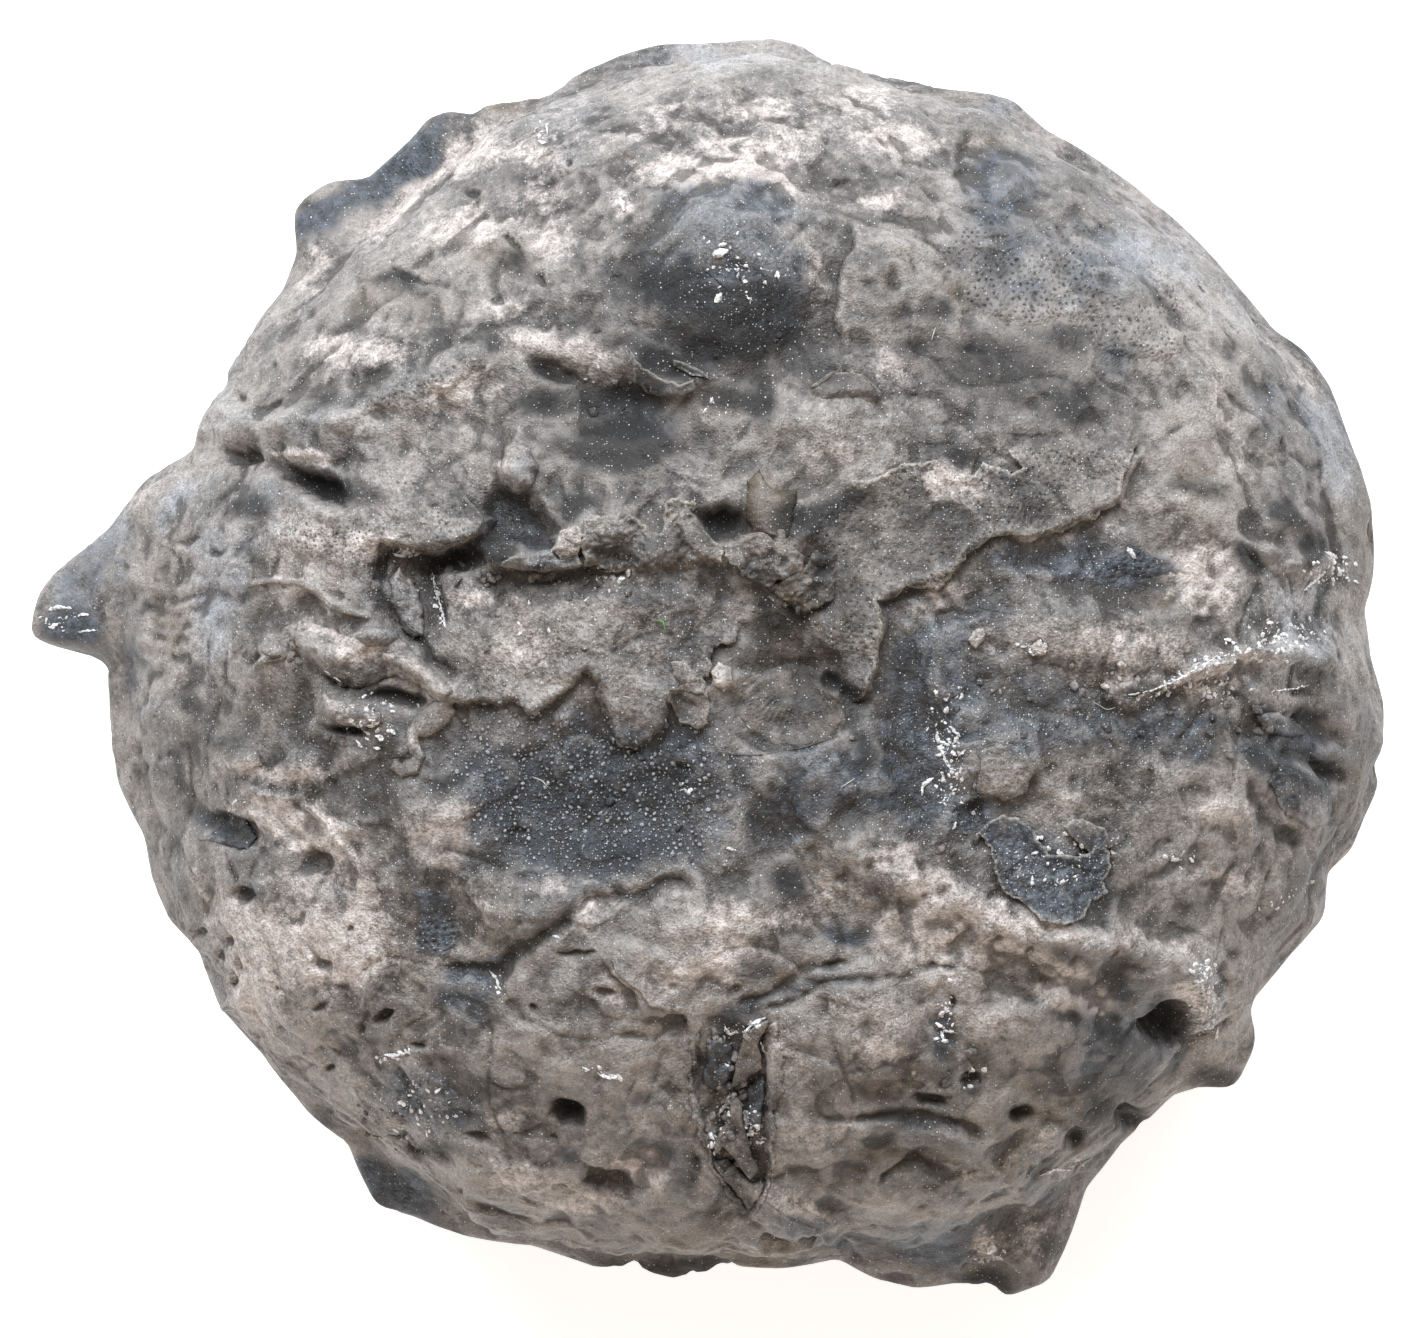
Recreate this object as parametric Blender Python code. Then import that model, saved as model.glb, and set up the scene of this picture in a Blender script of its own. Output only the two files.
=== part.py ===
"""Fossil crinoid calyx, one solid piece of stone, lying on the worn flat of its mouth side.

A calyx is the cup of a sea lily. This one lies mouth down, so the broad base of the cup, where the
stem was joined, faces up. Thin crusts grew over it in ragged sheets, and a flange of knobs with
one broken spine runs around its widest part.

All lengths are millimetres until the last step turns them into metres. +Z is up, +X and +Y lie
along the surface it rests on, and the origin is on that surface under the middle of its outline.
"""

import math

import bmesh
import bpy
import numpy as np
from mathutils import Matrix, Vector, noise

COLLECTION = "fossil_crinoid"
NODE = "crinoid_calyx"
METRES_PER_MM = 0.001

# The cup and the mouth side, as two rounded halves that meet at the widest level
AXIS_X = 1.6
AXIS_Y = 0.5
WIDEST_LEVEL = 14.6
CUP_RISE = 17.0
CUP_SQUARENESS = 2.35
MOUTH_DROP = 15.6
MOUTH_SQUARENESS = 2.0
TYPICAL_RADIUS = 31.0

# The flange bulges out a little below the widest level
FLANGE_LEVEL = 11.4
FLANGE_THICKNESS = 2.7
FLANGE_BLUNTNESS = 4.5
# Where the flange is thinner or thicker: degrees around the axis, spread in degrees, half thickness
LEFT_SPINE = (177, 9, 2.2)
BROKEN_KNOB = (-66, 10, 4.6)

LUMP_STEEPNESS = 1.2
HOLLOW_STEEPNESS = 2.0
# How far the edges of the forms wander, and over what length they do
WANDER = 0.45
WANDER_SIZE = 3.2
# Unevenness of the crusts on the cup, as (size, height)
CRUST_LUMPS = [(6.5, 0.5), (3.0, 0.34), (1.5, 0.2)]

# Where along the section the cup's forms end, the mouth side's begin, and the worn bottom begins;
# 1 is the widest level and 2 the middle of the mouth
CUP_ENDS = (1.1, 0.15)
MOUTH_BEGINS = (1.2, 0.2)
WORN_BEGINS = (1.65, 0.15)
WORN_AWAY = 0.8

# How much finer the points lie on the cup than on the mouth side, and the triangles that are kept
CUP_FINENESS = 1.7
SPHERE_LEVEL = 7
TRIANGLES_KEPT = 9400
SHARP_DEGREES = 50

STONE_COLOUR = (0.235, 0.216, 0.205, 1.0)
STONE_ROUGHNESS = 0.6

# Radius of the cup's own edge around its axis, as (degrees from +X towards +Y, radius)
CUP_EDGE = [
    (0, 31.5), (20, 31.9), (32, 31.2), (45, 30.6), (60, 30.2), (75, 29.8), (90, 30.4),
    (104, 29.8), (116, 29.3), (128, 28.4), (140, 28.6), (150, 29.0), (160, 28.8), (172, 29.6),
    (184, 29.3), (192, 29.5), (202, 30.6), (215, 30.9), (230, 31.0), (242, 30.6), (256, 30.8),
    (270, 30.3), (282, 30.3), (292, 31.4), (304, 31.0), (318, 30.9), (332, 31.0), (346, 32.0),
]

# The outermost edge seen from above, flange and knobs included, each stretch from one end to the other
OUTLINE = {
    "left spine": [
        (-30.0, -0.1), (-30.9, 0.7), (-32.4, 0.8), (-33.5, 0.8), (-33.9, 1.4), (-33.8, 2.6), (-33.5, 3.6),
        (-32.9, 4.5), (-31.5, 5.7), (-30.0, 6.9), (-29.2, 8.1), (-28.0, 9.4), (-26.5, 10.2),
    ],
    "upper left side": [(-25.6, 10.7), (-25.2, 12.4), (-24.0, 14.6), (-22.4, 17.3), (-21.2, 18.8)],
    "two dark knobs": [
        (-20.5, 20.6), (-20.7, 22.8), (-20.0, 23.6), (-18.8, 24.3), (-17.0, 24.4), (-15.8, 25.5),
        (-14.8, 26.4), (-14.0, 27.4), (-13.0, 27.8), (-11.6, 27.6),
    ],
    "brown nub": [(-11.2, 28.1), (-9.2, 28.4), (-7.6, 28.8)],
    "top swelling": [
        (-6.6, 29.6), (-4.6, 30.5), (-2.4, 31.1), (0.0, 31.2), (3.2, 31.5), (4.6, 31.2),
        (6.0, 30.3), (9.0, 29.6), (12.0, 28.9),
    ],
    "upper right nub": [(14.4, 28.6), (15.4, 28.3), (17.0, 26.8), (20.0, 25.1), (22.5, 23.2)],
    "right shoulder": [
        (24.4, 21.5), (26.2, 19.5), (28.4, 16.8), (30.0, 15.7), (31.2, 14.0), (32.1, 11.5),
    ],
    "right side bumps": [
        (33.3, 7.8), (33.4, 4.6), (32.9, 2.7), (33.2, 0.4), (33.9, -2.0), (33.8, -4.2),
        (33.4, -5.0), (33.7, -5.9), (32.9, -7.6), (32.3, -9.2), (31.1, -10.3),
    ],
    "lower right point": [(30.9, -12.6), (29.2, -14.4), (27.4, -16.5), (27.1, -17.0)],
    "lower right knob": [(27.5, -18.8), (26.5, -21.2), (24.8, -21.1), (23.4, -21.4)],
    "broken knob": [
        (20.8, -23.9), (19.0, -26.2), (18.2, -28.6), (17.2, -30.8), (15.2, -31.6), (12.6, -30.9),
        (10.5, -31.2), (8.4, -30.7), (6.6, -29.7),
    ],
    "bottom lip": [(4.0, -30.2), (1.2, -30.1), (-1.6, -30.8), (-3.8, -30.2), (-5.4, -30.2), (-8.6, -29.1)],
    "dark block": [(-12.0, -28.6), (-14.6, -27.7), (-16.6, -27.0), (-17.3, -25.6), (-18.0, -24.0)],
    "lower left side": [
        (-20.0, -22.4), (-22.2, -19.4), (-24.4, -17.0), (-25.3, -14.3), (-27.0, -12.6),
        (-27.8, -10.6), (-28.1, -8.6), (-29.6, -5.6), (-29.9, -2.0),
    ],
}

# Rounded forms on the cup, as (x, y, half length, half width, degrees turned, height)
LUMPS = {
    "spine that points up": (1.0, 19.6, 4.0, 3.5, 0, 2.7),
    "broken tip of that spine": (0.7, 20.4, 1.6, 1.3, 0, 0.8),
    "pale plate beside it": (8.6, 18.6, 2.2, 3.4, -10, 0.7),
    "pale dome": (5.7, 12.0, 2.7, 1.8, 0, 1.0),
    "slate knob": (-9.1, 9.4, 0.9, 1.3, 8, 1.3),
    "olive tooth": (3.0, 7.7, 0.9, 1.5, 0, 1.0),
    "pale oval": (20.6, 1.4, 4.2, 1.8, -6, 1.0),
    "swelling on the right": (23.4, 8.6, 3.2, 2.6, 0, 0.6),
    "swelling on the left": (-20.2, 6.6, 4.4, 2.6, -10, 0.8),
    "swelling below the ledge": (-6.4, -18.0, 4.2, 4.6, 0, 1.1),
    "swelling right of the cleft": (7.6, -18.2, 3.8, 3.2, 10, 1.0),
    "swelling in the lower right": (15.6, -17.2, 3.0, 2.2, -15, 0.8),
    "low lump by the cleft": (5.2, -23.0, 2.2, 1.4, 0, 0.5),
    "lump near the lower edge": (9.4, -26.2, 2.6, 1.4, 10, 0.6),
    "tan dome": (-13.0, -7.0, 2.0, 1.9, 0, 0.8),
    "tan lump": (-8.8, -12.2, 2.2, 1.8, 20, 0.8),
    "cream field": (0.6, -13.4, 4.6, 2.2, 0, 0.8),
    "brown knob": (-10.2, 21.2, 1.3, 1.0, 0, 0.5),
    "brown lump": (-4.0, 25.4, 1.5, 0.9, 0, 0.4),
    "small slate knob": (15.2, 23.8, 1.0, 0.9, 0, 0.7),
    "root lobe": (-16.3, 1.6, 0.9, 0.7, 0, 0.5),
    "crater lump": (-12.7, -1.2, 0.8, 0.7, 0, 0.5),
    "under root lobe": (-17.6, -2.0, 1.4, 0.6, -15, 0.6),
    "knob by the pit": (21.2, -15.4, 0.8, 0.6, 0, 0.5),
    "square plate": (14.6, -5.0, 1.5, 1.3, 5, 0.45),
    "crust flakes": (16.6, -10.0, 2.9, 2.6, -15, 0.45),
    "swelling in the lower left": (-19.6, -15.2, 4.6, 3.4, -40, 0.7),
    "swelling above the lower edge": (-9.6, -24.8, 3.4, 1.8, -15, 0.6),
    "dark knot on the right": (28.8, 7.0, 1.3, 1.0, 0, 0.5),
    "swelling on the right shoulder": (20.4, 16.4, 4.2, 3.0, -45, 0.6),
}

# Sunken forms on the cup, in the same terms, with their depth
HOLLOWS = {
    "hollow below the spine": (-5.3, 12.9, 3.2, 1.7, -12, 1.5),
    "slit west of it": (-7.8, 14.6, 1.0, 0.5, -12, 0.8),
    "cavity behind the wall": (0.9, 7.2, 1.1, 0.8, 0, 2.2),
    "shaft beside the root": (-14.6, 3.2, 1.5, 2.6, 8, 1.3),
    "gap below the plate": (-12.7, 5.2, 2.2, 0.7, 5, 1.1),
    "opening in the upper left": (-20.0, 9.7, 1.7, 0.8, -15, 1.4),
    "slot in the upper left": (-22.9, 10.5, 0.8, 0.4, 0, 0.7),
    "hollow around the knob": (-9.6, 7.4, 2.4, 1.2, -25, 0.9),
    "stem facet": (4.3, -1.6, 3.0, 2.5, 0, 0.8),
    "middle of the stem facet": (4.6, -0.6, 0.8, 0.7, 0, 0.4),
    "hollow in the broken knob": (14.3, -30.7, 1.5, 0.8, 0, 1.3),
    "hollow between flange and cup": (-24.6, 14.4, 0.8, 2.6, -28, 0.5),
    "dark patch in the lower left": (-13.0, -12.4, 1.9, 2.2, 0, 0.5),
    "granular hollow": (-5.0, -6.4, 6.4, 3.8, 4, 1.0),
    "chip": (-23.4, -8.2, 1.6, 0.8, -12, 1.1),
    "cleft": (1.3, -21.4, 1.3, 4.4, 4, 1.2),
    "round hole": (-6.8, -22.0, 0.8, 0.7, 0, 1.6),
    "slot below it": (-5.2, -25.3, 1.2, 0.5, -35, 0.8),
    "pit in the lower right": (23.3, -18.0, 1.4, 0.9, -20, 1.4),
    "hole in the lower right": (15.8, -22.3, 0.7, 0.4, 15, 0.9),
    "hole with a white rim": (13.1, -20.6, 0.6, 0.4, 0, 0.8),
    "hole by the rim": (21.3, -22.7, 0.8, 0.7, 0, 0.9),
    "second hole by the rim": (18.3, -23.6, 0.6, 0.5, 0, 0.7),
    "hollow right of the facet": (10.4, -4.0, 1.8, 4.0, 8, 0.8),
    "dent below the facet": (3.4, -7.6, 1.3, 2.2, -20, 0.6),
    "pit in the cream": (-19.6, -9.7, 0.7, 0.6, 0, 0.6),
    "second pit in the cream": (-22.5, -11.3, 0.7, 0.5, 0, 0.6),
    "dent beside the cleft": (-3.6, -24.8, 2.4, 1.2, 25, 0.5),
    "hollow under the right ridge": (28.6, -3.6, 2.2, 1.4, -10, 0.8),
}

# Raised or sunken bands, as (half width, height, places the band runs through)
BANDS = {
    "root": (0.95, 1.2, [
        (-21.2, 0.2), (-19.8, 0.9), (-18.0, 0.6), (-16.2, 1.0), (-14.8, 0.2), (-13.2, -0.9),
        (-12.2, -1.7),
    ]),
    "root branch": (0.55, 0.8, [(-12.9, -2.0), (-14.0, -2.9), (-14.6, -3.8), (-14.3, -4.6), (-15.6, -5.1)]),
    "upper root": (0.5, 0.5, [(-21.5, 3.9), (-19.6, 3.9), (-18.0, 3.1), (-16.4, 2.5)]),
    "ragged wall": (0.95, 1.3, [
        (-10.2, 5.4), (-8.4, 5.5), (-6.8, 6.1), (-5.6, 6.7), (-4.2, 6.8), (-2.6, 6.0),
        (-1.2, 7.0), (0.2, 6.0), (1.2, 5.2), (3.0, 5.6), (5.0, 6.6),
    ]),
    "flake ridge": (0.5, 0.8, [(-3.7, 15.4), (-3.3, 14.2), (-2.2, 13.5), (-0.8, 13.6)]),
    "upper left ridge": (1.0, 0.9, [
        (-25.0, 11.6), (-21.0, 11.8), (-18.0, 11.8), (-16.0, 12.6), (-13.5, 13.8), (-11.5, 14.6),
    ]),
    "lower right ridge": (1.3, 1.0, [
        (7.4, -9.0), (11.0, -10.8), (14.0, -12.5), (18.0, -13.3), (21.0, -13.8), (25.0, -15.6),
    ]),
    "inner edge on the left": (0.9, 0.6, [
        (-25.0, 10.3), (-26.8, 7.6), (-27.8, 4.2), (-27.8, 1.0), (-27.2, -2.0), (-26.9, -5.0),
    ]),
    "right ridge": (0.7, 0.7, [(20.6, -0.9), (24.0, -0.1), (27.0, 0.8), (30.6, 0.7)]),
    "right fold": (0.7, 0.6, [(26.0, 5.9), (28.2, 5.2), (30.5, 4.8)]),
    "lower edge fold": (0.8, 0.6, [(-12.0, -27.2), (-8.0, -27.9), (-3.0, -28.2), (2.0, -27.9), (5.0, -28.8)]),
    "second lower fold": (0.7, 0.7, [(2.9, -26.1), (4.4, -27.0), (6.2, -27.9)]),
    "fold across the lower right": (0.8, 0.5, [(8.0, -22.4), (11.0, -22.9), (14.0, -24.6), (16.0, -26.0)]),
    "trough in the lower right": (1.1, -0.9, [(14.4, -14.2), (18.4, -15.4), (21.4, -16.8), (24.0, -18.2)]),
    "crease below the dark field": (0.4, -0.5, [
        (-12.4, -15.2), (-10.2, -15.3), (-8.9, -13.8), (-7.4, -12.8), (-5.8, -11.6), (-3.6, -11.3),
        (-1.4, -10.8),
    ]),
    "groove on the right": (0.6, -0.7, [(26.4, -2.2), (29.4, -2.8), (31.2, -2.7)]),
    "second groove on the right": (0.6, -0.7, [(28.4, -4.2), (30.0, -4.8), (31.2, -5.6)]),
    "third groove on the right": (0.6, -0.5, [(26.8, -6.2), (28.6, -7.2), (30.4, -9.0)]),
    "dark band below the right sheet": (0.8, -0.4, [(10.2, 2.4), (13.0, 3.6), (16.0, 5.2), (19.0, 5.6)]),
}

# Sheet edges and broken steps, as (rise on the left of the line, drop on its right, places it runs through)
LEDGES = {
    "edge of the right sheet": (0.55, 0.35, [
        (6.4, -1.4), (7.4, -1.9), (8.2, -1.1), (8.3, 0.3), (8.6, 1.6), (8.5, 2.9), (9.3, 3.4),
        (10.1, 3.9), (11.4, 4.2), (12.8, 5.0), (13.1, 5.8), (14.2, 6.5), (17.0, 6.7), (18.5, 7.0),
        (19.2, 7.8), (20.2, 8.2), (20.6, 9.4), (21.8, 10.8),
    ]),
    "tongues of the sandy sheet": (0.45, 0.3, [
        (-13.2, -1.4), (-11.6, -2.0), (-10.0, -2.0), (-9.0, -1.5), (-8.3, -2.2), (-7.4, -1.7),
        (-6.6, -0.6), (-6.0, 0.1), (-5.4, -1.1), (-4.9, -2.5), (-4.1, -3.9), (-3.2, -3.9),
        (-2.2, -2.9), (-1.6, -1.7), (-0.4, -1.9), (0.6, -1.0),
    ]),
    "foot of the ragged wall": (0.6, 0.4, [
        (-11.0, 5.3), (-9.6, 4.7), (-7.8, 4.6), (-6.0, 4.9), (-4.6, 4.6), (-3.0, 5.0), (-1.6, 4.3),
    ]),
    "edge of the upper left plate": (0.8, 0.7, [
        (-16.8, 4.6), (-15.9, 5.9), (-14.8, 5.6), (-13.4, 5.4), (-12.2, 5.9), (-11.0, 6.6),
        (-10.7, 7.4), (-11.6, 8.3),
    ]),
    "ledge in the upper left": (0.5, 0.5, [(-24.6, 11.0), (-21.0, 11.0), (-18.4, 11.0), (-16.6, 11.6)]),
    "ledge above the swelling": (0.5, 0.35, [
        (-5.4, -13.8), (-4.5, -15.0), (-3.6, -15.8), (-2.7, -16.9), (-1.2, -17.2), (-0.7, -18.4),
    ]),
    "left wall of the cleft": (0.3, 0.5, [
        (1.7, -27.2), (0.6, -25.0), (-0.3, -23.0), (-0.6, -20.8), (-0.9, -17.8),
    ]),
    "right wall of the cleft": (0.4, 0.5, [
        (3.0, -17.4), (3.0, -20.0), (3.3, -22.4), (3.0, -24.6), (2.4, -27.2),
    ]),
    "edge of the pale plate": (0.35, 0.25, [(7.3, 22.2), (6.8, 19.5), (6.2, 17.2), (6.8, 15.4)]),
    "upper edge of the crust flakes": (0.35, 0.2, [
        (17.2, -9.6), (16.6, -8.2), (15.4, -7.4), (14.0, -7.5), (13.4, -8.4), (13.8, -9.8),
        (14.8, -11.2), (16.4, -12.4),
    ]),
    "lower rim of the stem facet": (0.3, 0.2, [
        (7.6, -2.6), (6.4, -3.6), (5.0, -4.2), (3.2, -4.3), (1.7, -3.6), (0.5, -2.3),
    ]),
}

# On the mouth side: low plates that bulge a little, and shallow arm sockets below the knobs
PLATE_SIZE = 6.5
PLATE_BULGE = 0.7
SEAM_WIDTH = 0.45
MOUTH_LUMPS = [(5.0, 0.35), (1.8, 0.15)]
SOCKET_ANGLES = (15, 52, 88, 126, 162, 198, 232, 264, 298, 334)
SOCKET_RADIUS = 27.2
SOCKET_SIZE = 1.9
SOCKET_DEPTH = 1.1


def smooth_step(values):
    """0 below 0, 1 above 1, and an even rise between them."""
    t = np.clip(values, 0.0, 1.0)
    return t * t * (3.0 - 2.0 * t)


def noise_at(points, size):
    """Smooth noise between about -1 and 1 whose lumps are as wide as size."""
    scaled = points / size
    return np.array([noise.noise(Vector(place)) for place in scaled])


def radius_around(places, rounding):
    """A function that gives the radius of a closed outline at an angle, its corners rounded off."""
    steps = np.linspace(-math.pi, math.pi, 1440, endpoint=False)
    angles = np.array([math.atan2(y, x) for x, y in places])
    radii = np.array([math.hypot(x, y) for x, y in places])
    table = np.interp(steps, *(values[np.argsort(angles)] for values in (angles, radii)), period=2 * math.pi)
    for _ in range(rounding):
        table = (np.roll(table, 1) + 2 * table + np.roll(table, -1)) / 4
    return lambda angle: np.interp(angle, steps, table, period=2 * math.pi)


def cup_edge():
    places = []
    for degrees, radius in CUP_EDGE:
        turn = math.radians(degrees)
        places.append((radius * math.cos(turn), radius * math.sin(turn)))
    return radius_around(places, rounding=400)


def outline_edge():
    places = [(x - AXIS_X, y - AXIS_Y) for stretch in OUTLINE.values() for x, y in stretch]
    return radius_around(places, rounding=6)


def profile():
    """The rounded section from the middle of the cup (0) over the widest level (1) to the mouth (2)."""
    along = np.linspace(0.0, 2.0, 2401)
    turn = along * math.pi / 2
    power = np.where(along < 1.0, 2.0 / CUP_SQUARENESS, 2.0 / MOUTH_SQUARENESS)
    height = np.where(along < 1.0, CUP_RISE, MOUTH_DROP)
    reach = np.abs(np.sin(turn)) ** power
    level = WIDEST_LEVEL + height * np.sign(np.cos(turn)) * np.abs(np.cos(turn)) ** power
    return along, reach, level


def sphere_directions():
    """The points of an even sphere of triangles, and its mesh."""
    mesh = bpy.data.meshes.new(NODE)
    shape = bmesh.new()
    bmesh.ops.create_icosphere(shape, subdivisions=SPHERE_LEVEL, radius=1.0)
    shape.to_mesh(mesh)
    shape.free()
    points = np.empty(len(mesh.vertices) * 3)
    mesh.vertices.foreach_get("co", points)
    return mesh, points.reshape(-1, 3)


def place_along_profile(directions, along, reach, level):
    """How far along the profile each point of the sphere goes, its triangles shared out evenly."""
    step = np.hypot(np.gradient(reach * TYPICAL_RADIUS), np.gradient(level))
    share = reach * step * np.where(along < 1.0, CUP_FINENESS, 1.0)
    total = np.cumsum(share)
    total = (total - total[0]) / (total[-1] - total[0])
    return np.interp((1.0 - directions[:, 2]) / 2.0, total, along)


def beside(x, y, places):
    """Each point's distance to a line, its side of it (+1 is left) and the way to the line's nearer end."""
    places = np.array(places)
    runs = np.diff(places, axis=0)
    lengths = np.hypot(*runs.T)
    starts = np.concatenate([[0.0], np.cumsum(lengths)])
    normals = np.stack([-runs[:, 1], runs[:, 0]], axis=1) / lengths[:, None]
    nearest = np.full(len(x), np.inf)
    side = np.zeros(len(x))
    from_start = np.zeros(len(x))
    for i, (run, length) in enumerate(zip(runs, lengths)):
        dx = x - places[i, 0]
        dy = y - places[i, 1]
        t = np.clip((dx * run[0] + dy * run[1]) / length**2, 0.0, 1.0)
        off_x = dx - t * run[0]
        off_y = dy - t * run[1]
        distance = np.hypot(off_x, off_y)
        before = normals[max(i - 1, 0)] + normals[i]
        after = normals[i] + normals[min(i + 1, len(runs) - 1)]
        normal = np.where((t <= 0.0)[:, None], before, np.where((t >= 1.0)[:, None], after, normals[i]))
        closer = distance < nearest
        nearest = np.where(closer, distance, nearest)
        side = np.where(closer, np.sign(off_x * normal[:, 0] + off_y * normal[:, 1]), side)
        from_start = np.where(closer, starts[i] + t * length, from_start)
    return nearest, side, np.minimum(from_start, starts[-1] - from_start)


def ovals(x, y, forms, steepness):
    """Summed height of rounded forms, each an oval whose sides are as steep as its steepness says."""
    height = np.zeros(len(x))
    for centre_x, centre_y, half_length, half_width, degrees, rise in forms.values():
        turn = math.radians(degrees)
        dx = x - centre_x
        dy = y - centre_y
        u = (dx * math.cos(turn) + dy * math.sin(turn)) / half_length
        v = (dy * math.cos(turn) - dx * math.sin(turn)) / half_width
        height += rise * np.exp(-((u * u + v * v) ** steepness))
    return height


def bands(x, y):
    height = np.zeros(len(x))
    for half_width, rise, places in BANDS.values():
        distance, _, _ = beside(x, y, places)
        height += rise * np.exp(-((distance / half_width) ** 2))
    return height


def ledges(x, y, sharpness=0.3, high_reach=2.2, low_reach=1.3, fade=1.6):
    """Steps that are steep at their line and die away behind it, and at both of its ends."""
    height = np.zeros(len(x))
    for rise, drop, places in LEDGES.values():
        distance, side, from_end = beside(x, y, places)
        behind = rise * np.exp(-distance / high_reach)
        below = -drop * np.exp(-distance / low_reach)
        mix = smooth_step(0.5 + side * distance / (2 * sharpness))
        height += (mix * behind + (1 - mix) * below) * smooth_step(from_end / fade)
    return height


def cup_relief(points):
    """Height of the crusts, ledges, lumps and pits above the plain cup."""
    flat = points * (1.0, 1.0, 0.0)
    x = points[:, 0] + WANDER * noise_at(flat + (40.0, 0.0, 0.0), WANDER_SIZE)
    y = points[:, 1] + WANDER * noise_at(flat + (0.0, 40.0, 0.0), WANDER_SIZE)
    height = ovals(x, y, LUMPS, LUMP_STEEPNESS) - ovals(x, y, HOLLOWS, HOLLOW_STEEPNESS)
    height += bands(x, y) + ledges(x, y)
    for size, rise in CRUST_LUMPS:
        height += rise * noise_at(points + 20.0 * size, size)
    return height


def mouth_relief(points):
    """Low plates on the mouth side, with a shallow socket where each arm was joined."""
    height = np.full(len(points), -PLATE_BULGE)
    for i, place in enumerate(points):
        distances, _ = noise.voronoi(Vector(place / PLATE_SIZE))
        height[i] += PLATE_BULGE * min(1.0, (distances[1] - distances[0]) / SEAM_WIDTH)
    for degrees in SOCKET_ANGLES:
        turn = math.radians(degrees)
        dx = points[:, 0] - AXIS_X - SOCKET_RADIUS * math.cos(turn)
        dy = points[:, 1] - AXIS_Y - SOCKET_RADIUS * math.sin(turn)
        height -= SOCKET_DEPTH * np.exp(-((dx * dx + dy * dy) / SOCKET_SIZE**2) ** 2)
    for size, rise in MOUTH_LUMPS:
        height += rise * noise_at(points + 20.0 * size, size)
    return height


def flange_thickness(angle):
    """Half the flange's thickness: thin at the spine, thick at the broken knob."""
    thickness = np.full(len(angle), FLANGE_THICKNESS)
    for degrees, spread, there in (LEFT_SPINE, BROKEN_KNOB):
        off = np.abs(np.degrees(angle) - degrees)
        thickness += (there - FLANGE_THICKNESS) * np.exp(-((np.minimum(off, 360 - off) / spread) ** 2))
    return thickness


def past(along, change):
    """0 before a place along the section, 1 a little after it."""
    begin, length = change
    return smooth_step((along - begin) / length)


def calyx_points(directions):
    along_table, reach_table, level_table = profile()
    along = place_along_profile(directions, along_table, reach_table, level_table)
    angle = np.arctan2(directions[:, 1], directions[:, 0])
    reach = np.interp(along, along_table, reach_table)
    level = np.interp(along, along_table, level_table)
    slope_out = np.gradient(reach_table * TYPICAL_RADIUS)
    slope_up = np.gradient(level_table)
    length = np.hypot(slope_out, slope_up)
    normal_out = np.interp(along, along_table, -slope_up / length)
    normal_up = np.interp(along, along_table, slope_out / length)

    cup = cup_edge()(angle)
    reach_at_flange = np.interp(-FLANGE_LEVEL, -level_table, reach_table)
    flange = outline_edge()(angle) - cup * reach_at_flange
    swell = np.exp(-(np.abs((level - FLANGE_LEVEL) / flange_thickness(angle)) ** FLANGE_BLUNTNESS))
    radius = cup * reach + flange * swell
    ring = np.stack([np.cos(angle), np.sin(angle)], axis=1)
    points = np.column_stack([AXIS_X + radius * ring[:, 0], AXIS_Y + radius * ring[:, 1], level])

    on_cup = 1.0 - past(along, CUP_ENDS)
    on_mouth = past(along, MOUTH_BEGINS) * (1.0 - WORN_AWAY * past(along, WORN_BEGINS))
    relief = on_cup * cup_relief(points) + on_mouth * mouth_relief(points)
    points[:, :2] += (relief * normal_out)[:, None] * ring
    points[:, 2] += relief * normal_up
    return points


def thinned(mesh):
    """The mesh with few triangles on its smooth stretches and more at its ledges and pits."""
    holder = bpy.data.objects.new("full_detail", mesh)
    bpy.context.scene.collection.objects.link(holder)
    fewer = holder.modifiers.new("fewer triangles", "DECIMATE")
    fewer.ratio = TRIANGLES_KEPT / len(mesh.polygons)
    graph = bpy.context.evaluated_depsgraph_get()
    result = bpy.data.meshes.new_from_object(holder.evaluated_get(graph))
    bpy.data.objects.remove(holder)
    bpy.data.meshes.remove(mesh)
    result.name = NODE
    return result


def stone_material():
    material = bpy.data.materials.new("fossil_stone")
    material.use_nodes = True
    shader = material.node_tree.nodes["Principled BSDF"]
    shader.inputs["Base Color"].default_value = STONE_COLOUR
    shader.inputs["Roughness"].default_value = STONE_ROUGHNESS
    shader.inputs["Metallic"].default_value = 0.0
    return material


def make_calyx(collection):
    mesh, directions = sphere_directions()
    mesh.vertices.foreach_set("co", calyx_points(directions).ravel())
    mesh.update()
    mesh = thinned(mesh)
    mesh.transform(Matrix.Scale(METRES_PER_MM, 4))
    mesh.shade_smooth()
    mesh.set_sharp_from_angle(angle=math.radians(SHARP_DEGREES))
    mesh.materials.clear()
    mesh.materials.append(stone_material())
    calyx = bpy.data.objects.new(NODE, mesh)
    collection.objects.link(calyx)
    return calyx


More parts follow.
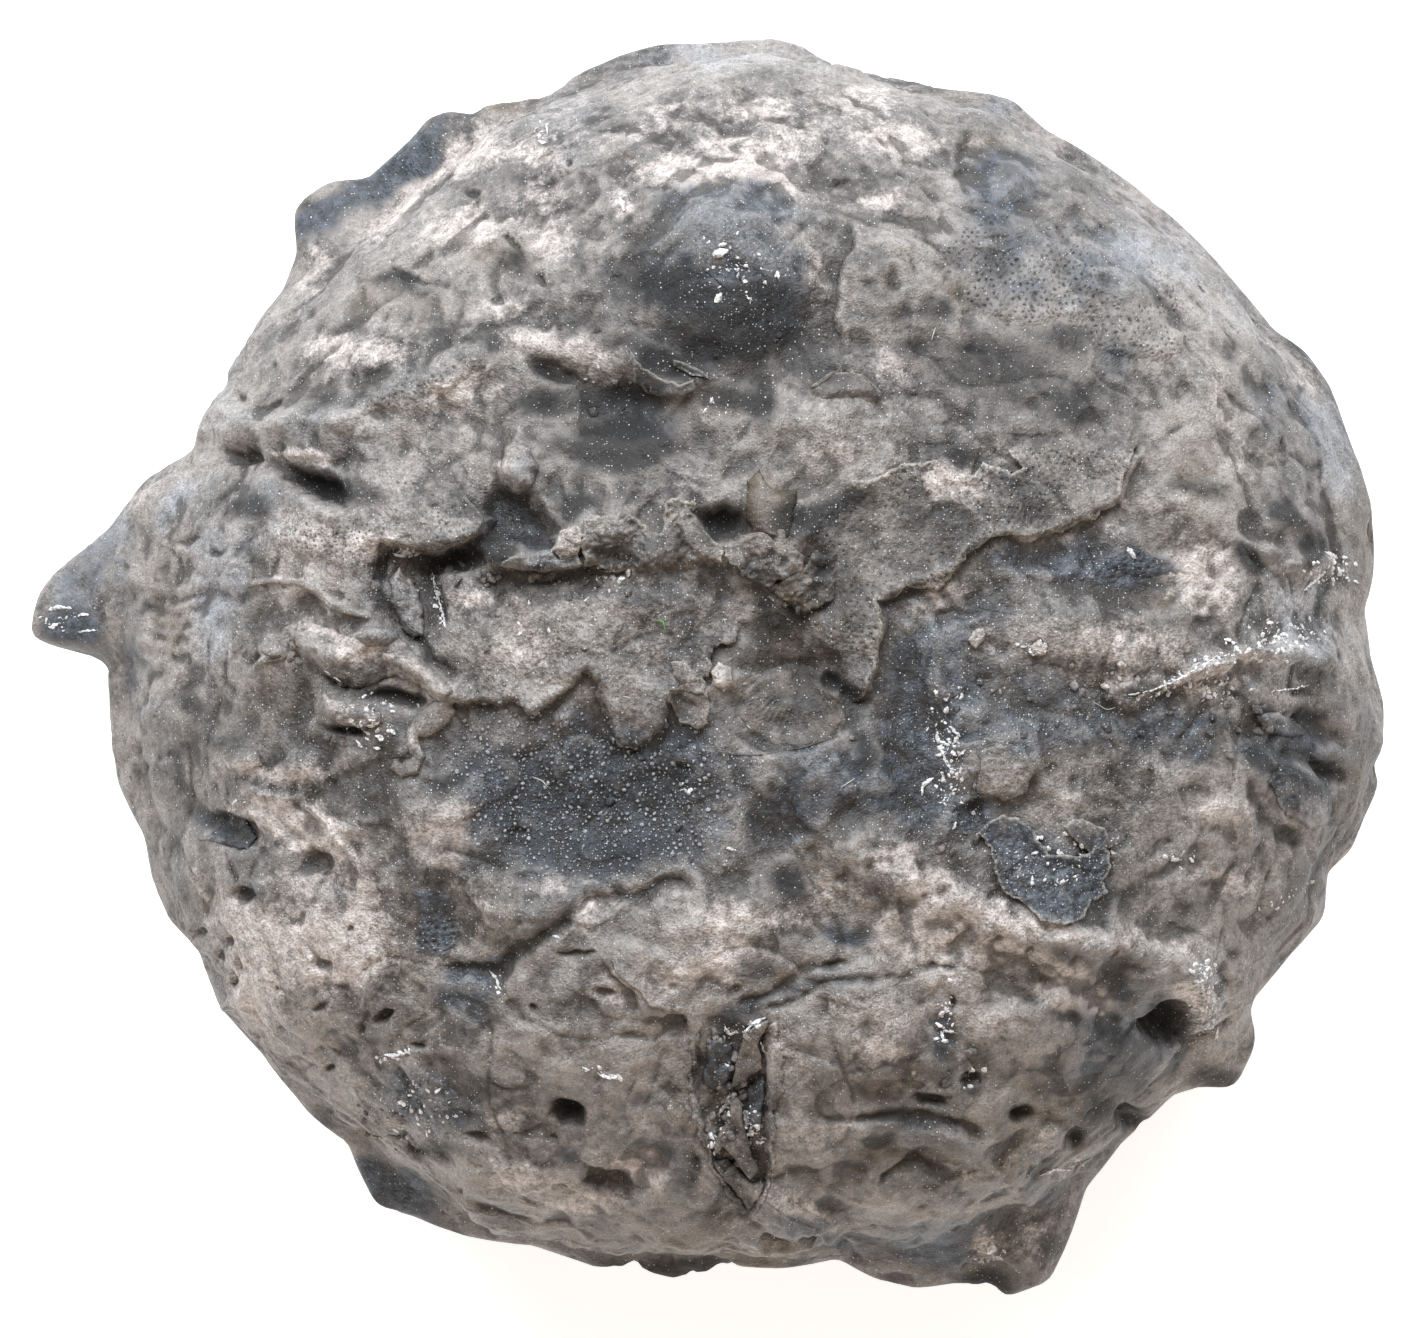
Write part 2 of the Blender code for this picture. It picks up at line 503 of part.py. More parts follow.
def wear_flat(calyx, cutters, width=0.06, depth=0.01):
    """Cuts the mouth side off level, where it was worn flat and now rests."""
    mesh = bpy.data.meshes.new("rest_flat_cutter")
    shape = bmesh.new()
    bmesh.ops.create_cube(shape, size=1.0)
    bmesh.ops.scale(shape, vec=(width, width, depth), verts=shape.verts)
    bmesh.ops.translate(shape, vec=(0.0, 0.0, -depth / 2), verts=shape.verts)
    shape.to_mesh(mesh)
    shape.free()
    cutter = bpy.data.objects.new("rest_flat_cutter", mesh)
    cutter.hide_render = True
    cutter.display_type = "WIRE"
    cutters.objects.link(cutter)
    cut = calyx.modifiers.new("worn flat", "BOOLEAN")
    cut.operation = "DIFFERENCE"
    cut.solver = "EXACT"
    cut.object = cutter


def new_collection(name):
    collection = bpy.data.collections.new(name)
    bpy.context.scene.collection.children.link(collection)
    return collection


def main():
    for thing in list(bpy.data.objects):
        bpy.data.objects.remove(thing)
    cutters = new_collection("cutters")
    calyx = make_calyx(new_collection(COLLECTION))
    wear_flat(calyx, cutters)


main()
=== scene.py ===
"""A fossil crinoid calyx, lying mouth down on a pale table, seen from straight above."""

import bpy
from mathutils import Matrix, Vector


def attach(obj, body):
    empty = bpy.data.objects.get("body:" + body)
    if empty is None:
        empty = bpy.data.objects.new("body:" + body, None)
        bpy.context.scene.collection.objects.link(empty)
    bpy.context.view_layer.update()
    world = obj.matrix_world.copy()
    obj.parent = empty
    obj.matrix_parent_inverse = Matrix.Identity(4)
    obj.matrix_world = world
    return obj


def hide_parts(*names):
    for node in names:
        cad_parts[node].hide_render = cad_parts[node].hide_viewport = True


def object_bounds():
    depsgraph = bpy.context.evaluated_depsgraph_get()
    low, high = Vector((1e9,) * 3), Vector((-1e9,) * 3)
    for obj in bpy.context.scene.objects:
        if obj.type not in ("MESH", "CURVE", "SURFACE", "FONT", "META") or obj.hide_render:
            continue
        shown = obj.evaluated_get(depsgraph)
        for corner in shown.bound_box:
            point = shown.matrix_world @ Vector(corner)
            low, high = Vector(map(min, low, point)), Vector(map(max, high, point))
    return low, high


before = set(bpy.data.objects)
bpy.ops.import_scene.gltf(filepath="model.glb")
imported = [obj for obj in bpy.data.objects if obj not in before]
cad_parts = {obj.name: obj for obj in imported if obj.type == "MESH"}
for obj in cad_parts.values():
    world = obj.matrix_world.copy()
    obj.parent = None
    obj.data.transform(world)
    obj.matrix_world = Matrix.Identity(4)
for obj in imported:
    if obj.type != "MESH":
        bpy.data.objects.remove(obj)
cad_box = [[round(value, 6) for value in corner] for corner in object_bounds()]

import math

import bmesh
import bpy
import numpy as np
from mathutils import Matrix, Vector, noise
from mathutils.bvhtree import BVHTree
from mathutils.geometry import delaunay_2d_cdt
from mathutils.kdtree import KDTree

# THE STONE
# The calyx (cup) of a sea lily, turned to stone, lying on its mouth side. The cup's plates, the flange
# of knobs around it and the broken spine are one solid; its length, width and height are the frame's.
# All lengths here are millimetres until the mesh is made.
MM = 0.001
AXIS_X = 1.6
AXIS_Y = 0.5
WIDEST_LEVEL = 14.6
CUP_RISE = 17.0
CUP_SQUARENESS = 2.35
MOUTH_DROP = 15.6
MOUTH_SQUARENESS = 2.0
TYPICAL_RADIUS = 31.0
FLANGE_LEVEL = 11.4
FLANGE_THICKNESS = 2.7
FLANGE_BLUNTNESS = 4.5
LEFT_SPINE = (177, 9, 2.2)
BROKEN_KNOB = (-66, 10, 4.6)
WANDER = 0.45
WANDER_SIZE = 3.2
FINE_WANDER = [(1.5, 0.24), (0.6, 0.12)]
FLAKES = [(3.4, 0.12, 0.13), (2.1, -0.15, 0.09), (1.3, 0.2, 0.07)]
CRACK_SPACING = 5.0
CRACK_DEPTH = 0.1
CRUST_LUMPS = [(6.5, 0.5), (3.0, 0.3), (1.5, 0.15), (0.8, 0.08), (0.42, 0.045)]
CUP_ENDS = (1.1, 0.15)
MOUTH_BEGINS = (1.2, 0.2)
WORN_BEGINS = (1.65, 0.15)
WORN_AWAY = 0.8
CUP_INSET = 0.45
FLANGE_INSET = 0.25
EDGE_MARGIN = 0.3
CUP_FINENESS = 3.0
SPHERE_LEVEL = 9
STONE_TRIANGLES = 196000
BOX_MARGIN = 0.02
LUMP_STEEPNESS = 1.2
HOLLOW_STEEPNESS = 2.0
LEDGE_SHARPNESS = 0.16
LEDGE_REACH = (2.2, 1.3)
LEDGE_FADE = 1.6
FLAKE_EDGE = 0.05
CRACK_WIDTH = 0.035
MOUTH_LUMPS = [(5.0, 0.35), (1.8, 0.15), (0.8, 0.07)]
MOUTH_PLATE = 6.5
PLATE_GROOVE = (0.7, 0.45)
SOCKET_ANGLES = (15, 52, 88, 126, 162, 198, 232, 264, 298, 334)
SOCKET_RING = 27.2
SOCKET_RADIUS = 1.9
SOCKET_DEPTH = 1.1

# Radius of the cup's own edge around its axis, as (degrees from +X towards +Y, radius)
CUP_EDGE = [
    (0, 31.5), (20, 31.9), (32, 31.2), (45, 30.6), (60, 30.2), (75, 29.8), (90, 30.4), (104, 29.8),
    (116, 29.3), (128, 28.4), (140, 28.6), (150, 29.0), (160, 28.8), (172, 29.6), (184, 29.3), (192, 29.5),
    (202, 30.6), (215, 30.9), (230, 31.0), (242, 30.6), (256, 30.8), (270, 30.3), (282, 30.3), (292, 31.4),
    (304, 31.0), (318, 30.9), (332, 31.0), (346, 32.0),
]

# The outermost edge seen from above: spine, knobs, nubs, lips
OUTLINE = [
    (-30.0, -0.1), (-30.9, 0.7), (-32.4, 0.8), (-33.5, 0.8), (-33.9, 1.4), (-33.8, 2.6), (-33.5, 3.6),
    (-32.9, 4.5), (-31.5, 5.7), (-30.0, 6.9), (-29.2, 8.1), (-28.0, 9.4), (-26.5, 10.2), (-25.6, 10.7),
    (-25.2, 12.4), (-24.0, 14.6), (-22.4, 17.3), (-21.2, 18.8), (-20.5, 20.6), (-20.7, 22.8), (-20.0, 23.6),
    (-18.8, 24.3), (-17.0, 24.4), (-15.8, 25.5), (-14.8, 26.4), (-14.0, 27.4), (-13.0, 27.8), (-11.6, 27.6),
    (-11.2, 28.1), (-9.2, 28.4), (-7.6, 28.8), (-6.6, 29.6), (-4.6, 30.5), (-2.4, 31.1), (0.0, 31.2),
    (3.2, 31.5), (4.6, 31.2), (6.0, 30.3), (9.0, 29.6), (12.0, 28.9), (14.4, 28.6), (15.4, 28.3),
    (17.0, 26.8), (20.0, 25.1), (22.5, 23.2), (24.4, 21.5), (26.2, 19.5), (28.4, 16.8), (30.0, 15.7),
    (31.2, 14.0), (32.1, 11.5), (33.3, 7.8), (33.4, 4.6), (32.9, 2.7), (33.2, 0.4), (33.9, -2.0),
    (33.8, -4.2), (33.4, -5.0), (33.7, -5.9), (32.9, -7.6), (32.3, -9.2), (31.1, -10.3), (30.9, -12.6),
    (29.2, -14.4), (27.4, -16.5), (27.1, -17.0), (27.5, -18.8), (26.5, -21.2), (24.8, -21.1), (23.4, -21.4),
    (20.8, -23.9), (19.0, -26.2), (18.2, -28.6), (17.2, -30.8), (15.2, -31.6), (12.6, -30.9), (10.5, -31.2),
    (8.4, -30.7), (6.6, -29.7), (4.0, -30.2), (1.2, -30.1), (-1.6, -30.8), (-3.8, -30.2), (-5.4, -30.2),
    (-8.6, -29.1), (-12.0, -28.6), (-14.6, -27.7), (-16.6, -27.0), (-17.3, -25.6), (-18.0, -24.0),
    (-20.0, -22.4), (-22.2, -19.4), (-24.4, -17.0), (-25.3, -14.3), (-27.0, -12.6), (-27.8, -10.6),
    (-28.1, -8.6), (-29.6, -5.6), (-29.9, -2.0),
]

# Swellings, as (x, y, half length, half width, degrees turned, height)
LUMPS = [
    (1, 19.6, 4, 3.5, 0, 2.7), (0.7, 20.4, 1.6, 1.3, 0, 0.8), (8.6, 18.6, 2.2, 3.4, -10, 0.7),
    (5.7, 12, 2.7, 1.8, 0, 1), (-9.1, 9.4, 0.9, 1.3, 8, 1.3), (3, 7.7, 0.9, 1.5, 0, 1),
    (20.6, 1.4, 4.2, 1.8, -6, 1), (23.4, 8.6, 3.2, 2.6, 0, 0.6), (-20.2, 6.6, 4.4, 2.6, -10, 0.8),
    (-6.4, -18, 4.2, 4.6, 0, 1.1), (7.6, -18.2, 3.8, 3.2, 10, 1), (15.6, -17.2, 3, 2.2, -15, 0.8),
    (5.2, -23, 2.2, 1.4, 0, 0.5), (9.4, -26.2, 2.6, 1.4, 10, 0.6), (-13, -7, 2, 1.9, 0, 0.8),
    (-8.8, -12.2, 2.2, 1.8, 20, 0.8), (0.6, -13.4, 4.6, 2.2, 0, 0.8), (-10.2, 21.2, 1.3, 1, 0, 0.5),
    (-4, 25.4, 1.5, 0.9, 0, 0.4), (15.2, 23.8, 1, 0.9, 0, 0.7), (-16.3, 1.6, 0.9, 0.7, 0, 0.3),
    (-12.7, -1.2, 0.8, 0.7, 0, 0.5), (-17.6, -2, 1.4, 0.6, -15, 0.6), (21.2, -15.4, 0.8, 0.6, 0, 0.5),
    (14.6, -5, 1.5, 1.3, 5, 0.3), (16.6, -10, 2.9, 2.6, -15, 0.3), (-19.6, -15.2, 4.6, 3.4, -40, 0.7),
    (-9.6, -24.8, 3.4, 1.8, -15, 0.6), (28.8, 7, 1.3, 1, 0, 0.5), (20.4, 16.4, 4.2, 3, -45, 0.6),
    (-0.4, 21.9, 0.6, 0.5, 0, 0.35), (-0.9, 20.4, 0.7, 0.6, 0, 0.35), (2.4, 20.6, 0.6, 0.5, 0, 0.3),
    (-18.4, 0.6, 0.9, 0.6, -10, 0.35), (-22.4, -4.6, 1, 0.7, 20, 0.3), (-19.8, -4.8, 0.8, 0.7, 0, 0.35),
    (-17.1, -7.8, 0.5, 0.4, 0, 0.25), (-1.5, -22, 0.6, 0.6, 0, 0.35), (0.8, -0.5, 0.6, 0.5, 20, 0.35),
    (-7, -2.6, 0.35, 0.3, 0, 0.25), (29.4, 6.8, 0.3, 0.25, 0, 0.25), (17.8, -6.6, 0.7, 0.5, 0, 0.25),
    (25.6, -7.1, 1.4, 0.6, 0, 0.3), (12.9, -2.6, 0.9, 0.6, 20, 0.3), (8.6, 14.3, 0.8, 0.5, -30, 0.25),
]

# Hollows, pits and holes in the same terms, with their depth
HOLLOWS = [
    (-5.3, 12.9, 3.2, 1.7, -12, 1.5), (-7.8, 14.6, 1, 0.5, -12, 0.8), (0.9, 6.9, 1, 0.9, 15, 1.7),
    (-14.6, 3.2, 1.5, 2.6, 8, 1.3), (-12.7, 5.2, 2.2, 0.7, 5, 1.1), (-19.2, 8.7, 1.8, 0.65, -24, 2.2),
    (-22.9, 10.4, 0.7, 0.4, 0, 1.1), (-9.6, 7.4, 2.4, 1.2, -25, 0.9), (4.3, -1.6, 3, 2.5, 0, 0.8),
    (4.6, -0.6, 0.8, 0.7, 0, 0.4), (14.3, -30.7, 1.5, 0.8, 0, 1.3), (-24.6, 14.4, 0.8, 2.6, -28, 0.5),
    (-13, -12.4, 1.9, 2.2, 0, 0.5), (-5, -6.4, 6.4, 3.8, 4, 1), (-23.4, -8.2, 1.6, 0.8, -12, 1.1),
    (1.3, -21, 1.3, 3.8, 4, 0.35), (-6.8, -22, 0.8, 0.7, 0, 1.6), (-5.2, -25.3, 1.2, 0.5, -35, 0.8),
    (23.3, -18, 1.3, 0.9, -20, 2), (15.8, -22.3, 0.7, 0.4, 15, 0.9), (13.1, -20.6, 0.6, 0.4, 0, 0.8),
    (21.3, -22.7, 0.8, 0.7, 0, 0.9), (18.3, -23.6, 0.6, 0.5, 0, 0.7), (10.4, -4, 1.8, 4, 8, 0.8),
    (3.4, -7.6, 1.3, 2.2, -20, 0.6), (-19.6, -9.7, 0.7, 0.6, 0, 0.6), (-22.5, -11.3, 0.7, 0.5, 0, 0.6),
    (-3.6, -24.8, 2.4, 1.2, 25, 0.5), (28.6, -3.6, 2.2, 1.4, -10, 0.8), (-25, -13.2, 0.45, 0.3, 0, 0.4),
    (-23.3, -13.7, 0.35, 0.35, 0, 0.4), (-22.6, -14.6, 0.16, 0.3, 0, 0.3), (-23.9, -14.7, 0.25, 0.35, 0, 0.3),
    (-23.2, -15.5, 0.2, 0.33, 0, 0.4), (-18.6, -14.6, 0.45, 0.3, -30, 0.3),
    (-18.6, -16.8, 0.4, 0.18, 30, 0.3), (-16, -17.3, 0.4, 0.28, 10, 0.6), (-17, -17.7, 0.15, 0.3, 0, 0.3),
    (-17.4, -12.8, 0.18, 0.15, 0, 0.25), (-18.5, -19.8, 0.2, 0.18, 0, 0.4),
    (-14.3, -18.9, 0.35, 0.16, 0, 0.35), (-17.2, -23.4, 0.35, 0.22, 0, 0.35),
    (-15, -23.4, 0.3, 0.2, -20, 0.3), (-22.1, -18.3, 0.2, 0.3, 0, 0.25), (-5, -16.1, 0.5, 0.25, 0, 0.4),
    (-8.2, -16.7, 0.22, 0.15, 0, 0.3), (-11.1, -23.2, 0.5, 0.28, 0, 0.5), (-7.5, -23.4, 0.16, 0.2, 0, 0.25),
    (-1.7, -15.4, 0.2, 0.2, 0, 0.25), (1.4, -15.6, 0.18, 0.16, 0, 0.2), (-6.4, -13.9, 0.8, 0.14, 0, 0.3),
    (-1.2, -5, 0.45, 0.25, -10, 0.3), (-9.4, -8.4, 0.8, 0.25, 0, 0.35), (8.6, 5, 0.14, 0.12, 0, 0.3),
    (6.4, -0.9, 0.45, 0.4, 0, 0.6), (7.3, -1.5, 0.5, 0.3, -20, 0.5), (-18.7, -5.9, 0.3, 0.3, 0, 0.3),
    (-25.3, 6.2, 0.5, 0.2, 20, 0.3), (-24.3, 5.4, 0.3, 0.18, 0, 0.25), (-28.6, 4.8, 0.25, 0.3, 0, 0.3),
    (-21.8, 0.15, 0.3, 0.12, 30, 0.3), (-7, 25, 0.25, 0.18, 0, 0.3), (6.7, 23.8, 0.45, 0.14, 10, 0.3),
    (-5.3, 16.3, 0.25, 0.1, 0, 0.25), (-22.8, 14.5, 0.35, 0.2, 0, 0.25), (-22.7, 13.5, 0.25, 0.16, 0, 0.2),
    (-21.2, 14.8, 0.2, 0.15, 0, 0.2), (-11.6, 23.4, 0.28, 0.2, 0, 0.25), (-9.8, 20.9, 0.8, 0.2, -50, 0.35),
    (-8.2, 19.2, 0.5, 0.2, -20, 0.25), (9.3, 18.6, 0.55, 0.5, 0, 0.3), (12.2, -16.5, 0.15, 0.3, 0, 0.35),
    (11, -21.5, 0.8, 0.3, -10, 0.5), (-17.7, -3.1, 0.9, 0.22, -10, 0.6), (-15.3, -1.6, 1.4, 0.3, -6, 0.8),
    (-18.2, -0.8, 0.9, 0.2, -15, 0.4), (-3.4, -30, 1.9, 0.5, -12, 0.6), (0.4, -30.1, 1, 0.3, 0, 0.5),
    (-14.8, 19.1, 0.9, 0.25, -20, 0.3), (-10, 28.6, 1.2, 0.2, 5, 0.2), (-16.2, 5.2, 0.5, 0.9, -20, 0.5),
    (13.3, -7, 0.5, 0.5, 0, 0.5), (31, -5.2, 0.5, 0.4, 0, 0.5), (26.2, -1.6, 0.6, 0.2, -20, 0.3),
    (29.6, -1.4, 0.5, 0.2, 25, 0.3), (-16, 26, 0.5, 0.3, 40, 0.4), (-14.8, 25.9, 0.3, 0.25, 0, 0.3),
    (9.6, -30.6, 0.9, 0.3, 0, 0.4), (-13.3, 3.3, 0.4, 1.2, 8, 0.5),
]

# Raised or sunken bands, as (half width, height, places the band runs through)
BANDS = [
    (0.95, 0.4, [
        (-21.2, 0.2), (-19.8, 0.9), (-18.0, 0.6), (-16.2, 1.0), (-14.8, 0.2), (-13.2, -0.9), (-12.2, -1.7),
    ]),
    (0.6, 0.3, [(-21.5, 3.9), (-19.6, 3.9), (-18.0, 3.1), (-16.4, 2.5)]),
    (1.1, 1.0, [
        (-10.2, 5.4), (-8.4, 5.5), (-6.8, 6.1), (-5.6, 6.7), (-4.2, 6.8), (-2.6, 6.0), (-1.2, 7.0),
        (0.2, 6.0), (1.2, 5.2), (3.0, 5.6), (5.0, 6.6),
    ]),
    (0.5, 0.6, [(-3.7, 15.4), (-3.3, 14.2), (-2.2, 13.5), (-0.8, 13.6)]),
    (1.0, 0.9, [(-25.0, 11.6), (-21.0, 11.8), (-18.0, 11.8), (-16.0, 12.6), (-13.5, 13.8), (-11.5, 14.6)]),
    (1.3, 1.0, [(7.4, -9.0), (11.0, -10.8), (14.0, -12.5), (18.0, -13.3), (21.0, -13.8), (25.0, -15.6)]),
    (0.9, 0.6, [(-25.0, 10.3), (-26.8, 7.6), (-27.8, 4.2), (-27.8, 1.0), (-27.2, -2.0), (-26.9, -5.0)]),
    (0.7, 0.7, [(20.6, -0.9), (24.0, -0.1), (27.0, 0.8), (30.6, 0.7)]),
    (0.7, 0.6, [(26.0, 5.9), (28.2, 5.2), (30.5, 4.8)]),
    (0.8, 0.6, [(-12.0, -27.2), (-8.0, -27.9), (-3.0, -28.2), (2.0, -27.9), (5.0, -28.8)]),
    (0.7, 0.7, [(2.9, -26.1), (4.4, -27.0), (6.2, -27.9)]),
    (0.8, 0.5, [(8.0, -22.4), (11.0, -22.9), (14.0, -24.6), (16.0, -26.0)]),
    (1.0, -0.6, [(14.4, -15.4), (18.4, -16.8), (21.4, -18.0), (24.0, -18.8)]),
    (0.4, -0.5, [
        (-12.4, -15.2), (-10.2, -15.3), (-8.9, -13.8), (-7.4, -12.8), (-5.8, -11.6), (-3.6, -11.3),
        (-1.4, -10.8),
    ]),
    (0.5, -0.5, [(29.8, -2.6), (30.8, -2.8), (31.4, -3.4)]),
    (0.25, -0.5, [(-16.3, 5.0), (-16.3, 3.8), (-15.8, 2.5), (-14.8, 1.4), (-13.6, 0.4), (-12.4, -0.3)]),
    (0.45, -0.5, [(29.2, -4.2), (30.4, -4.9), (31.4, -5.6)]),
    (0.4, -0.3, [(26.8, -6.2), (27.6, -7.4), (29.2, -8.8)]),
    (0.8, -0.4, [(10.2, 2.4), (13.0, 3.6), (16.0, 5.2), (19.0, 5.6)]),
    (0.18, 0.3, [(-22.8, 4.1), (-21.2, 4.3), (-19.6, 4.0), (-18.6, 3.4), (-17.8, 3.1), (-16.6, 2.6)]),
    (0.16, 0.25, [(-20.1, 1.9), (-20.3, 1.1), (-20.4, 0.4), (-21.0, 0.3), (-21.8, -0.1)]),
    (0.3, 0.3, [(-14.8, 25.0), (-12.8, 26.6)]),
    (0.2, 0.25, [(13.0, 27.2), (14.6, 26.8), (16.4, 26.4), (18.2, 25.8)]),
    (0.25, -0.35, [(12.8, 26.4), (12.7, 25.0), (12.9, 23.6)]),
    (0.2, 0.3, [(21.0, -1.1), (22.6, -0.9), (24.0, -0.2), (25.4, 0.3)]),
    (0.2, 0.25, [(-22.0, -6.2), (-20.4, -6.6), (-18.8, -7.6), (-17.4, -8.8), (-16.9, -10.2)]),
    (0.25, -0.3, [(2.0, -16.2), (3.6, -15.4), (5.4, -14.8), (6.8, -14.6)]),
    (0.2, -0.25, [(3.0, -16.6), (5.2, -15.9), (7.4, -15.2), (10.2, -15.2), (12.2, -15.0)]),
    (0.25, 0.25, [(3.0, -26.4), (4.6, -27.4), (6.0, -27.9)]),
    (0.2, 0.2, [(2.6, -26.8), (4.2, -27.9), (5.2, -28.4)]),
    (0.25, -0.4, [(3.0, -27.6), (4.6, -28.1), (6.2, -28.4), (7.4, -29.4)]),
    (0.3, -0.4, [(7.6, -22.1), (9.6, -22.0), (11.6, -22.5), (13.0, -23.0)]),
    (0.2, -0.3, [(8.6, -25.2), (10.2, -24.2), (11.8, -24.6)]),
    (0.15, 0.25, [(16.4, -25.5), (17.4, -25.1), (18.6, -25.0)]),
    (0.3, 0.3, [(-24.6, -18.0), (-22.8, -16.4), (-22.4, -15.2)]),
    (0.5, 0.4, [(-29.4, -4.0), (-29.2, -0.6), (-29.4, 3.0), (-28.8, 6.8), (-27.6, 9.0)]),
    (0.15, 0.15, [(-33.2, 3.1), (-32.0, 2.8), (-30.8, 2.9)]),
    (0.15, 0.18, [(-33.4, 2.3), (-32.2, 2.1), (-30.8, 2.2)]),
    (0.15, 0.15, [(-33.2, 1.6), (-32.0, 1.5), (-30.6, 1.6)]),
]
for rib in range(6):
    rib_places = [(-27.5, 4.0 - 0.75 * rib), (-26.4, 3.8 - 0.8 * rib), (-25.2, 3.9 - 0.7 * rib)]
    BANDS.append((0.22, 0.13, rib_places))

# Broken steps and the stone's own rise under the crusts' edges, as
# (rise on the left of the line, drop on its right, places it runs through)
LEDGES = [
    (0.3, 0.15, [
        (6.4, -1.4), (7.4, -1.9), (8.2, -1.1), (8.3, 0.3), (8.6, 1.6), (8.5, 2.9), (9.3, 3.4), (10.1, 3.9),
        (11.4, 4.2), (12.8, 5.0), (13.1, 5.8), (14.2, 6.5), (17.0, 6.7), (18.5, 7.0), (19.2, 7.8),
        (20.2, 8.2), (20.6, 9.4), (21.8, 10.8),
    ]),
    (0.25, 0.25, [
        (-13.2, -1.4), (-11.6, -2.0), (-10.0, -2.0), (-9.0, -1.5), (-8.3, -2.2), (-7.4, -1.7), (-6.6, -0.6),
        (-6.0, 0.1), (-5.4, -1.1), (-4.9, -2.5), (-4.1, -3.9), (-3.2, -3.9), (-2.2, -2.9), (-1.6, -1.7),
        (-0.4, -1.9), (0.6, -1.0),
    ]),
    (0.5, 0.4, [(-11.0, 5.3), (-9.6, 4.7), (-7.8, 4.6), (-6.0, 4.9), (-4.8, 4.8)]),
    (0.6, 0.7, [
        (-16.8, 4.6), (-15.9, 5.9), (-14.8, 5.6), (-13.4, 5.4), (-12.2, 5.9), (-11.0, 6.6), (-10.7, 7.4),
        (-11.6, 8.3),
    ]),
    (0.3, 0.2, [(-24.6, 10.4), (-21.0, 10.2), (-18.4, 9.9), (-16.6, 10.6)]),
    (0.3, 0.3, [(-5.4, -13.8), (-4.5, -15.0), (-3.6, -15.8), (-2.7, -16.9), (-1.2, -17.2), (-0.7, -18.4)]),
    (0.2, 0.15, [(1.7, -27.2), (0.6, -25.0), (-0.3, -23.0), (-0.6, -20.8), (-0.9, -17.8)]),
    (0.2, 0.1, [(3.0, -17.4), (3.0, -20.0), (3.3, -22.4), (3.0, -24.6), (2.4, -27.2)]),
    (0.35, 0.25, [(7.3, 22.2), (6.8, 19.5), (6.2, 17.2), (6.8, 15.4)]),
    (0.3, 0.2, [(7.6, -2.6), (6.4, -3.6), (5.0, -4.2), (3.2, -4.3), (1.7, -3.6), (0.5, -2.3)]),
    (0.3, 0.3, [(-18.6, 22.4), (-16.6, 23.4), (-14.6, 24.6), (-12.6, 26.4), (-11.2, 27.0)]),
    (0.25, 0.25, [(-17.6, -24.4), (-15.6, -24.8), (-13.8, -26.0), (-12.4, -27.2), (-10.4, -27.8)]),
    (0.2, 0.3, [(27.6, 4.0), (26.2, 5.6), (25.4, 5.9)]),
]


def smooth_step(values):
    t = np.clip(values, 0.0, 1.0)
    return t * t * (3.0 - 2.0 * t)


def noise_at(points, size):
    """Smooth noise between about -1 and 1 whose lumps are as wide as size."""
    return np.array([noise.noise(place) for place in (points / size).tolist()])


def radius_around(places, rounding):
    """A function that gives the radius of a closed outline at an angle, its corners rounded off."""
    steps = np.linspace(-math.pi, math.pi, 1440, endpoint=False)
    angles = np.array([math.atan2(y, x) for x, y in places])
    radii = np.array([math.hypot(x, y) for x, y in places])
    order = np.argsort(angles)
    table = np.interp(steps, angles[order], radii[order], period=2 * math.pi)
    for _ in range(rounding):
        table = (np.roll(table, 1) + 2 * table + np.roll(table, -1)) / 4
    return lambda angle: np.interp(angle, steps, table, period=2 * math.pi)


def profile():
    """The rounded section from the middle of the cup (0) over the widest level (1) to the mouth (2)."""
    along = np.linspace(0.0, 2.0, 2401)
    turn = along * math.pi / 2
    power = np.where(along < 1.0, 2.0 / CUP_SQUARENESS, 2.0 / MOUTH_SQUARENESS)
    height = np.where(along < 1.0, CUP_RISE, MOUTH_DROP)
    reach = np.abs(np.sin(turn)) ** power
    level = WIDEST_LEVEL + height * np.sign(np.cos(turn)) * np.abs(np.cos(turn)) ** power
    return along, reach, level


def beside(x, y, places):
    """Each point's distance to a line, its side of it (+1 is left) and the way to the line's nearer end."""
    places = np.array(places)
    runs = np.diff(places, axis=0)
    lengths = np.hypot(*runs.T)
    starts = np.concatenate([[0.0], np.cumsum(lengths)])
    normals = np.stack([-runs[:, 1], runs[:, 0]], axis=1) / lengths[:, None]
    nearest = np.full(len(x), np.inf)
    side = np.zeros(len(x))
    from_start = np.zeros(len(x))
    for i, (run, length) in enumerate(zip(runs, lengths)):
        dx = x - places[i, 0]
        dy = y - places[i, 1]
        t = np.clip((dx * run[0] + dy * run[1]) / length**2, 0.0, 1.0)
        off_x = dx - t * run[0]
        off_y = dy - t * run[1]
        distance = np.hypot(off_x, off_y)
        before = normals[max(i - 1, 0)] + normals[i]
        after = normals[i] + normals[min(i + 1, len(runs) - 1)]
        normal = np.where((t <= 0.0)[:, None], before, np.where((t >= 1.0)[:, None], after, normals[i]))
        closer = distance < nearest
        nearest = np.where(closer, distance, nearest)
        side = np.where(closer, np.sign(off_x * normal[:, 0] + off_y * normal[:, 1]), side)
        from_start = np.where(closer, starts[i] + t * length, from_start)
    return nearest, side, np.minimum(from_start, starts[-1] - from_start)


def around(x, y, places, reach):
    """The numbers of the points that lie within reach of a form."""
    places = np.array(places)
    low = places.min(axis=0) - reach
    high = places.max(axis=0) + reach
    return np.flatnonzero((x > low[0]) & (x < high[0]) & (y > low[1]) & (y < high[1]))


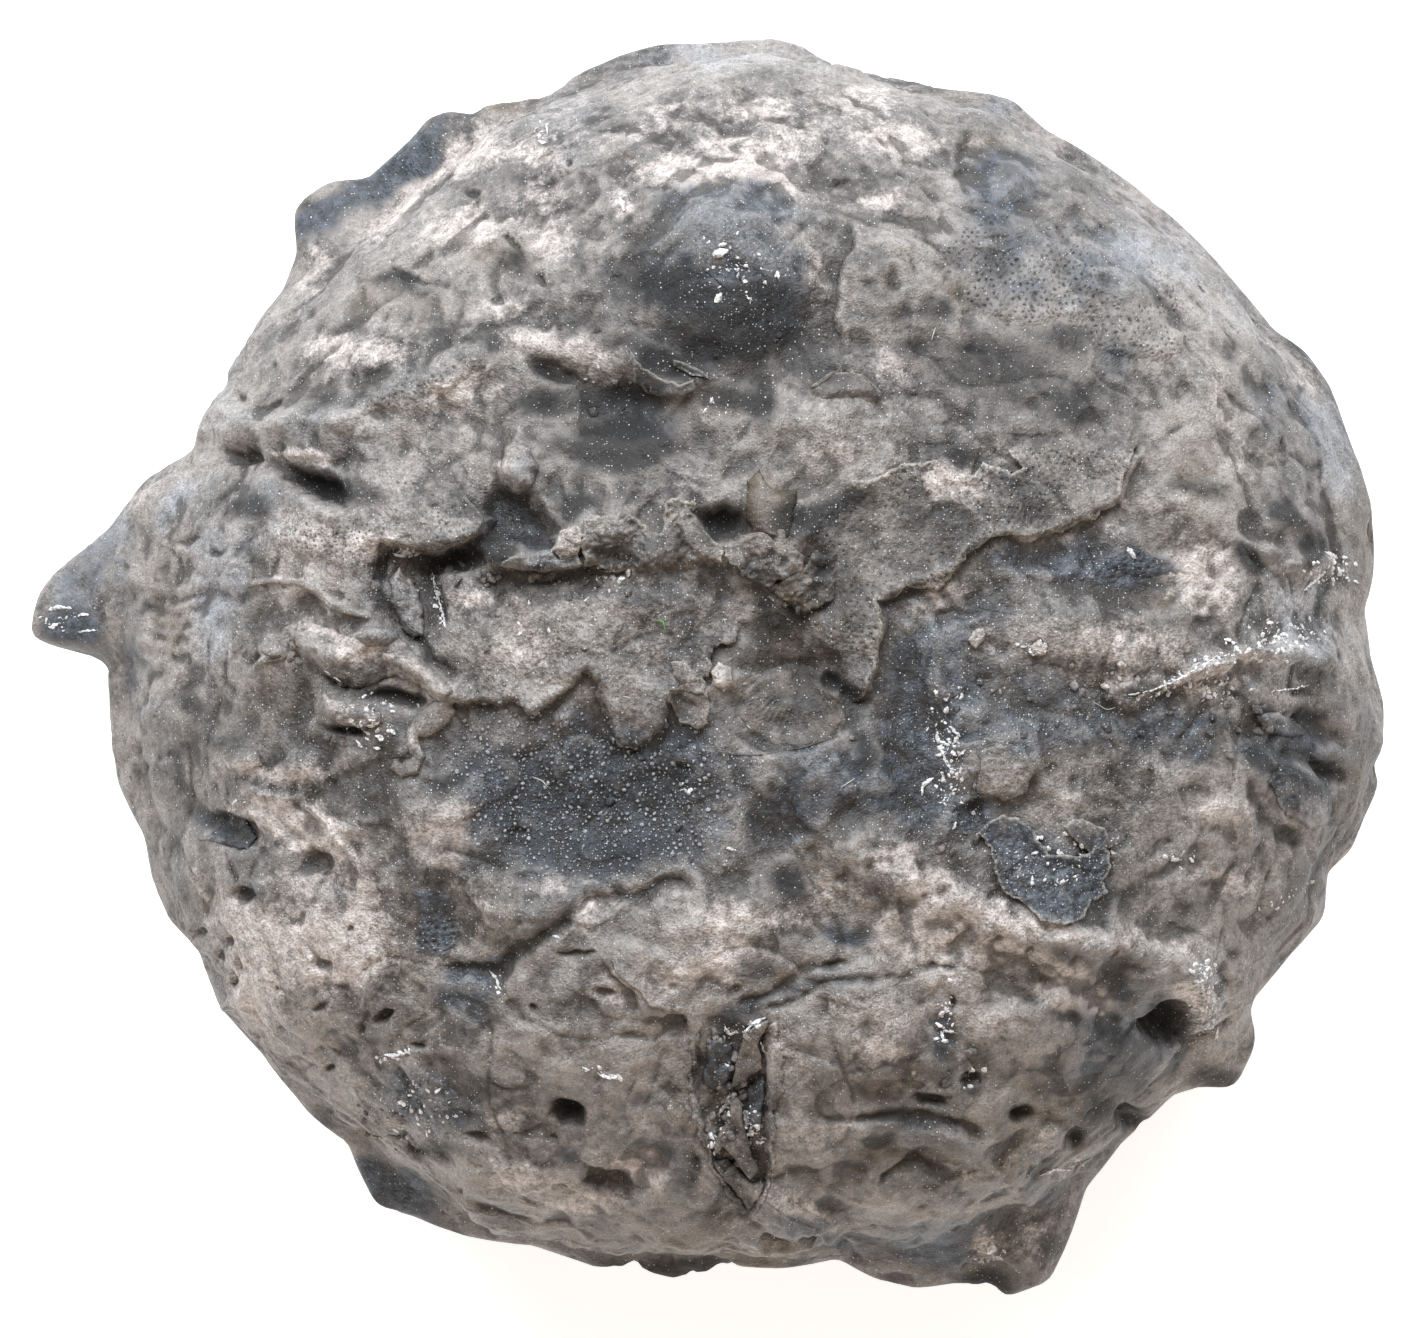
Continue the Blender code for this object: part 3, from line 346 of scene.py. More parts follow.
def ovals(x, y, forms, steepness):
    """Summed height of rounded forms, each an oval whose sides are as steep as its steepness says."""
    height = np.zeros(len(x))
    for centre_x, centre_y, half_length, half_width, degrees, rise in forms:
        near = around(x, y, [(centre_x, centre_y)], 2.4 * max(half_length, half_width))
        turn = math.radians(degrees)
        dx = x[near] - centre_x
        dy = y[near] - centre_y
        u = (dx * math.cos(turn) + dy * math.sin(turn)) / half_length
        v = (dy * math.cos(turn) - dx * math.sin(turn)) / half_width
        height[near] += rise * np.exp(-((u * u + v * v) ** steepness))
    return height


def bands(x, y):
    height = np.zeros(len(x))
    for half_width, rise, places in BANDS:
        near = around(x, y, places, 3 * half_width)
        distance, _, _ = beside(x[near], y[near], places)
        height[near] += rise * np.exp(-((distance / half_width) ** 2))
    return height


def ledges(x, y):
    """Steps that are steep at their line and die away behind it, and at both of its ends."""
    height = np.zeros(len(x))
    for rise, drop, places in LEDGES:
        near = around(x, y, places, 9.0)
        distance, side, from_end = beside(x[near], y[near], places)
        behind = rise * np.exp(-distance / LEDGE_REACH[0])
        below = -drop * np.exp(-distance / LEDGE_REACH[1])
        mix = smooth_step(0.5 + side * distance / (2 * LEDGE_SHARPNESS))
        height[near] += (mix * behind + (1 - mix) * below) * smooth_step(from_end / LEDGE_FADE)
    return height


def wandered(x, y):
    """Where each place on the cup is in the tables of its forms; everything wanders a little from them."""
    flat = np.column_stack([x, y, np.zeros(len(x))])
    off_x = WANDER * noise_at(flat + (40.0, 0.0, 0.0), WANDER_SIZE)
    off_y = WANDER * noise_at(flat + (0.0, 40.0, 0.0), WANDER_SIZE)
    return x + off_x, y + off_y


def settled(x, y):
    """The other way round: where on the cup a place in the tables comes to lie."""
    here_x = x
    here_y = y
    for _ in range(3):
        there_x, there_y = wandered(here_x, here_y)
        here_x = here_x + x - there_x
        here_y = here_y + y - there_y
    return here_x, here_y


def cup_relief(points):
    """Height of the crusts, ledges, lumps and pits above the plain cup."""
    x, y = wandered(points[:, 0], points[:, 1])
    flat = points * (1.0, 1.0, 0.0)
    for size, shift in FINE_WANDER:
        x += shift * noise_at(flat + (5.0 * size, 0.0, 0.0), size)
        y += shift * noise_at(flat + (0.0, 5.0 * size, 0.0), size)
    height = ovals(x, y, LUMPS, LUMP_STEEPNESS) - ovals(x, y, HOLLOWS, HOLLOW_STEEPNESS)
    broken = 1.0 + 0.75 * noise_at(flat + 60.0, 1.7) + 0.35 * noise_at(flat + 70.0, 0.6)
    height += (bands(x, y) + ledges(x, y)) * broken.clip(0.1, 1.5)
    for size, rise in CRUST_LUMPS:
        height += rise * noise_at(points + 20.0 * size, size)
    for size, edge, rise in FLAKES:
        height += rise * smooth_step((noise_at(points + 90.0 * size, size) - edge) / FLAKE_EDGE + 0.5)
    height -= CRACK_DEPTH * np.exp(-((noise_at(points + 55.0, CRACK_SPACING) / CRACK_WIDTH) ** 2))
    return height


def mouth_relief(points):
    """Low plates on the mouth side, with a shallow socket where each arm was joined."""
    depth, width = PLATE_GROOVE
    height = np.full(len(points), -depth)
    for i, place in enumerate((points / MOUTH_PLATE).tolist()):
        distances, _ = noise.voronoi(place)
        height[i] += depth * min(1.0, (distances[1] - distances[0]) / width)
    for degrees in SOCKET_ANGLES:
        turn = math.radians(degrees)
        dx = points[:, 0] - AXIS_X - SOCKET_RING * math.cos(turn)
        dy = points[:, 1] - AXIS_Y - SOCKET_RING * math.sin(turn)
        height -= SOCKET_DEPTH * np.exp(-((dx * dx + dy * dy) / SOCKET_RADIUS**2) ** 2)
    for size, rise in MOUTH_LUMPS:
        height += rise * noise_at(points + 20.0 * size, size)
    return height


def flange_thickness(angle):
    """Half the flange's thickness: thin at the spine, thick at the broken knob."""
    thickness = np.full(len(angle), FLANGE_THICKNESS)
    for degrees, spread, there in (LEFT_SPINE, BROKEN_KNOB):
        off = np.abs(np.degrees(angle) - degrees)
        thickness += (there - FLANGE_THICKNESS) * np.exp(-((np.minimum(off, 360 - off) / spread) ** 2))
    return thickness


def sloping_side(angle):
    """How much the flange slopes up into the cup: fully at its left and right, not at all elsewhere."""
    degrees = np.degrees(angle)
    left = 180 - np.abs(degrees)
    right = np.abs(degrees + 8)
    return np.maximum(smooth_step((52 - left) / 16), smooth_step((44 - right) / 14))


def past(along, change):
    """0 up to where a change begins, then rising to 1 over its length."""
    begin, length = change
    return smooth_step((along - begin) / length)


def ring_places(radius, angle, level):
    """Places at a radius and an angle around the cup's axis."""
    return np.column_stack([AXIS_X + radius * np.cos(angle), AXIS_Y + radius * np.sin(angle), level])


def stone_points(directions):
    """Where each point of an even sphere goes on the fossil."""
    along_table, reach_table, level_table = profile()
    step = np.hypot(np.gradient(reach_table * TYPICAL_RADIUS), np.gradient(level_table))
    share = np.cumsum(reach_table * step * np.where(along_table < 1.0, CUP_FINENESS, 1.0))
    share = (share - share[0]) / (share[-1] - share[0])
    along = np.interp((1.0 - directions[:, 2]) / 2.0, share, along_table)
    angle = np.arctan2(directions[:, 1], directions[:, 0])
    reach = np.interp(along, along_table, reach_table)
    level = np.interp(along, along_table, level_table)
    slope_out = np.gradient(reach_table * TYPICAL_RADIUS)
    slope_up = np.gradient(level_table)
    length = np.hypot(slope_out, slope_up)
    normal_out = np.interp(along, along_table, -slope_up / length)
    normal_up = np.interp(along, along_table, slope_out / length)

    edge = [(r * math.cos(math.radians(d)), r * math.sin(math.radians(d))) for d, r in CUP_EDGE]
    cup = radius_around(edge, 400)(angle)
    outline = radius_around([(x - AXIS_X, y - AXIS_Y) for x, y in OUTLINE], 6)(angle)
    cup = np.minimum(cup - CUP_INSET, outline - CUP_INSET)
    flange = outline - FLANGE_INSET - cup * np.interp(-FLANGE_LEVEL, -level_table, reach_table)
    blend = sloping_side(angle) * (level > FLANGE_LEVEL)
    spread = flange_thickness(angle) * (1.0 + 1.1 * blend)
    swell = np.exp(-(np.abs((level - FLANGE_LEVEL) / spread) ** (FLANGE_BLUNTNESS - 2.4 * blend)))
    radius = cup * reach + flange * swell
    points = ring_places(radius, angle, level)

    on_cup = 1.0 - past(along, CUP_ENDS)
    on_mouth = past(along, MOUTH_BEGINS) * (1.0 - WORN_AWAY * past(along, WORN_BEGINS))
    relief = np.zeros(len(points))
    up = on_cup > 0
    down = on_mouth > 0
    relief[up] += on_cup[up] * cup_relief(points[up])
    relief[down] += on_mouth[down] * mouth_relief(points[down])
    radius += relief * normal_out
    over = (radius - outline + EDGE_MARGIN) / EDGE_MARGIN
    radius = np.where(over > 0, outline - EDGE_MARGIN + EDGE_MARGIN * np.tanh(over), radius)
    return ring_places(radius, angle, level + relief * normal_up)


def positions(mesh):
    values = np.empty(len(mesh.vertices) * 3)
    mesh.vertices.foreach_get("co", values)
    return values.reshape(-1, 3)


def finished_mesh(holder):
    """An object's mesh with its modifiers applied; the object and its own mesh are thrown away."""
    made = bpy.data.meshes.new_from_object(holder.evaluated_get(bpy.context.evaluated_depsgraph_get()))
    mesh = holder.data
    bpy.data.objects.remove(holder)
    bpy.data.meshes.remove(mesh)
    return made


def make_stone():
    """The displaced sphere, thinned where it is smooth, kept within the frame's box."""
    mesh = bpy.data.meshes.new("stone")
    shape = bmesh.new()
    bmesh.ops.create_icosphere(shape, subdivisions=SPHERE_LEVEL, radius=1.0)
    shape.to_mesh(mesh)
    shape.free()
    mesh.vertices.foreach_set("co", stone_points(positions(mesh)).ravel())
    mesh.update()
    holder = bpy.data.objects.new("full_stone", mesh)
    bpy.context.scene.collection.objects.link(holder)
    fewer = holder.modifiers.new("fewer triangles", "DECIMATE")
    fewer.ratio = STONE_TRIANGLES / len(mesh.polygons)
    thinned = finished_mesh(holder)
    low, high = (np.array(corner) / MM for corner in cad_box)
    points = np.clip(positions(thinned), low + BOX_MARGIN * np.array((1, 1, 0)), high - BOX_MARGIN)
    thinned.vertices.foreach_set("co", points.ravel())
    thinned.update()
    return thinned, points


stone_mesh, stone_places = make_stone()

# How the stone is stained and where light is painted on it, as (x, y, half length, half width, degrees
# turned, strength): chalky cream patches, blue-grey slate, near-black dark patches with painted shadow in
# hollows, pits and under the lips, olive brown, a cloudy pale veil with painted sheen, and grain speckled
# with pale crystals and painted glints
STAINS = {
    "cream": [
        (-11.9, 21.8, 1.9, 1.1, 10, 1), (-26.2, 12, 1, 1, 0, 0.4), (-8.3, 17.3, 0.9, 0.6, 0, 0.4),
        (3.2, 24.2, 1.7, 0.8, 0, 0.95), (5.2, 19.4, 0.8, 1.4, 20, 0.8), (12.2, 8.9, 1.4, 1, 0, 0.9),
        (24.8, 3.6, 1.5, 1, 0, 0.9), (16.8, 6.3, 3.2, 0.7, 10, 0.7), (14.2, 10.2, 1.2, 0.9, 0, 0.5),
        (19.4, -0.8, 2, 0.8, 0, 0.4), (26, -10.4, 1.7, 1.1, 0, 0.7), (10, -12.3, 1.3, 1.3, 0, 0.5),
        (15.4, -14.2, 2.6, 0.8, -12, 0.7), (18.4, -15.2, 1.4, 0.6, -20, 0.5), (-0.7, -15.2, 1.6, 1, 0, 0.6),
        (-8.4, -13.6, 1.8, 0.6, 20, 0.4), (-5, -2.6, 1.5, 1.2, 0, 0.5), (-8.4, 1.2, 2, 0.8, 0, 0.4),
        (-17.3, -11.4, 0.8, 1.9, 0, 0.6), (-22, -15, 2, 1.5, 0, 0.4), (-13, -9, 1.5, 1.1, 0, 0.7),
        (-14, -3.6, 1.2, 1, 0, 0.4), (-19, 2.4, 2.6, 0.8, -20, 0.6), (-12.8, 13, 0.7, 0.6, 0, 0.4),
        (-3.2, -24.6, 1, 0.8, 0, 0.4), (-6.2, -26.3, 2.8, 1, 0, 0.4), (-25.4, -14.6, 1.3, 1.5, 0, 0.4),
        (0, 26.5, 13, 2.6, 0, 0.25), (-11.5, 25.5, 2, 1, 30, 0.7), (-15.5, 22.6, 2.4, 0.5, 35, 0.8),
        (-19.5, 19.3, 1.3, 0.5, 45, 0.5), (-20.8, 17.2, 1, 0.3, 35, 0.6), (-17.6, 15.6, 2.6, 0.8, -3, 0.8),
        (-13, 13.4, 1.7, 0.7, 20, 0.6), (-8, 23, 1.7, 1.4, 0, 0.4), (-7.6, 21, 1.4, 0.9, 0, 0.6),
        (-4.2, 22.8, 0.7, 0.8, 0, 0.8), (-1, 24.3, 2.4, 0.9, 0, 0.8), (1.8, 25.6, 2.2, 0.9, 0, 0.45),
        (4.6, 26, 2, 0.9, 0, 0.3), (-3.4, 26.3, 1.6, 0.5, 0, 0.3), (7.8, 28, 2.2, 0.7, 0, 0.5),
        (9.8, 26.2, 2.6, 0.9, -10, 0.55), (8.8, 23.3, 1.4, 0.5, 15, 0.7), (8.2, 20.4, 1.3, 1.6, 0, 0.3),
        (-15.6, 17, 2.4, 0.8, 0, 0.3), (-10, 17.6, 1.6, 0.7, 20, 0.55), (-5.8, 15.2, 1.3, 1, 0, 0.6),
        (-8.4, 15.9, 1.5, 0.8, 0, 0.8), (-3, 17.4, 0.8, 0.8, 0, 0.4), (-11.6, 13.6, 1.6, 0.8, 0, 0.5),
        (0.2, 12.4, 1.6, 0.5, 0, 0.7), (5.4, 12.8, 2.6, 1.2, 0, 0.2), (6.6, 10.4, 1.6, 0.7, 10, 0.6),
        (9.4, 14.6, 1.8, 1.4, -20, 0.5), (-0.6, 9.6, 1.8, 1, 0, 0.3), (25.2, 13, 1.2, 3, 0, 0.4),
        (30, 14.6, 1.2, 1, -50, 0.5), (24.6, 4.9, 1.8, 1.1, 0, 1), (22.4, 7.8, 2.6, 1.6, 0, 0.3),
        (20, 1, 4.6, 1.4, -6, 0.55), (26.6, 10, 1.2, 1.2, 0, 0.4), (25.6, -7.4, 1.6, 0.8, 0, 1),
        (17.8, -6.7, 0.8, 0.5, 0, 0.6), (10.8, -11, 3, 1.1, -28, 0.6), (16.4, -12.9, 3.6, 0.8, -14, 0.85),
        (22.2, -13.6, 2.6, 0.8, -15, 0.7), (12.4, -14.4, 2.8, 1.7, -20, 0.5),
        (17.2, -16.7, 2.2, 0.8, -15, 0.55), (14, -17.8, 2, 1.3, 0, 0.35), (13.2, -25, 1.6, 0.8, 0, 0.35),
        (16.7, -23.8, 0.9, 0.8, 0, 0.45), (0.6, -12.6, 2.2, 1.3, 0, 0.75), (1, -14.4, 1.8, 1, 0, 0.6),
        (-2, -14.8, 1.2, 0.9, 0, 0.5), (3.6, -12.5, 1.7, 0.8, 0, 0.6), (6.6, -11.2, 1.2, 1.2, 0, 0.6),
        (10, -13.2, 1.9, 1.4, 0, 0.7), (8.6, -17, 3, 1.4, 0, 0.42), (8.4, -19, 1.8, 0.8, 0, 0.7),
        (9.6, -9.2, 1.4, 0.7, 0, 0.7), (5, -23.2, 1.6, 1, 0, 0.6), (6.8, -22.6, 0.7, 0.9, 0, 0.4),
        (4.4, -19.6, 0.6, 1.7, 20, 0.5), (-10.6, -12.4, 2, 1.5, 0, 0.3), (-9.4, -25.2, 1.8, 1, 0, 0.55),
        (-3.3, -24.9, 1.8, 1, -30, 0.65), (-6, -26.8, 2.4, 0.6, 0, 0.35), (4.7, -27.2, 2.2, 0.7, -30, 0.9),
        (2.8, -28.6, 2, 0.8, -20, 0.35), (8.8, -26.8, 1, 0.8, 0, 0.35), (-18.2, -13.6, 3.4, 1.6, -8, 0.95),
        (-22.6, -13.2, 2.4, 1, 0, 0.6), (-22.3, -16.6, 1.4, 2, 20, 0.65), (-18.4, -15.4, 2, 1, 0, 0.7),
        (-24.4, -12.2, 2, 0.8, 0, 0.25), (-21.2, -7.8, 2.4, 1.2, -14, 0.95),
        (-18.8, -8.3, 1.8, 0.9, -20, 0.8), (-21.6, -5.3, 1.8, 0.5, -15, 0.7), (-19.9, -4.9, 1, 0.8, 0, 0.5),
        (-13.2, -7.2, 2, 1.4, 0, 0.42), (-13.6, -8.9, 1.5, 0.9, 0, 0.55), (-20.4, 5.2, 2.2, 1.7, -15, 0.4),
        (-19.2, 6.8, 2.4, 0.8, -20, 0.3), (-27, 2, 1, 2.6, 0, 0.22), (-14.6, 8.6, 1.8, 0.9, 0, 0.25),
        (-20.2, -10.8, 2, 1, 0, 0.4), (-25, -10.6, 2, 1, 0, 0.25), (-5.6, -11.9, 1.9, 0.6, 30, 0.8),
        (-28.4, 8.4, 1.2, 0.7, 45, 0.5), (28.4, -13.2, 1.6, 0.4, 20, 0.3), (-16.4, 6, 1.4, 0.6, 0, 0.9),
        (-14.5, 4.8, 0.8, 0.8, 0, 0.8), (-18.6, -10.2, 1, 1.4, 0, 0.4), (-12.4, -11.6, 1.2, 1, 0, 0.6),
        (-12, -7.4, 1.4, 0.8, 0, 0.4), (-4, 4.3, 1.6, 0.5, 0, 0.45), (11.9, 3.9, 1.6, 0.9, 20, 0.6),
        (26.4, -0.3, 2.4, 0.7, 12, 1), (23.4, -1.1, 1.4, 0.4, 15, 0.6), (18.5, -16.5, 1.9, 0.9, -25, 1),
        (14.4, -14.2, 1.4, 0.6, -10, 0.4), (24.2, -16.8, 1.5, 0.9, -20, 0.9), (-2, 27.4, 1.2, 0.7, 0, 0.4),
        (2.2, 27.4, 1.4, 0.8, 0, 0.4), (-19.8, 10.3, 1.8, 0.5, -5, 0.9), (-12.9, 12.8, 0.8, 0.7, 0, 0.5),
        (-9.9, 9.2, 1.3, 0.8, 30, 0.7), (-2.5, 17.1, 0.9, 0.7, 0, 0.9), (20.6, 7.8, 1.2, 0.5, 25, 0.4),
        (-14.6, 24.3, 2, 0.6, 30, 0.8), (-19.4, 20.6, 0.8, 0.9, 0, 0.4), (14, -28.8, 0.8, 0.7, 0, 0.8),
        (16.6, -28.6, 1, 1.4, 0, 0.45), (-4.4, -16.2, 1.2, 1, 0, 0.7), (20.9, -2.6, 1.2, 0.7, 0, 0.6),
        (13.6, 0.9, 1, 0.8, 0, 0.4), (-16.8, 0.6, 1.3, 0.8, 0, 0.7), (-11.6, 3.3, 1, 0.8, 0, 0.6),
        (20.4, -21.9, 1, 0.6, 0, 0.5), (-10.2, -22.4, 1.8, 0.8, 0, 0.45), (-8.4, 25.4, 1.2, 0.7, 0, 0.5),
        (-7.4, -10.8, 1.6, 0.5, 15, 0.5),
    ],
    "slate": [
        (1.4, 19, 5.2, 4.6, 0, 0.85), (1.4, 22.8, 3.6, 1, 0, 0.6), (16, 20.6, 5, 3.6, 0, 0.35),
        (14.6, 24, 1.7, 2.2, 0, 0.7), (15.4, 24.2, 1.2, 0.9, 0, 0.6), (20.6, 15.2, 1.4, 0.9, 0, 0.6),
        (28.4, 13, 2.6, 2.6, 0, 0.5), (29, 9, 2.4, 1.6, 0, 0.45), (-17, 24, 3, 1, 30, 0.95),
        (-14.4, 26, 2.4, 1.2, 45, 0.95), (-19.6, 22, 1.3, 1.6, 0, 0.7), (-6.8, 25.6, 1.8, 1.4, 0, 0.3),
        (-15, 14.4, 3, 0.9, 25, 0.35), (-21, 11.4, 3.6, 0.5, 0, 0.3), (-9.2, 9.6, 1.2, 1.4, 0, 0.7),
        (-9, 6.9, 2.4, 1.1, -30, 0.95), (-3.6, 12.2, 2.6, 1.2, -10, 0.7), (-2.2, 10.2, 2.4, 1.4, 0, 0.3),
        (-22.4, 8.5, 2.2, 1.2, -10, 0.6), (-23.4, 5.6, 1.3, 0.8, 0, 0.35), (-14.4, 3.6, 1.6, 2.6, 10, 0.15),
        (-14.6, -3.6, 1.6, 1.6, 0, 0.4), (-5, -6.2, 8.4, 4.6, 3, 1), (7, -5.6, 3.4, 1.6, -30, 0.65),
        (4.2, -7.4, 1.6, 2.2, -15, 0.75), (10.6, -3, 2.6, 5.6, 6, 0.8), (12.6, 1.8, 4, 1.6, 20, 0.45),
        (17, 5.2, 4, 1.2, 0, 0.65), (20.6, 4.7, 2.6, 0.8, 0, 0.8), (17, -2.4, 6, 2.6, -8, 0.6),
        (29, -4.4, 2.6, 2.8, 0, 0.8), (23.6, -3.4, 3.2, 1.6, 0, 0.5), (17.2, -10.6, 3.6, 2.4, -20, 0.95),
        (13.2, -7.2, 1.2, 1.2, 0, 0.8), (19.2, -17.8, 3, 0.6, -22, 0.5), (21.4, -17.4, 3, 1.6, -40, 0.9),
        (20, -19.6, 3, 1.6, 0, 0.75), (11.6, -18.6, 1, 1.8, 0, 0.8), (7, -13.1, 1.5, 0.8, 0, 0.8),
        (5.6, -15.6, 4, 0.7, 12, 0.6), (1.3, -20.6, 1.5, 3.6, 4, 0.35), (1.6, -17.2, 1.8, 0.9, 0, 0.6),
        (-1.4, -25, 1.4, 2.2, 20, 0.7), (5.4, -28.3, 3, 0.8, -22, 0.85), (11.2, -28.8, 2.4, 1.6, -10, 0.85),
        (16.8, -26.2, 2, 0.7, 15, 0.65), (10.4, -22.2, 3, 0.6, -8, 0.5), (-13.4, -12.6, 1.6, 2.2, 0, 0.3),
        (-10.8, -15.4, 2.4, 0.9, 25, 0.85), (-7.6, -12.6, 2.4, 0.6, 35, 0.4), (-12, -17, 2.4, 2, 0, 0.4),
        (-14, -21.8, 3, 1.8, -10, 0.9), (-15.2, -26.2, 2.4, 1.5, -25, 1), (-17, -25.4, 0.9, 1, 0, 0.8),
        (-6, -25.2, 1.8, 0.8, -35, 0.7), (-3, -21.8, 2.2, 0.8, 0, 0.5), (-23.8, -8.1, 1.7, 0.8, -12, 1),
        (-22.5, -11.3, 0.9, 0.6, 0, 0.9), (-19.7, -9.6, 0.8, 0.6, 0, 0.5), (-32.2, 2, 1.9, 1.3, 0, 0.75),
        (-30.6, 4.6, 1.6, 2.2, -30, 0.5), (-28.5, 0.6, 0.6, 3.4, 0, 0.6), (-26.4, -11, 1.2, 0.5, 20, 0.2),
        (-18.4, 9.6, 2.6, 1, -15, 0.4), (25, -12, 2.4, 0.7, -10, 0.3), (-21.4, 3.4, 1.6, 0.5, -10, 0.25),
        (-3.2, 5.8, 3.2, 0.9, 0, 0.25),
    ],
    "dark_patch_and_shade": [
        (-1, 13.2, 4.4, 3.6, 0, 0.35), (6, 5.6, 3.8, 3.2, 0, 0.2), (12.8, 12.4, 3.6, 3, 0, 0.3),
        (20, 12.6, 3.6, 2.6, 0, 0.25), (6.4, -1.6, 2.8, 2.4, 0, 0.3), (-5, -7, 7, 3.6, 0, 0.2),
        (20.4, -21.4, 3, 2.4, 0, 0.35), (3.2, 15.6, 3.4, 1.4, 0, 0.35), (-2.6, 18.8, 1.5, 1.6, 0, 0.45),
        (-6.6, 11.4, 2.4, 1.5, -10, 0.4), (-3.6, 10.8, 2.2, 0.7, 0, 0.65), (-6.2, 8.8, 1, 1.5, 0, 0.5),
        (1.2, 18.2, 2.4, 0.8, 0, 0.4), (-1.8, 14.6, 1.6, 0.6, -25, 0.8), (3, 12.8, 0.9, 1.6, 0, 0.6),
        (-7, 16.1, 1.1, 0.5, 0, 0.8), (-15.8, 18.8, 1, 0.4, 0, 0.4), (-22.4, 8, 1, 0.7, 0, 0.35),
        (-10.3, 5.8, 0.9, 0.6, 0, 0.9), (-18.8, 13.2, 0.7, 0.4, 0, 0.4), (4.8, 7.2, 2, 0.9, 10, 0.75),
        (6.5, 4.8, 0.9, 1.6, 0, 0.35), (7.3, 2.8, 0.7, 1.5, 0, 0.35), (-1.2, 5.9, 3.2, 0.6, 0, 0.5),
        (1.7, 0.2, 0.9, 0.8, 0, 0.65), (14.4, 14.4, 2.8, 1.3, -10, 0.3), (18, 16.5, 1.6, 0.8, 0, 0.55),
        (18.2, 12.6, 1.3, 1.2, 0, 0.5), (12.4, 10.1, 0.9, 0.6, 0, 0.8), (9.8, 15.6, 0.9, 0.9, 0, 0.5),
        (18, 3, 1.2, 0.6, 0, 0.5), (22.8, 2.3, 1.6, 0.5, -5, 0.5), (27, 5.2, 0.7, 0.9, 0, 0.5),
        (28.6, 7.6, 0.9, 0.8, 0, 0.6), (30, 6, 0.7, 1.3, 0, 0.4), (25.4, -2.8, 1.3, 0.6, -10, 0.8),
        (20.9, -1, 1.2, 0.5, 0, 0.85), (27.6, -5, 2, 0.5, -10, 0.75), (7.8, -4.4, 0.7, 1.8, 0, 0.85),
        (4.6, -11.2, 1.2, 0.8, -30, 0.7), (-3.8, -10.3, 1.4, 0.3, 0, 0.5), (-9.4, -4.4, 1.9, 0.7, 0, 0.3),
        (-23.5, -4, 1.7, 0.7, 0, 0.4), (-17, -2.3, 1.3, 0.4, 0, 0.9), (2.3, -14.9, 1.3, 0.6, 0, 0.8),
        (0.9, -2.6, 0.7, 1.4, 0, 0.6), (19.6, -18, 2, 0.8, -15, 0.6), (18, -14.6, 1.4, 0.4, -20, 0.7),
        (19.3, -22, 1.1, 1.1, 0, 0.35), (9.2, -22.8, 1.4, 0.5, 0, 0.4), (-0.4, -25.6, 0.5, 1.9, 0, 0.5),
        (-13.4, -24, 1.9, 0.7, 0, 0.8), (1, 16.8, 4.2, 2.1, 0, 0.65), (-2, 18.9, 1.6, 1, 0, 0.6),
        (4.6, 19.4, 1.8, 0.8, 0, 0.4), (-5, 13.2, 2.6, 0.8, -8, 0.85), (-7.9, 14.5, 0.9, 0.45, -10, 0.9),
        (0.9, 6.8, 1, 0.8, 0, 0.75), (15, 15.6, 5, 1.6, 0, 0.45), (-19.1, 8.7, 1.7, 0.5, -24, 0.95),
        (-22.8, 10.5, 0.8, 0.3, 0, 0.9), (-17, 8.4, 1.8, 0.7, -10, 0.75), (-11.2, 7.6, 1.4, 0.6, -30, 0.6),
        (-10.4, 6.2, 1, 0.4, -20, 0.7), (-12.8, 5.1, 1.8, 0.5, 5, 0.95), (-15.3, 5.3, 0.7, 0.5, 0, 0.5),
        (-15.4, -1.6, 1.5, 0.35, -6, 0.95), (-17.6, -3.1, 1, 0.3, -10, 0.9), (-18.4, -0.9, 1, 0.2, -18, 0.7),
        (-12.9, 3, 0.3, 0.8, 10, 0.6), (-16.3, 3.8, 0.3, 1.4, -8, 0.9), (-8.2, 4.7, 2.4, 0.25, 2, 0.8),
        (-8.4, 3.2, 1.8, 0.6, 0, 0.6), (6.4, -0.9, 0.6, 0.4, 0, 0.8), (7.3, -1.5, 0.7, 0.35, -20, 0.8),
        (5.5, 5.2, 0.5, 1.6, 0, 0.45), (2.7, 3.2, 0.5, 0.8, 30, 0.7), (3.5, 1.6, 1.9, 1.2, 10, 0.6),
        (10.6, 0.2, 0.9, 1.2, 0, 0.5), (13, -7, 0.7, 0.5, 0, 0.7), (15.2, -7, 0.7, 0.3, 0, 0.6),
        (23, -17.7, 1.6, 1, -35, 0.95), (31, -5, 0.6, 0.6, 0, 0.7), (29.8, -2.4, 1.8, 0.5, -5, 0.7),
        (27.4, -4.6, 0.8, 1.2, 0, 0.5), (29, 7.2, 1.6, 0.8, 0, 0.5), (26.5, 5.4, 1, 0.6, -35, 0.9),
        (-6.8, -21.9, 0.8, 0.6, 0, 0.9), (-5.2, -25.2, 1.2, 0.4, -35, 0.6), (21.2, -22.7, 0.8, 0.5, 0, 0.8),
        (18.2, -23.6, 0.5, 0.5, 0, 0.8), (15.7, -22.4, 0.7, 0.3, 15, 0.9), (12.9, -20.7, 0.9, 0.4, 10, 0.85),
        (11.4, -21.5, 1.2, 0.4, -15, 0.6), (14.2, -31, 2, 0.9, 0, 1), (9.6, -30.7, 1.2, 0.5, 0, 0.7),
        (-3.4, -30.5, 3, 1.1, -8, 1), (0.2, -30.4, 1.8, 0.8, 0, 1), (-23.6, -8.4, 1.3, 0.4, -8, 0.6),
        (-14.8, 19, 1.6, 0.4, -20, 0.5), (-1.4, -5, 0.5, 0.3, 0, 0.7), (-9.4, -8.5, 0.9, 0.3, 0, 0.7),
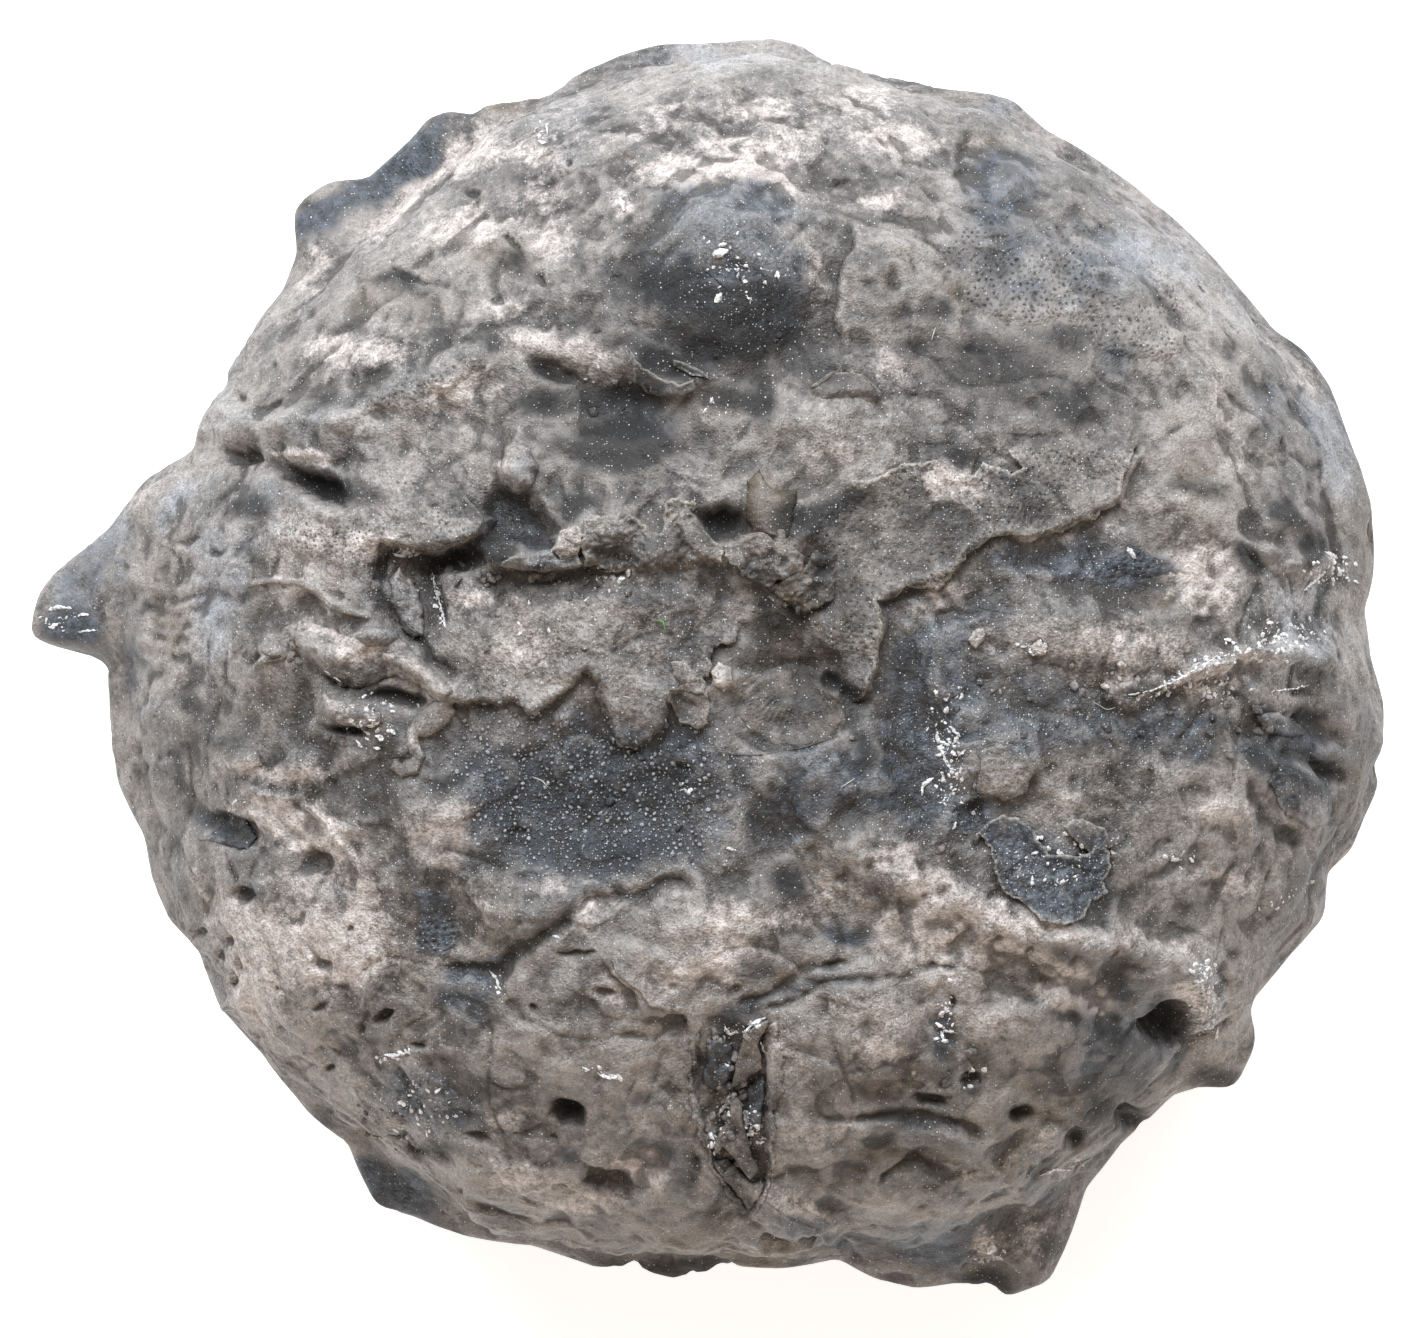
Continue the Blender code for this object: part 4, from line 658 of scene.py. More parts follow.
        (-11.1, -23.2, 0.5, 0.3, 0, 0.8), (-5, -16.1, 0.5, 0.25, 0, 0.7), (-20.2, 23.4, 0.9, 0.6, 0, 0.9),
        (-12.2, -15.2, 0.9, 0.25, -5, 0.8), (28.4, -15, 1.2, 0.5, 40, 0.5), (-24.4, -2.8, 2.4, 1.6, 0, 0.5),
        (-14.4, 1, 2, 0.25, -42, 0.8), (-4.8, 11, 3, 0.9, 10, 0.6), (-2.7, 10.7, 1.5, 0.8, 0, 0.7),
        (-6.6, 7.6, 1.3, 0.7, 0, 0.9), (1.2, 13, 1.6, 0.7, 0, 0.6), (-4, 16, 2.8, 0.5, -32, 0.55),
        (-9.6, 19.8, 1.2, 0.7, -20, 0.8), (-15.4, 18.5, 1.4, 0.6, -10, 0.4), (-22.6, 7.8, 1.6, 0.7, 0, 0.75),
        (-19, 13, 2.4, 0.7, 0, 0.6), (3.8, -10.2, 1.3, 0.9, -10, 0.9), (-11, -4.6, 2.4, 0.6, 35, 0.5),
        (-14.8, -6.4, 0.8, 0.5, 0, 0.4), (30, 5.6, 0.9, 0.9, 0, 0.8), (24.2, 8.7, 2.2, 0.6, 0, 0.8),
        (20.6, -19.6, 1.2, 2.4, 20, 0.35), (19.2, -23, 1.2, 1.2, 0, 0.35), (25.6, -20.5, 1.6, 1, 0, 0.9),
        (22.2, -20, 1, 1.4, 0, 0.4), (16, 12.8, 2.6, 1.1, 0, 0.3), (1.6, 18.4, 3.4, 1, -10, 0.3),
        (29.8, -5.8, 1.6, 0.7, -30, 0.7), (-28.4, 4.4, 0.5, 0.8, 0, 0.4), (-5, -5.8, 6.6, 3.2, 3, 0.4),
        (-6.4, -9.2, 3.4, 0.9, 0, 0.35), (25.8, 15.4, 0.8, 0.9, 0, 0.7), (-1.2, -24.6, 1.2, 1.8, 20, 0.5),
        (5.6, -25.4, 1.6, 0.7, 0, 0.45), (9.4, -22.1, 2.6, 0.4, -3, 0.6), (8, -24.8, 1.6, 0.6, 0, 0.35),
        (8.4, -28.6, 2, 1, -15, 0.4), (6.4, -20.9, 2.6, 0.6, 0, 0.35), (-9.6, -21.4, 2.4, 0.8, 0, 0.3),
        (12.4, -24.2, 2.4, 0.7, -10, 0.3), (7.2, -13.2, 1.4, 0.8, 0, 0.5), (6.6, 8.2, 1.8, 0.6, 0, 0.6),
        (3.6, 2, 1.8, 1.3, 0, 0.4), (-2.2, -9.2, 3.4, 0.8, 10, 0.5), (-16.8, -27, 1.6, 0.6, -25, 0.8),
        (22.6, 20.4, 1.6, 1, -40, 0.35), (11.6, 17.4, 1.2, 0.7, 0, 0.8), (-8.6, 12.9, 1.3, 0.9, 0, 0.8),
        (-4.4, 9.7, 1.4, 0.5, 0, 0.8), (10, 7.4, 0.9, 1, 0, 0.5), (-9.2, -11.4, 1.6, 0.5, 0, 0.5),
        (21.6, 17, 1.6, 0.7, -20, 0.5), (-12.6, -6.1, 1.2, 0.5, 30, 0.6), (-25.7, -1.8, 0.8, 0.9, 0, 0.5),
        (-22.8, 2.2, 1.8, 0.6, -10, 0.6), (14.9, 24.6, 1, 0.5, 0, 0.6), (-2.6, -16.8, 0.9, 0.5, 0, 0.5),
        (-9.5, -18.3, 1.2, 0.5, 0, 0.5),
    ],
    "brown": [
        (9, 19, 1.8, 2.6, 0, 0.4), (-10.4, 20.6, 2, 1, -20, 0.6), (-4, 25.2, 1.3, 0.6, 0, 0.6),
        (-10.6, 28, 1.4, 0.5, 0, 0.9), (12.2, 18.2, 1, 0.7, 0, 0.6), (-16.2, 18.2, 3.2, 1.4, -10, 0.5),
        (3, 7.9, 1, 1.6, 0, 0.8), (-8.4, 15.2, 2.2, 0.6, 5, 0.35), (0.5, 13.2, 1.4, 0.4, 0, 0.6),
        (3.6, 1.8, 1.9, 1.4, 0, 0.8), (24, 9.4, 2.6, 1.6, 0, 0.45), (22.6, 3.2, 2.4, 0.7, 0, 0.45),
        (-27, 2.4, 0.9, 2.4, 0, 0.6), (-21.6, -2.2, 2.6, 1.6, 0, 0.4), (-24.6, -11.6, 2.4, 1.2, 10, 0.5),
        (-23.6, -13.6, 1.8, 0.5, 0, 0.5), (16.4, -22, 4, 2, 0, 0.5), (-10.6, -12.6, 2.2, 1.8, 0, 0.5),
        (-8.8, -9.6, 2, 0.8, 0, 0.4), (-2.4, -19.6, 2, 1.8, 0, 0.3), (-2, -28.6, 7, 1, 0, 0.6),
        (3.6, -29.4, 3, 0.7, 0, 0.7), (10, -24.4, 3, 1.4, 0, 0.45), (14.8, -25, 2.2, 1, 0, 0.5),
        (8, -20.6, 3, 0.9, 0, 0.5), (5.4, -9, 1.8, 1.2, 0, 0.45), (6.4, -24.6, 2.2, 1.2, 0, 0.3),
        (27, -12.4, 3, 1.4, 0, 0.3), (33.2, 6, 1, 4, 0, 0.6), (32.6, -6.6, 1.2, 3, 0, 0.5),
        (-18, 7.4, 2.4, 1.2, -10, 0.3), (-13, -8, 2.4, 2, 0, 0.3), (-17.4, -23.4, 1.2, 0.8, 0, 0.6),
        (-12.2, -26, 1.8, 1.2, -30, 0.5), (-2.4, -26.2, 3.4, 1.2, 0, 0.4), (9, 9.6, 1.2, 0.7, 0, 0.3),
        (7.2, 8.4, 1.2, 0.4, 0, 0.5), (16.8, -4.8, 0.8, 1.2, 0, 0.4), (13.8, 26, 2, 0.8, -10, 0.5),
    ],
    "veil_and_sheen": [
        (25, -16.8, 1.5, 1.8, 0, 0.85), (-18, 10.6, 3, 0.8, 0, 0.4), (-6, 7.4, 1.4, 0.8, 0, 0.4),
        (30.6, 0.8, 2, 1.4, 0, 0.4), (31.2, 11, 1.2, 3.6, 15, 0.7), (-32, 3.4, 1.6, 1.2, 0, 0.6),
        (15.2, -6.4, 1.6, 0.8, 0, 0.3), (-24.4, 2.6, 1.7, 3.4, 0, 0.8), (-26.2, 8, 0.7, 2, -35, 0.8),
        (1, 30.4, 8, 1.2, 0, 0.55), (-29.6, 5, 1.4, 3.6, -15, 0.35), (-7, 27, 2.6, 2.4, 0, 0.45),
        (22.6, 20.4, 3.6, 2.2, -45, 0.5), (26.4, 17.4, 2.4, 1.6, -45, 0.4), (17.4, 20, 4.6, 2.2, 0, 0.4),
        (29, 2.6, 2.4, 2.6, 0, 0.6), (26, -0.7, 2.8, 0.9, 8, 0.8), (1.6, 22.4, 3.4, 1.4, 0, 0.4),
        (-19.6, 12.6, 4, 1.2, 8, 0.35), (-24, 13, 1.6, 3, -28, 0.4), (-28, -0.6, 0.5, 3.4, 0, 0.5),
        (24.6, -9.8, 3.4, 2, 0, 0.35), (-30.6, 6.2, 1.4, 2.2, -40, 0.3), (28, 11.8, 2.4, 3, 0, 0.25),
        (14.8, 28, 1.8, 0.9, -15, 0.5), (-5, -20.6, 1.8, 0.9, 20, 0.35), (19, 26, 3, 1, -28, 0.4),
        (5.4, 21.6, 1.8, 1.4, 0, 0.25), (22.6, -8.4, 2, 1.4, 0, 0.3), (27.6, -14.6, 1.6, 1.6, 0, 0.25),
        (-22.6, 7.6, 2.6, 2.6, 0, 0.4),
    ],
    "grain": [
        (-5, -6.4, 8.4, 5, 3, 1), (14, 0, 7, 5, 0, 0.9), (17, -9.6, 5, 4, 0, 0.9), (12, -4.6, 3, 4, 0, 1),
        (1, -21.6, 3, 5.6, 0, 0.8), (-13.6, -12, 3, 4, 0, 0.8), (2, 20, 5, 4.4, 0, 0.7),
        (-14.4, -22, 3.4, 2.4, 0, 0.8), (26, -0.6, 4, 2, 0, 1), (24.8, -17, 1.8, 2.4, 0, 0.9),
        (-5, 4, 9, 4, 0, 0.5), (12, 10, 9, 5, 0, 0.5), (-18, 8, 7, 6, 0, 0.4), (-20, -3, 6, 6, 0, 0.5),
        (-17, -16, 6, 5, 0, 0.4), (22, -4, 5, 4, 0, 0.6), (-14, 14, 3.6, 2, 20, 0.6),
        (29.6, 3.4, 2.4, 2.4, 0, 0.7),
    ],
}


STAIN_STEEPNESS = 1.3
STAIN_WANDER = 0.55
STAIN_WANDER_SIZE = 1.6
SIDE_WANDER = 0.05
SIDE_WANDER_SIZE = 4.0
SIDES_BEGIN = 20.0
PLAN_ENDS = (7.5, 3.5)
UNDERSIDE_MOTTLE = 7.0


def stains_at(points):
    """How strong each stain is at each place; it follows the plan on top and fades down the sides."""
    level = points[:, 2]
    slide = SIDE_WANDER * (SIDES_BEGIN - level).clip(0, 30)
    x, y = wandered(points[:, 0], points[:, 1])
    x += STAIN_WANDER * noise_at(points + (7.0, 0.0, 0.0), STAIN_WANDER_SIZE)
    x += slide * noise_at(points + 31.0, SIDE_WANDER_SIZE)
    y += STAIN_WANDER * noise_at(points + (0.0, 7.0, 0.0), STAIN_WANDER_SIZE)
    y += slide * noise_at(points + 47.0, SIDE_WANDER_SIZE)
    aloft = past(level, PLAN_ENDS)
    beneath = 1.0 - aloft
    found = {}
    for name, forms in STAINS.items():
        found[name] = aloft * ovals(x, y, forms, STAIN_STEEPNESS).clip(0, 1)
    mottle = noise_at(points + 3.0, UNDERSIDE_MOTTLE)
    found["cream"] += beneath * (0.28 + 0.5 * mottle)
    found["slate"] += beneath * (0.25 - 0.6 * mottle)
    found["brown"] += beneath * 0.35
    found["grain"] += 0.25
    return found


# A height map of the top, to lay the crusts on it and to find its creases and crests
STEP = 0.1
grid_x = np.arange(-35.0, 35.0, STEP)
grid_y = np.arange(-33.0, 33.0, STEP)
plan_x, plan_y = np.meshgrid(grid_x, grid_y)
stone_faces = [tuple(face.vertices) for face in stone_mesh.polygons]
stone_tree = BVHTree.FromPolygons(stone_places.tolist(), stone_faces)
top = np.full(plan_x.shape, np.nan)
reachable = np.hypot(plan_x - AXIS_X, plan_y - AXIS_Y) < 36.0
for row, column in np.argwhere(reachable):
    hit = stone_tree.ray_cast((grid_x[column], grid_y[row], 40.0), (0.0, 0.0, -1.0))
    if hit[0] is not None:
        top[row, column] = hit[0].z
top = np.where(np.isnan(top), 9.0, top)


def softened(heights, spread):
    """The height map with everything narrower than spread smoothed away."""
    rows = np.fft.fftfreq(heights.shape[0], STEP)[:, None]
    columns = np.fft.rfftfreq(heights.shape[1], STEP)[None, :]
    keep = np.exp(-2.0 * (math.pi * spread) ** 2 * (rows**2 + columns**2))
    return np.fft.irfft2(np.fft.rfft2(heights) * keep, s=heights.shape)


def on_map(heights, x, y):
    """The map's height at any places, read between its points."""
    column = ((x - grid_x[0]) / STEP).clip(0, len(grid_x) - 2)
    row = ((y - grid_y[0]) / STEP).clip(0, len(grid_y) - 2)
    c = column.astype(int)
    r = row.astype(int)
    u = column - c
    v = row - r
    near = heights[r, c] * (1 - u) + heights[r, c + 1] * u
    far = heights[r + 1, c] * (1 - u) + heights[r + 1, c + 1] * u
    return near * (1 - v) + far * v


smooth_top = softened(top, 0.12)
creases = (softened(top, 0.9) - softened(top, 0.1)) / 0.35 + (softened(top, 0.3) - top) / 0.12

# What the stone's colours are mixed from, a dark and a pale tone of each or one tone, and how wide
# its blotches, grit and specks are
GREY = [(0.050, 0.043, 0.040, 1), (0.248, 0.216, 0.195, 1)]
BROWN = [(0.050, 0.035, 0.022, 1), (0.150, 0.112, 0.074, 1)]
CHALK = [(0.36, 0.305, 0.275, 1), (0.54, 0.465, 0.430, 1)]
SLATE = [(0.017, 0.020, 0.026, 1), (0.070, 0.080, 0.098, 1)]
# The pale bluish veil colour is partly a cloudy coating and partly painted sheen.
VEIL_AND_SHEEN = (0.29, 0.30, 0.325, 1)
# Painted shade darkens the creases and the stone under the crusts' free edges; a painted highlight pales the
# crests.
CREASE_SHADE = (0.028, 0.023, 0.019, 1)
CREST_HIGHLIGHT = (0.44, 0.40, 0.37, 1)
# NEAR_BLACK is the stone's own dark patches and painted shadow in hollows, under lips and on slopes turned
# from the light.
NEAR_BLACK = (0.015, 0.014, 0.014, 1)
# The pale rim colour is a painted highlight along the crusts' free edges.
EDGE_HIGHLIGHT = (0.38, 0.34, 0.29, 1)
PIT_SHADE = (0.018, 0.016, 0.015, 1)
CALCITE = (0.80, 0.80, 0.81, 1)
SOOT = (0.020, 0.018, 0.017, 1)
# The pale speck colour is pale crystal grains with painted glints.
PALE_SPECK_AND_GLINT = (0.62, 0.62, 0.61, 1)
BLOTCH_SIZE = 2.6
FINE_SIZE = 0.5
GRIT_SIZE = 0.12
BROAD_SIZE = 7.0
SALT_SIZE = 0.22
DUST_SIZE = 0.12
BUMP_HEIGHT = 0.10


def store(mesh, values):
    """Keeps numbers for the material on the mesh, one for each point."""
    for name, numbers in values.items():
        attribute = mesh.attributes.new(name, "FLOAT", "POINT")
        attribute.data.foreach_set("value", np.clip(numbers, -1.0, 1.0).astype(np.float32))


class Wiring:
    """Adds nodes to a tree, each with its inputs given as numbers or as other nodes' outputs."""

    def __init__(self, tree):
        self.tree = tree

    def add(self, kind, inputs=(), **settings):
        node = self.tree.nodes.new(kind)
        for key, value in settings.items():
            setattr(node, key, value)
        for key, value in dict(inputs).items():
            self.give(node.inputs[key], value)
        return node

    def give(self, socket, value):
        if isinstance(value, bpy.types.NodeSocket):
            self.tree.links.new(value, socket)
        else:
            socket.default_value = value


class Finish(Wiring):
    """A material, with the few kinds of node that the finishes here are mixed from."""

    def __init__(self, name):
        self.material = bpy.data.materials.new(name)
        self.material.use_nodes = True
        super().__init__(self.material.node_tree)
        self.shader = self.tree.nodes["Principled BSDF"]
        self.place = self.add("ShaderNodeTexCoord").outputs["Object"]

    def sum(self, *values):
        total = values[0]
        for value in values[1:]:
            total = self.add("ShaderNodeMath", {0: total, 1: value}, operation="ADD").outputs[0]
        return total

    def times(self, first, second):
        return self.add("ShaderNodeMath", {0: first, 1: second}, operation="MULTIPLY").outputs[0]

    def below(self, first, second):
        return self.add("ShaderNodeMath", {0: first, 1: second}, operation="LESS_THAN").outputs[0]

    def noise(self, size, detail, rough):
        inputs = {"Scale": 1.0 / (size * MM), "Detail": detail, "Roughness": rough, "Vector": self.place}
        return self.add("ShaderNodeTexNoise", inputs)

    def cells(self, size):
        return self.add("ShaderNodeTexVoronoi", {"Scale": 1.0 / (size * MM), "Vector": self.place})

    def split(self, colour):
        return self.add("ShaderNodeSeparateColor", {0: colour}).outputs

    def rise(self, value, start, end, low=0.0, high=1.0, kind="SMOOTHSTEP"):
        inputs = {"Value": value, "From Min": start, "From Max": end, "To Min": low, "To Max": high}
        return self.add("ShaderNodeMapRange", inputs, interpolation_type=kind).outputs[0]

    def blend(self, factor, first, second, kind="MIX"):
        inputs = {0: factor, 6: first, 7: second}
        node = self.add("ShaderNodeMix", inputs, data_type="RGBA", blend_type=kind, clamp_factor=True)
        return node.outputs[2]

    def kept(self, name):
        return self.add("ShaderNodeAttribute", attribute_name=name).outputs["Fac"]


def stone_material():
    """Mottled silicified limestone, stained and speckled where the numbers kept on the mesh say."""
    w = Finish("mottled_stone")
    blotch = w.split(w.noise(BLOTCH_SIZE, 3.0, 0.55).outputs["Color"])
    fine = w.noise(FINE_SIZE, 3.0, 0.65).outputs["Fac"]
    grit = w.noise(GRIT_SIZE, 1.0, 0.5).outputs["Fac"]
    ragged = w.sum(w.times(fine, 0.7), w.times(grit, 0.25), -0.475)

    def stain(attribute, channel, start, end, spread=1.0):
        return w.rise(w.sum(w.kept(attribute), w.times(w.sum(channel, -0.5), spread), ragged), start, end)

    broad = w.noise(BROAD_SIZE, 2.0, 0.5).outputs["Fac"]
    tone = w.sum(w.times(blotch[0], 0.9), w.times(fine, 0.5), w.times(broad, 0.8))
    colour = w.blend(w.rise(tone, 0.88, 1.36), *GREY)
    brown = w.blend(fine, *BROWN)
    colour = w.blend(w.times(stain("brown", blotch[1], 0.15, 0.75), 0.85), colour, brown)
    # Pale bluish veil: partly a cloudy coating, partly painted sheen at the rims, along the top edge and on
    # the beads' tops.
    veil_and_sheen = w.times(stain("veil_and_sheen", blotch[2], 0.2, 0.95), 0.65)
    colour = w.blend(veil_and_sheen, colour, VEIL_AND_SHEEN)
    chalk = w.blend(w.rise(fine, 0.3, 0.7), *CHALK)
    colour = w.blend(w.times(stain("cream", blotch[1], 0.18, 0.85), 0.93), colour, chalk)
    slate = w.blend(w.rise(fine, 0.32, 0.72), *SLATE)
    colour = w.blend(w.times(stain("slate", blotch[2], 0.25, 0.8), 0.93), colour, slate)
    # Painted shade in creases and a painted highlight on crests, as the height map's curvature says.
    crease = w.sum(w.kept("crease"), w.times(ragged, 0.5))
    colour = w.blend(w.times(w.rise(crease, 0.0, 1.0), 0.72), colour, CREASE_SHADE)
    colour = w.blend(w.times(w.rise(crease, 0.0, -0.9), 0.2), colour, CREST_HIGHLIGHT)
    # Near-black: the stone's own dark patches and painted shadow in hollows, pits and under the lips.
    dark_patch_and_shade = stain("dark_patch_and_shade", blotch[0], 0.2, 1.0, 0.6)
    colour = w.blend(w.times(dark_patch_and_shade, 0.9), colour, NEAR_BLACK)
    # Painted highlight along the crusts' free edges.
    rim = w.rise(w.sum(w.kept("rim"), w.times(ragged, 0.7)), 0.25, 0.85)
    colour = w.blend(w.times(rim, 0.7), colour, EDGE_HIGHLIGHT)
    pit = w.rise(w.kept("pit"), 0.15, 0.8)
    colour = w.blend(w.times(pit, 0.7), colour, PIT_SHADE)
    colour = w.blend(w.kept("calcite"), colour, CALCITE)
    salt = w.rise(w.noise(SALT_SIZE, 2.0, 0.6).outputs["Fac"], 0.3, 0.7, -0.3, 0.3, "LINEAR")
    salt = w.times(w.kept("grain"), salt)
    mottle = w.rise(w.sum(w.times(grit, 0.7), w.times(fine, 0.5), salt), 0.38, 0.82, 0.7, 1.32, "LINEAR")
    shade = w.add("ShaderNodeCombineColor", {0: mottle, 1: mottle, 2: mottle}).outputs[0]
    colour = w.blend(1.0, colour, shade, "MULTIPLY")

    dust = w.cells(DUST_SIZE)
    pick = w.split(dust.outputs["Color"])
    often = w.sum(w.times(w.kept("grain"), 0.45), 0.14)
    round_grain = w.below(dust.outputs["Distance"], w.times(pick[1], 0.38))
    soot = w.times(round_grain, w.below(w.sum(w.times(often, -0.9), 1.0), pick[0]))
    colour = w.blend(w.times(soot, 0.65), colour, SOOT)
    # Pale specks: pale crystal grains with painted glints.
    speck = w.times(round_grain, w.below(pick[0], often))
    bright = w.rise(pick[2], 0.0, 1.0, 0.15, 0.8)
    colour = w.blend(w.times(speck, bright), colour, PALE_SPECK_AND_GLINT)
    w.give(w.shader.inputs["Base Color"], colour)

    gloss = w.sum(w.times(fine, 0.3), w.times(w.kept("slate"), -0.12), w.times(dark_patch_and_shade, 0.3), 0.44)
    w.give(w.shader.inputs["Roughness"], gloss)
    w.shader.inputs["Specular IOR Level"].default_value = 0.4
    relief = w.sum(w.times(fine, 1.4), w.times(grit, 0.6), w.times(speck, 0.5))
    bump = w.add("ShaderNodeBump", {"Strength": 1.0, "Distance": BUMP_HEIGHT * MM, "Height": relief})
    w.give(w.shader.inputs["Normal"], bump.outputs["Normal"])
    return w.material


def finish_piece(name, mesh, values):
    """Turns a mesh in millimetres into a finished piece of the fossil; calcite keeps its flat faces."""
    store(mesh, values)
    mesh.transform(Matrix.Scale(MM, 4))
    if "calcite" in values:
        mesh.shade_flat()
    else:
        mesh.shade_smooth()
    mesh.materials.clear()
    mesh.materials.append(stone_look)
    piece = bpy.data.objects.new(name, mesh)
    bpy.context.scene.collection.objects.link(piece)
    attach(piece, "root")
    return piece


stone_look = stone_material()
stone_stains = stains_at(stone_places)
aloft = past(stone_places[:, 2], (16.0, 4.0))
# Painted shade in the top's creases and painted highlight on its crests, from the height map's curvature.
stone_stains["crease"] = on_map(creases, stone_places[:, 0], stone_places[:, 1]) * aloft
stone = finish_piece("calyx_stone", stone_mesh, stone_stains)
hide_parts("crinoid_calyx")

# THE CRUSTS
# Skins of lacy moss animals that grew over the cup and turned to stone with it, each about a third of a
# millimetre thick. Their broken edges stand free with a dark line under them, partly their real shadow
# and partly painted shadow on the stone; elsewhere they thin out onto the plates. Every outline is given
# in parts, in order round the skin, each free or buried.
SKIN_STEP = 0.09
SKIN_DEPTH = 0.3
EDGE_BLUR = 0.12
EDGE_SAG = 0.28
UNDERCUT = 0.18
UNDERCUT_REACH = 1.2
BURIED_DEPTH = 0.15
PORE_DEPTH = 0.13
PORE_WANDER = 0.09
EDGE_HIGHLIGHT_REACH = 0.22
EDGE_SHADOW_REACH = 0.2
crust_edges = []
upper = top.copy()


def inside(x, y, loop):
    """Which places lie inside a closed outline."""
    within = np.zeros(len(x), dtype=bool)
    for (x0, y0), (x1, y1) in zip(loop, np.roll(loop, -1, axis=0)):
        if y0 != y1:
            within ^= ((y0 > y) != (y1 > y)) & (x < x0 + (y - y0) * (x1 - x0) / (y1 - y0))
    return within


def nearest_of(places, x, y):
    """Distance from each point to the nearest of some places, and that place."""
    tree = KDTree(len(places))
    for i, (place_x, place_y) in enumerate(places.tolist()):
        tree.insert((place_x, place_y, 0.0), i)
    tree.balance()
    found = [tree.find((a, b, 0.0)) for a, b in zip(x.tolist(), y.tolist())]
    return np.array([hit[2] for hit in found]), np.array([hit[0][:2] for hit in found])


def broken_outline(runs, step, rough):
    """Points round a skin's outline, shaken so that it looks broken, and which of them are free."""
    corners = [place for _, places in runs for place in places]
    kinds = [kind == "free" for kind, places in runs for _ in places]
    line = []
    free = []
    for i, (start, is_free) in enumerate(zip(corners, kinds)):
        end = corners[(i + 1) % len(corners)]
        pieces = max(1, round(math.dist(start, end) / step))
        for k in range(pieces):
            line.append([a + (b - a) * k / pieces for a, b in zip(start, end)])
            free.append(is_free)
    line = np.array(line)
    flat = np.column_stack([line, np.zeros(len(line))])
    for axis, broad, fine in [(0, (3.0, 0.0, 9.0), (8.0, 0.0, 3.0)), (1, (0.0, 3.0, 5.0), (0.0, 8.0, 7.0))]:
        line[:, axis] += rough * (noise_at(flat + broad, 0.9) + 0.8 * noise_at(flat + fine, 0.3))
    return line, np.array(free)


def pits_at(x, y, pitch, radius, seed=1):
    """How deep each place lies in the nearest pit of an uneven lattice: 1 in its middle, 0 outside."""
    chance = np.random.default_rng(seed)
    shift = chance.uniform(-0.28, 0.28, (64, 64, 2))
    size = chance.uniform(0.55, 1.15, (64, 64)) * radius
    depth = np.zeros(len(x))
    for up in (-1, 0, 1):
        for across in (-1, 0, 1):
            row = np.round(y / (0.866 * pitch)).astype(int) + up
            column = np.round(x / pitch - 0.5 * (row % 2)).astype(int) + across
            moved = shift[row % 64, column % 64]
            dx = x - pitch * (column + 0.5 * (row % 2) + moved[:, 0])
            dy = y - 0.866 * pitch * (row + moved[:, 1])
            wide = size[row % 64, column % 64]
            depth = np.maximum(depth, 1.0 - (dx * dx + dy * dy) / wide**2)
    return depth


def deepen(marks, stains, share):
    """Adds to some stains, or takes from them, in full where the share is 1."""
    for stain, amount in dict(stains).items():
        marks[stain] = marks.get(stain, 0.0) + amount * share


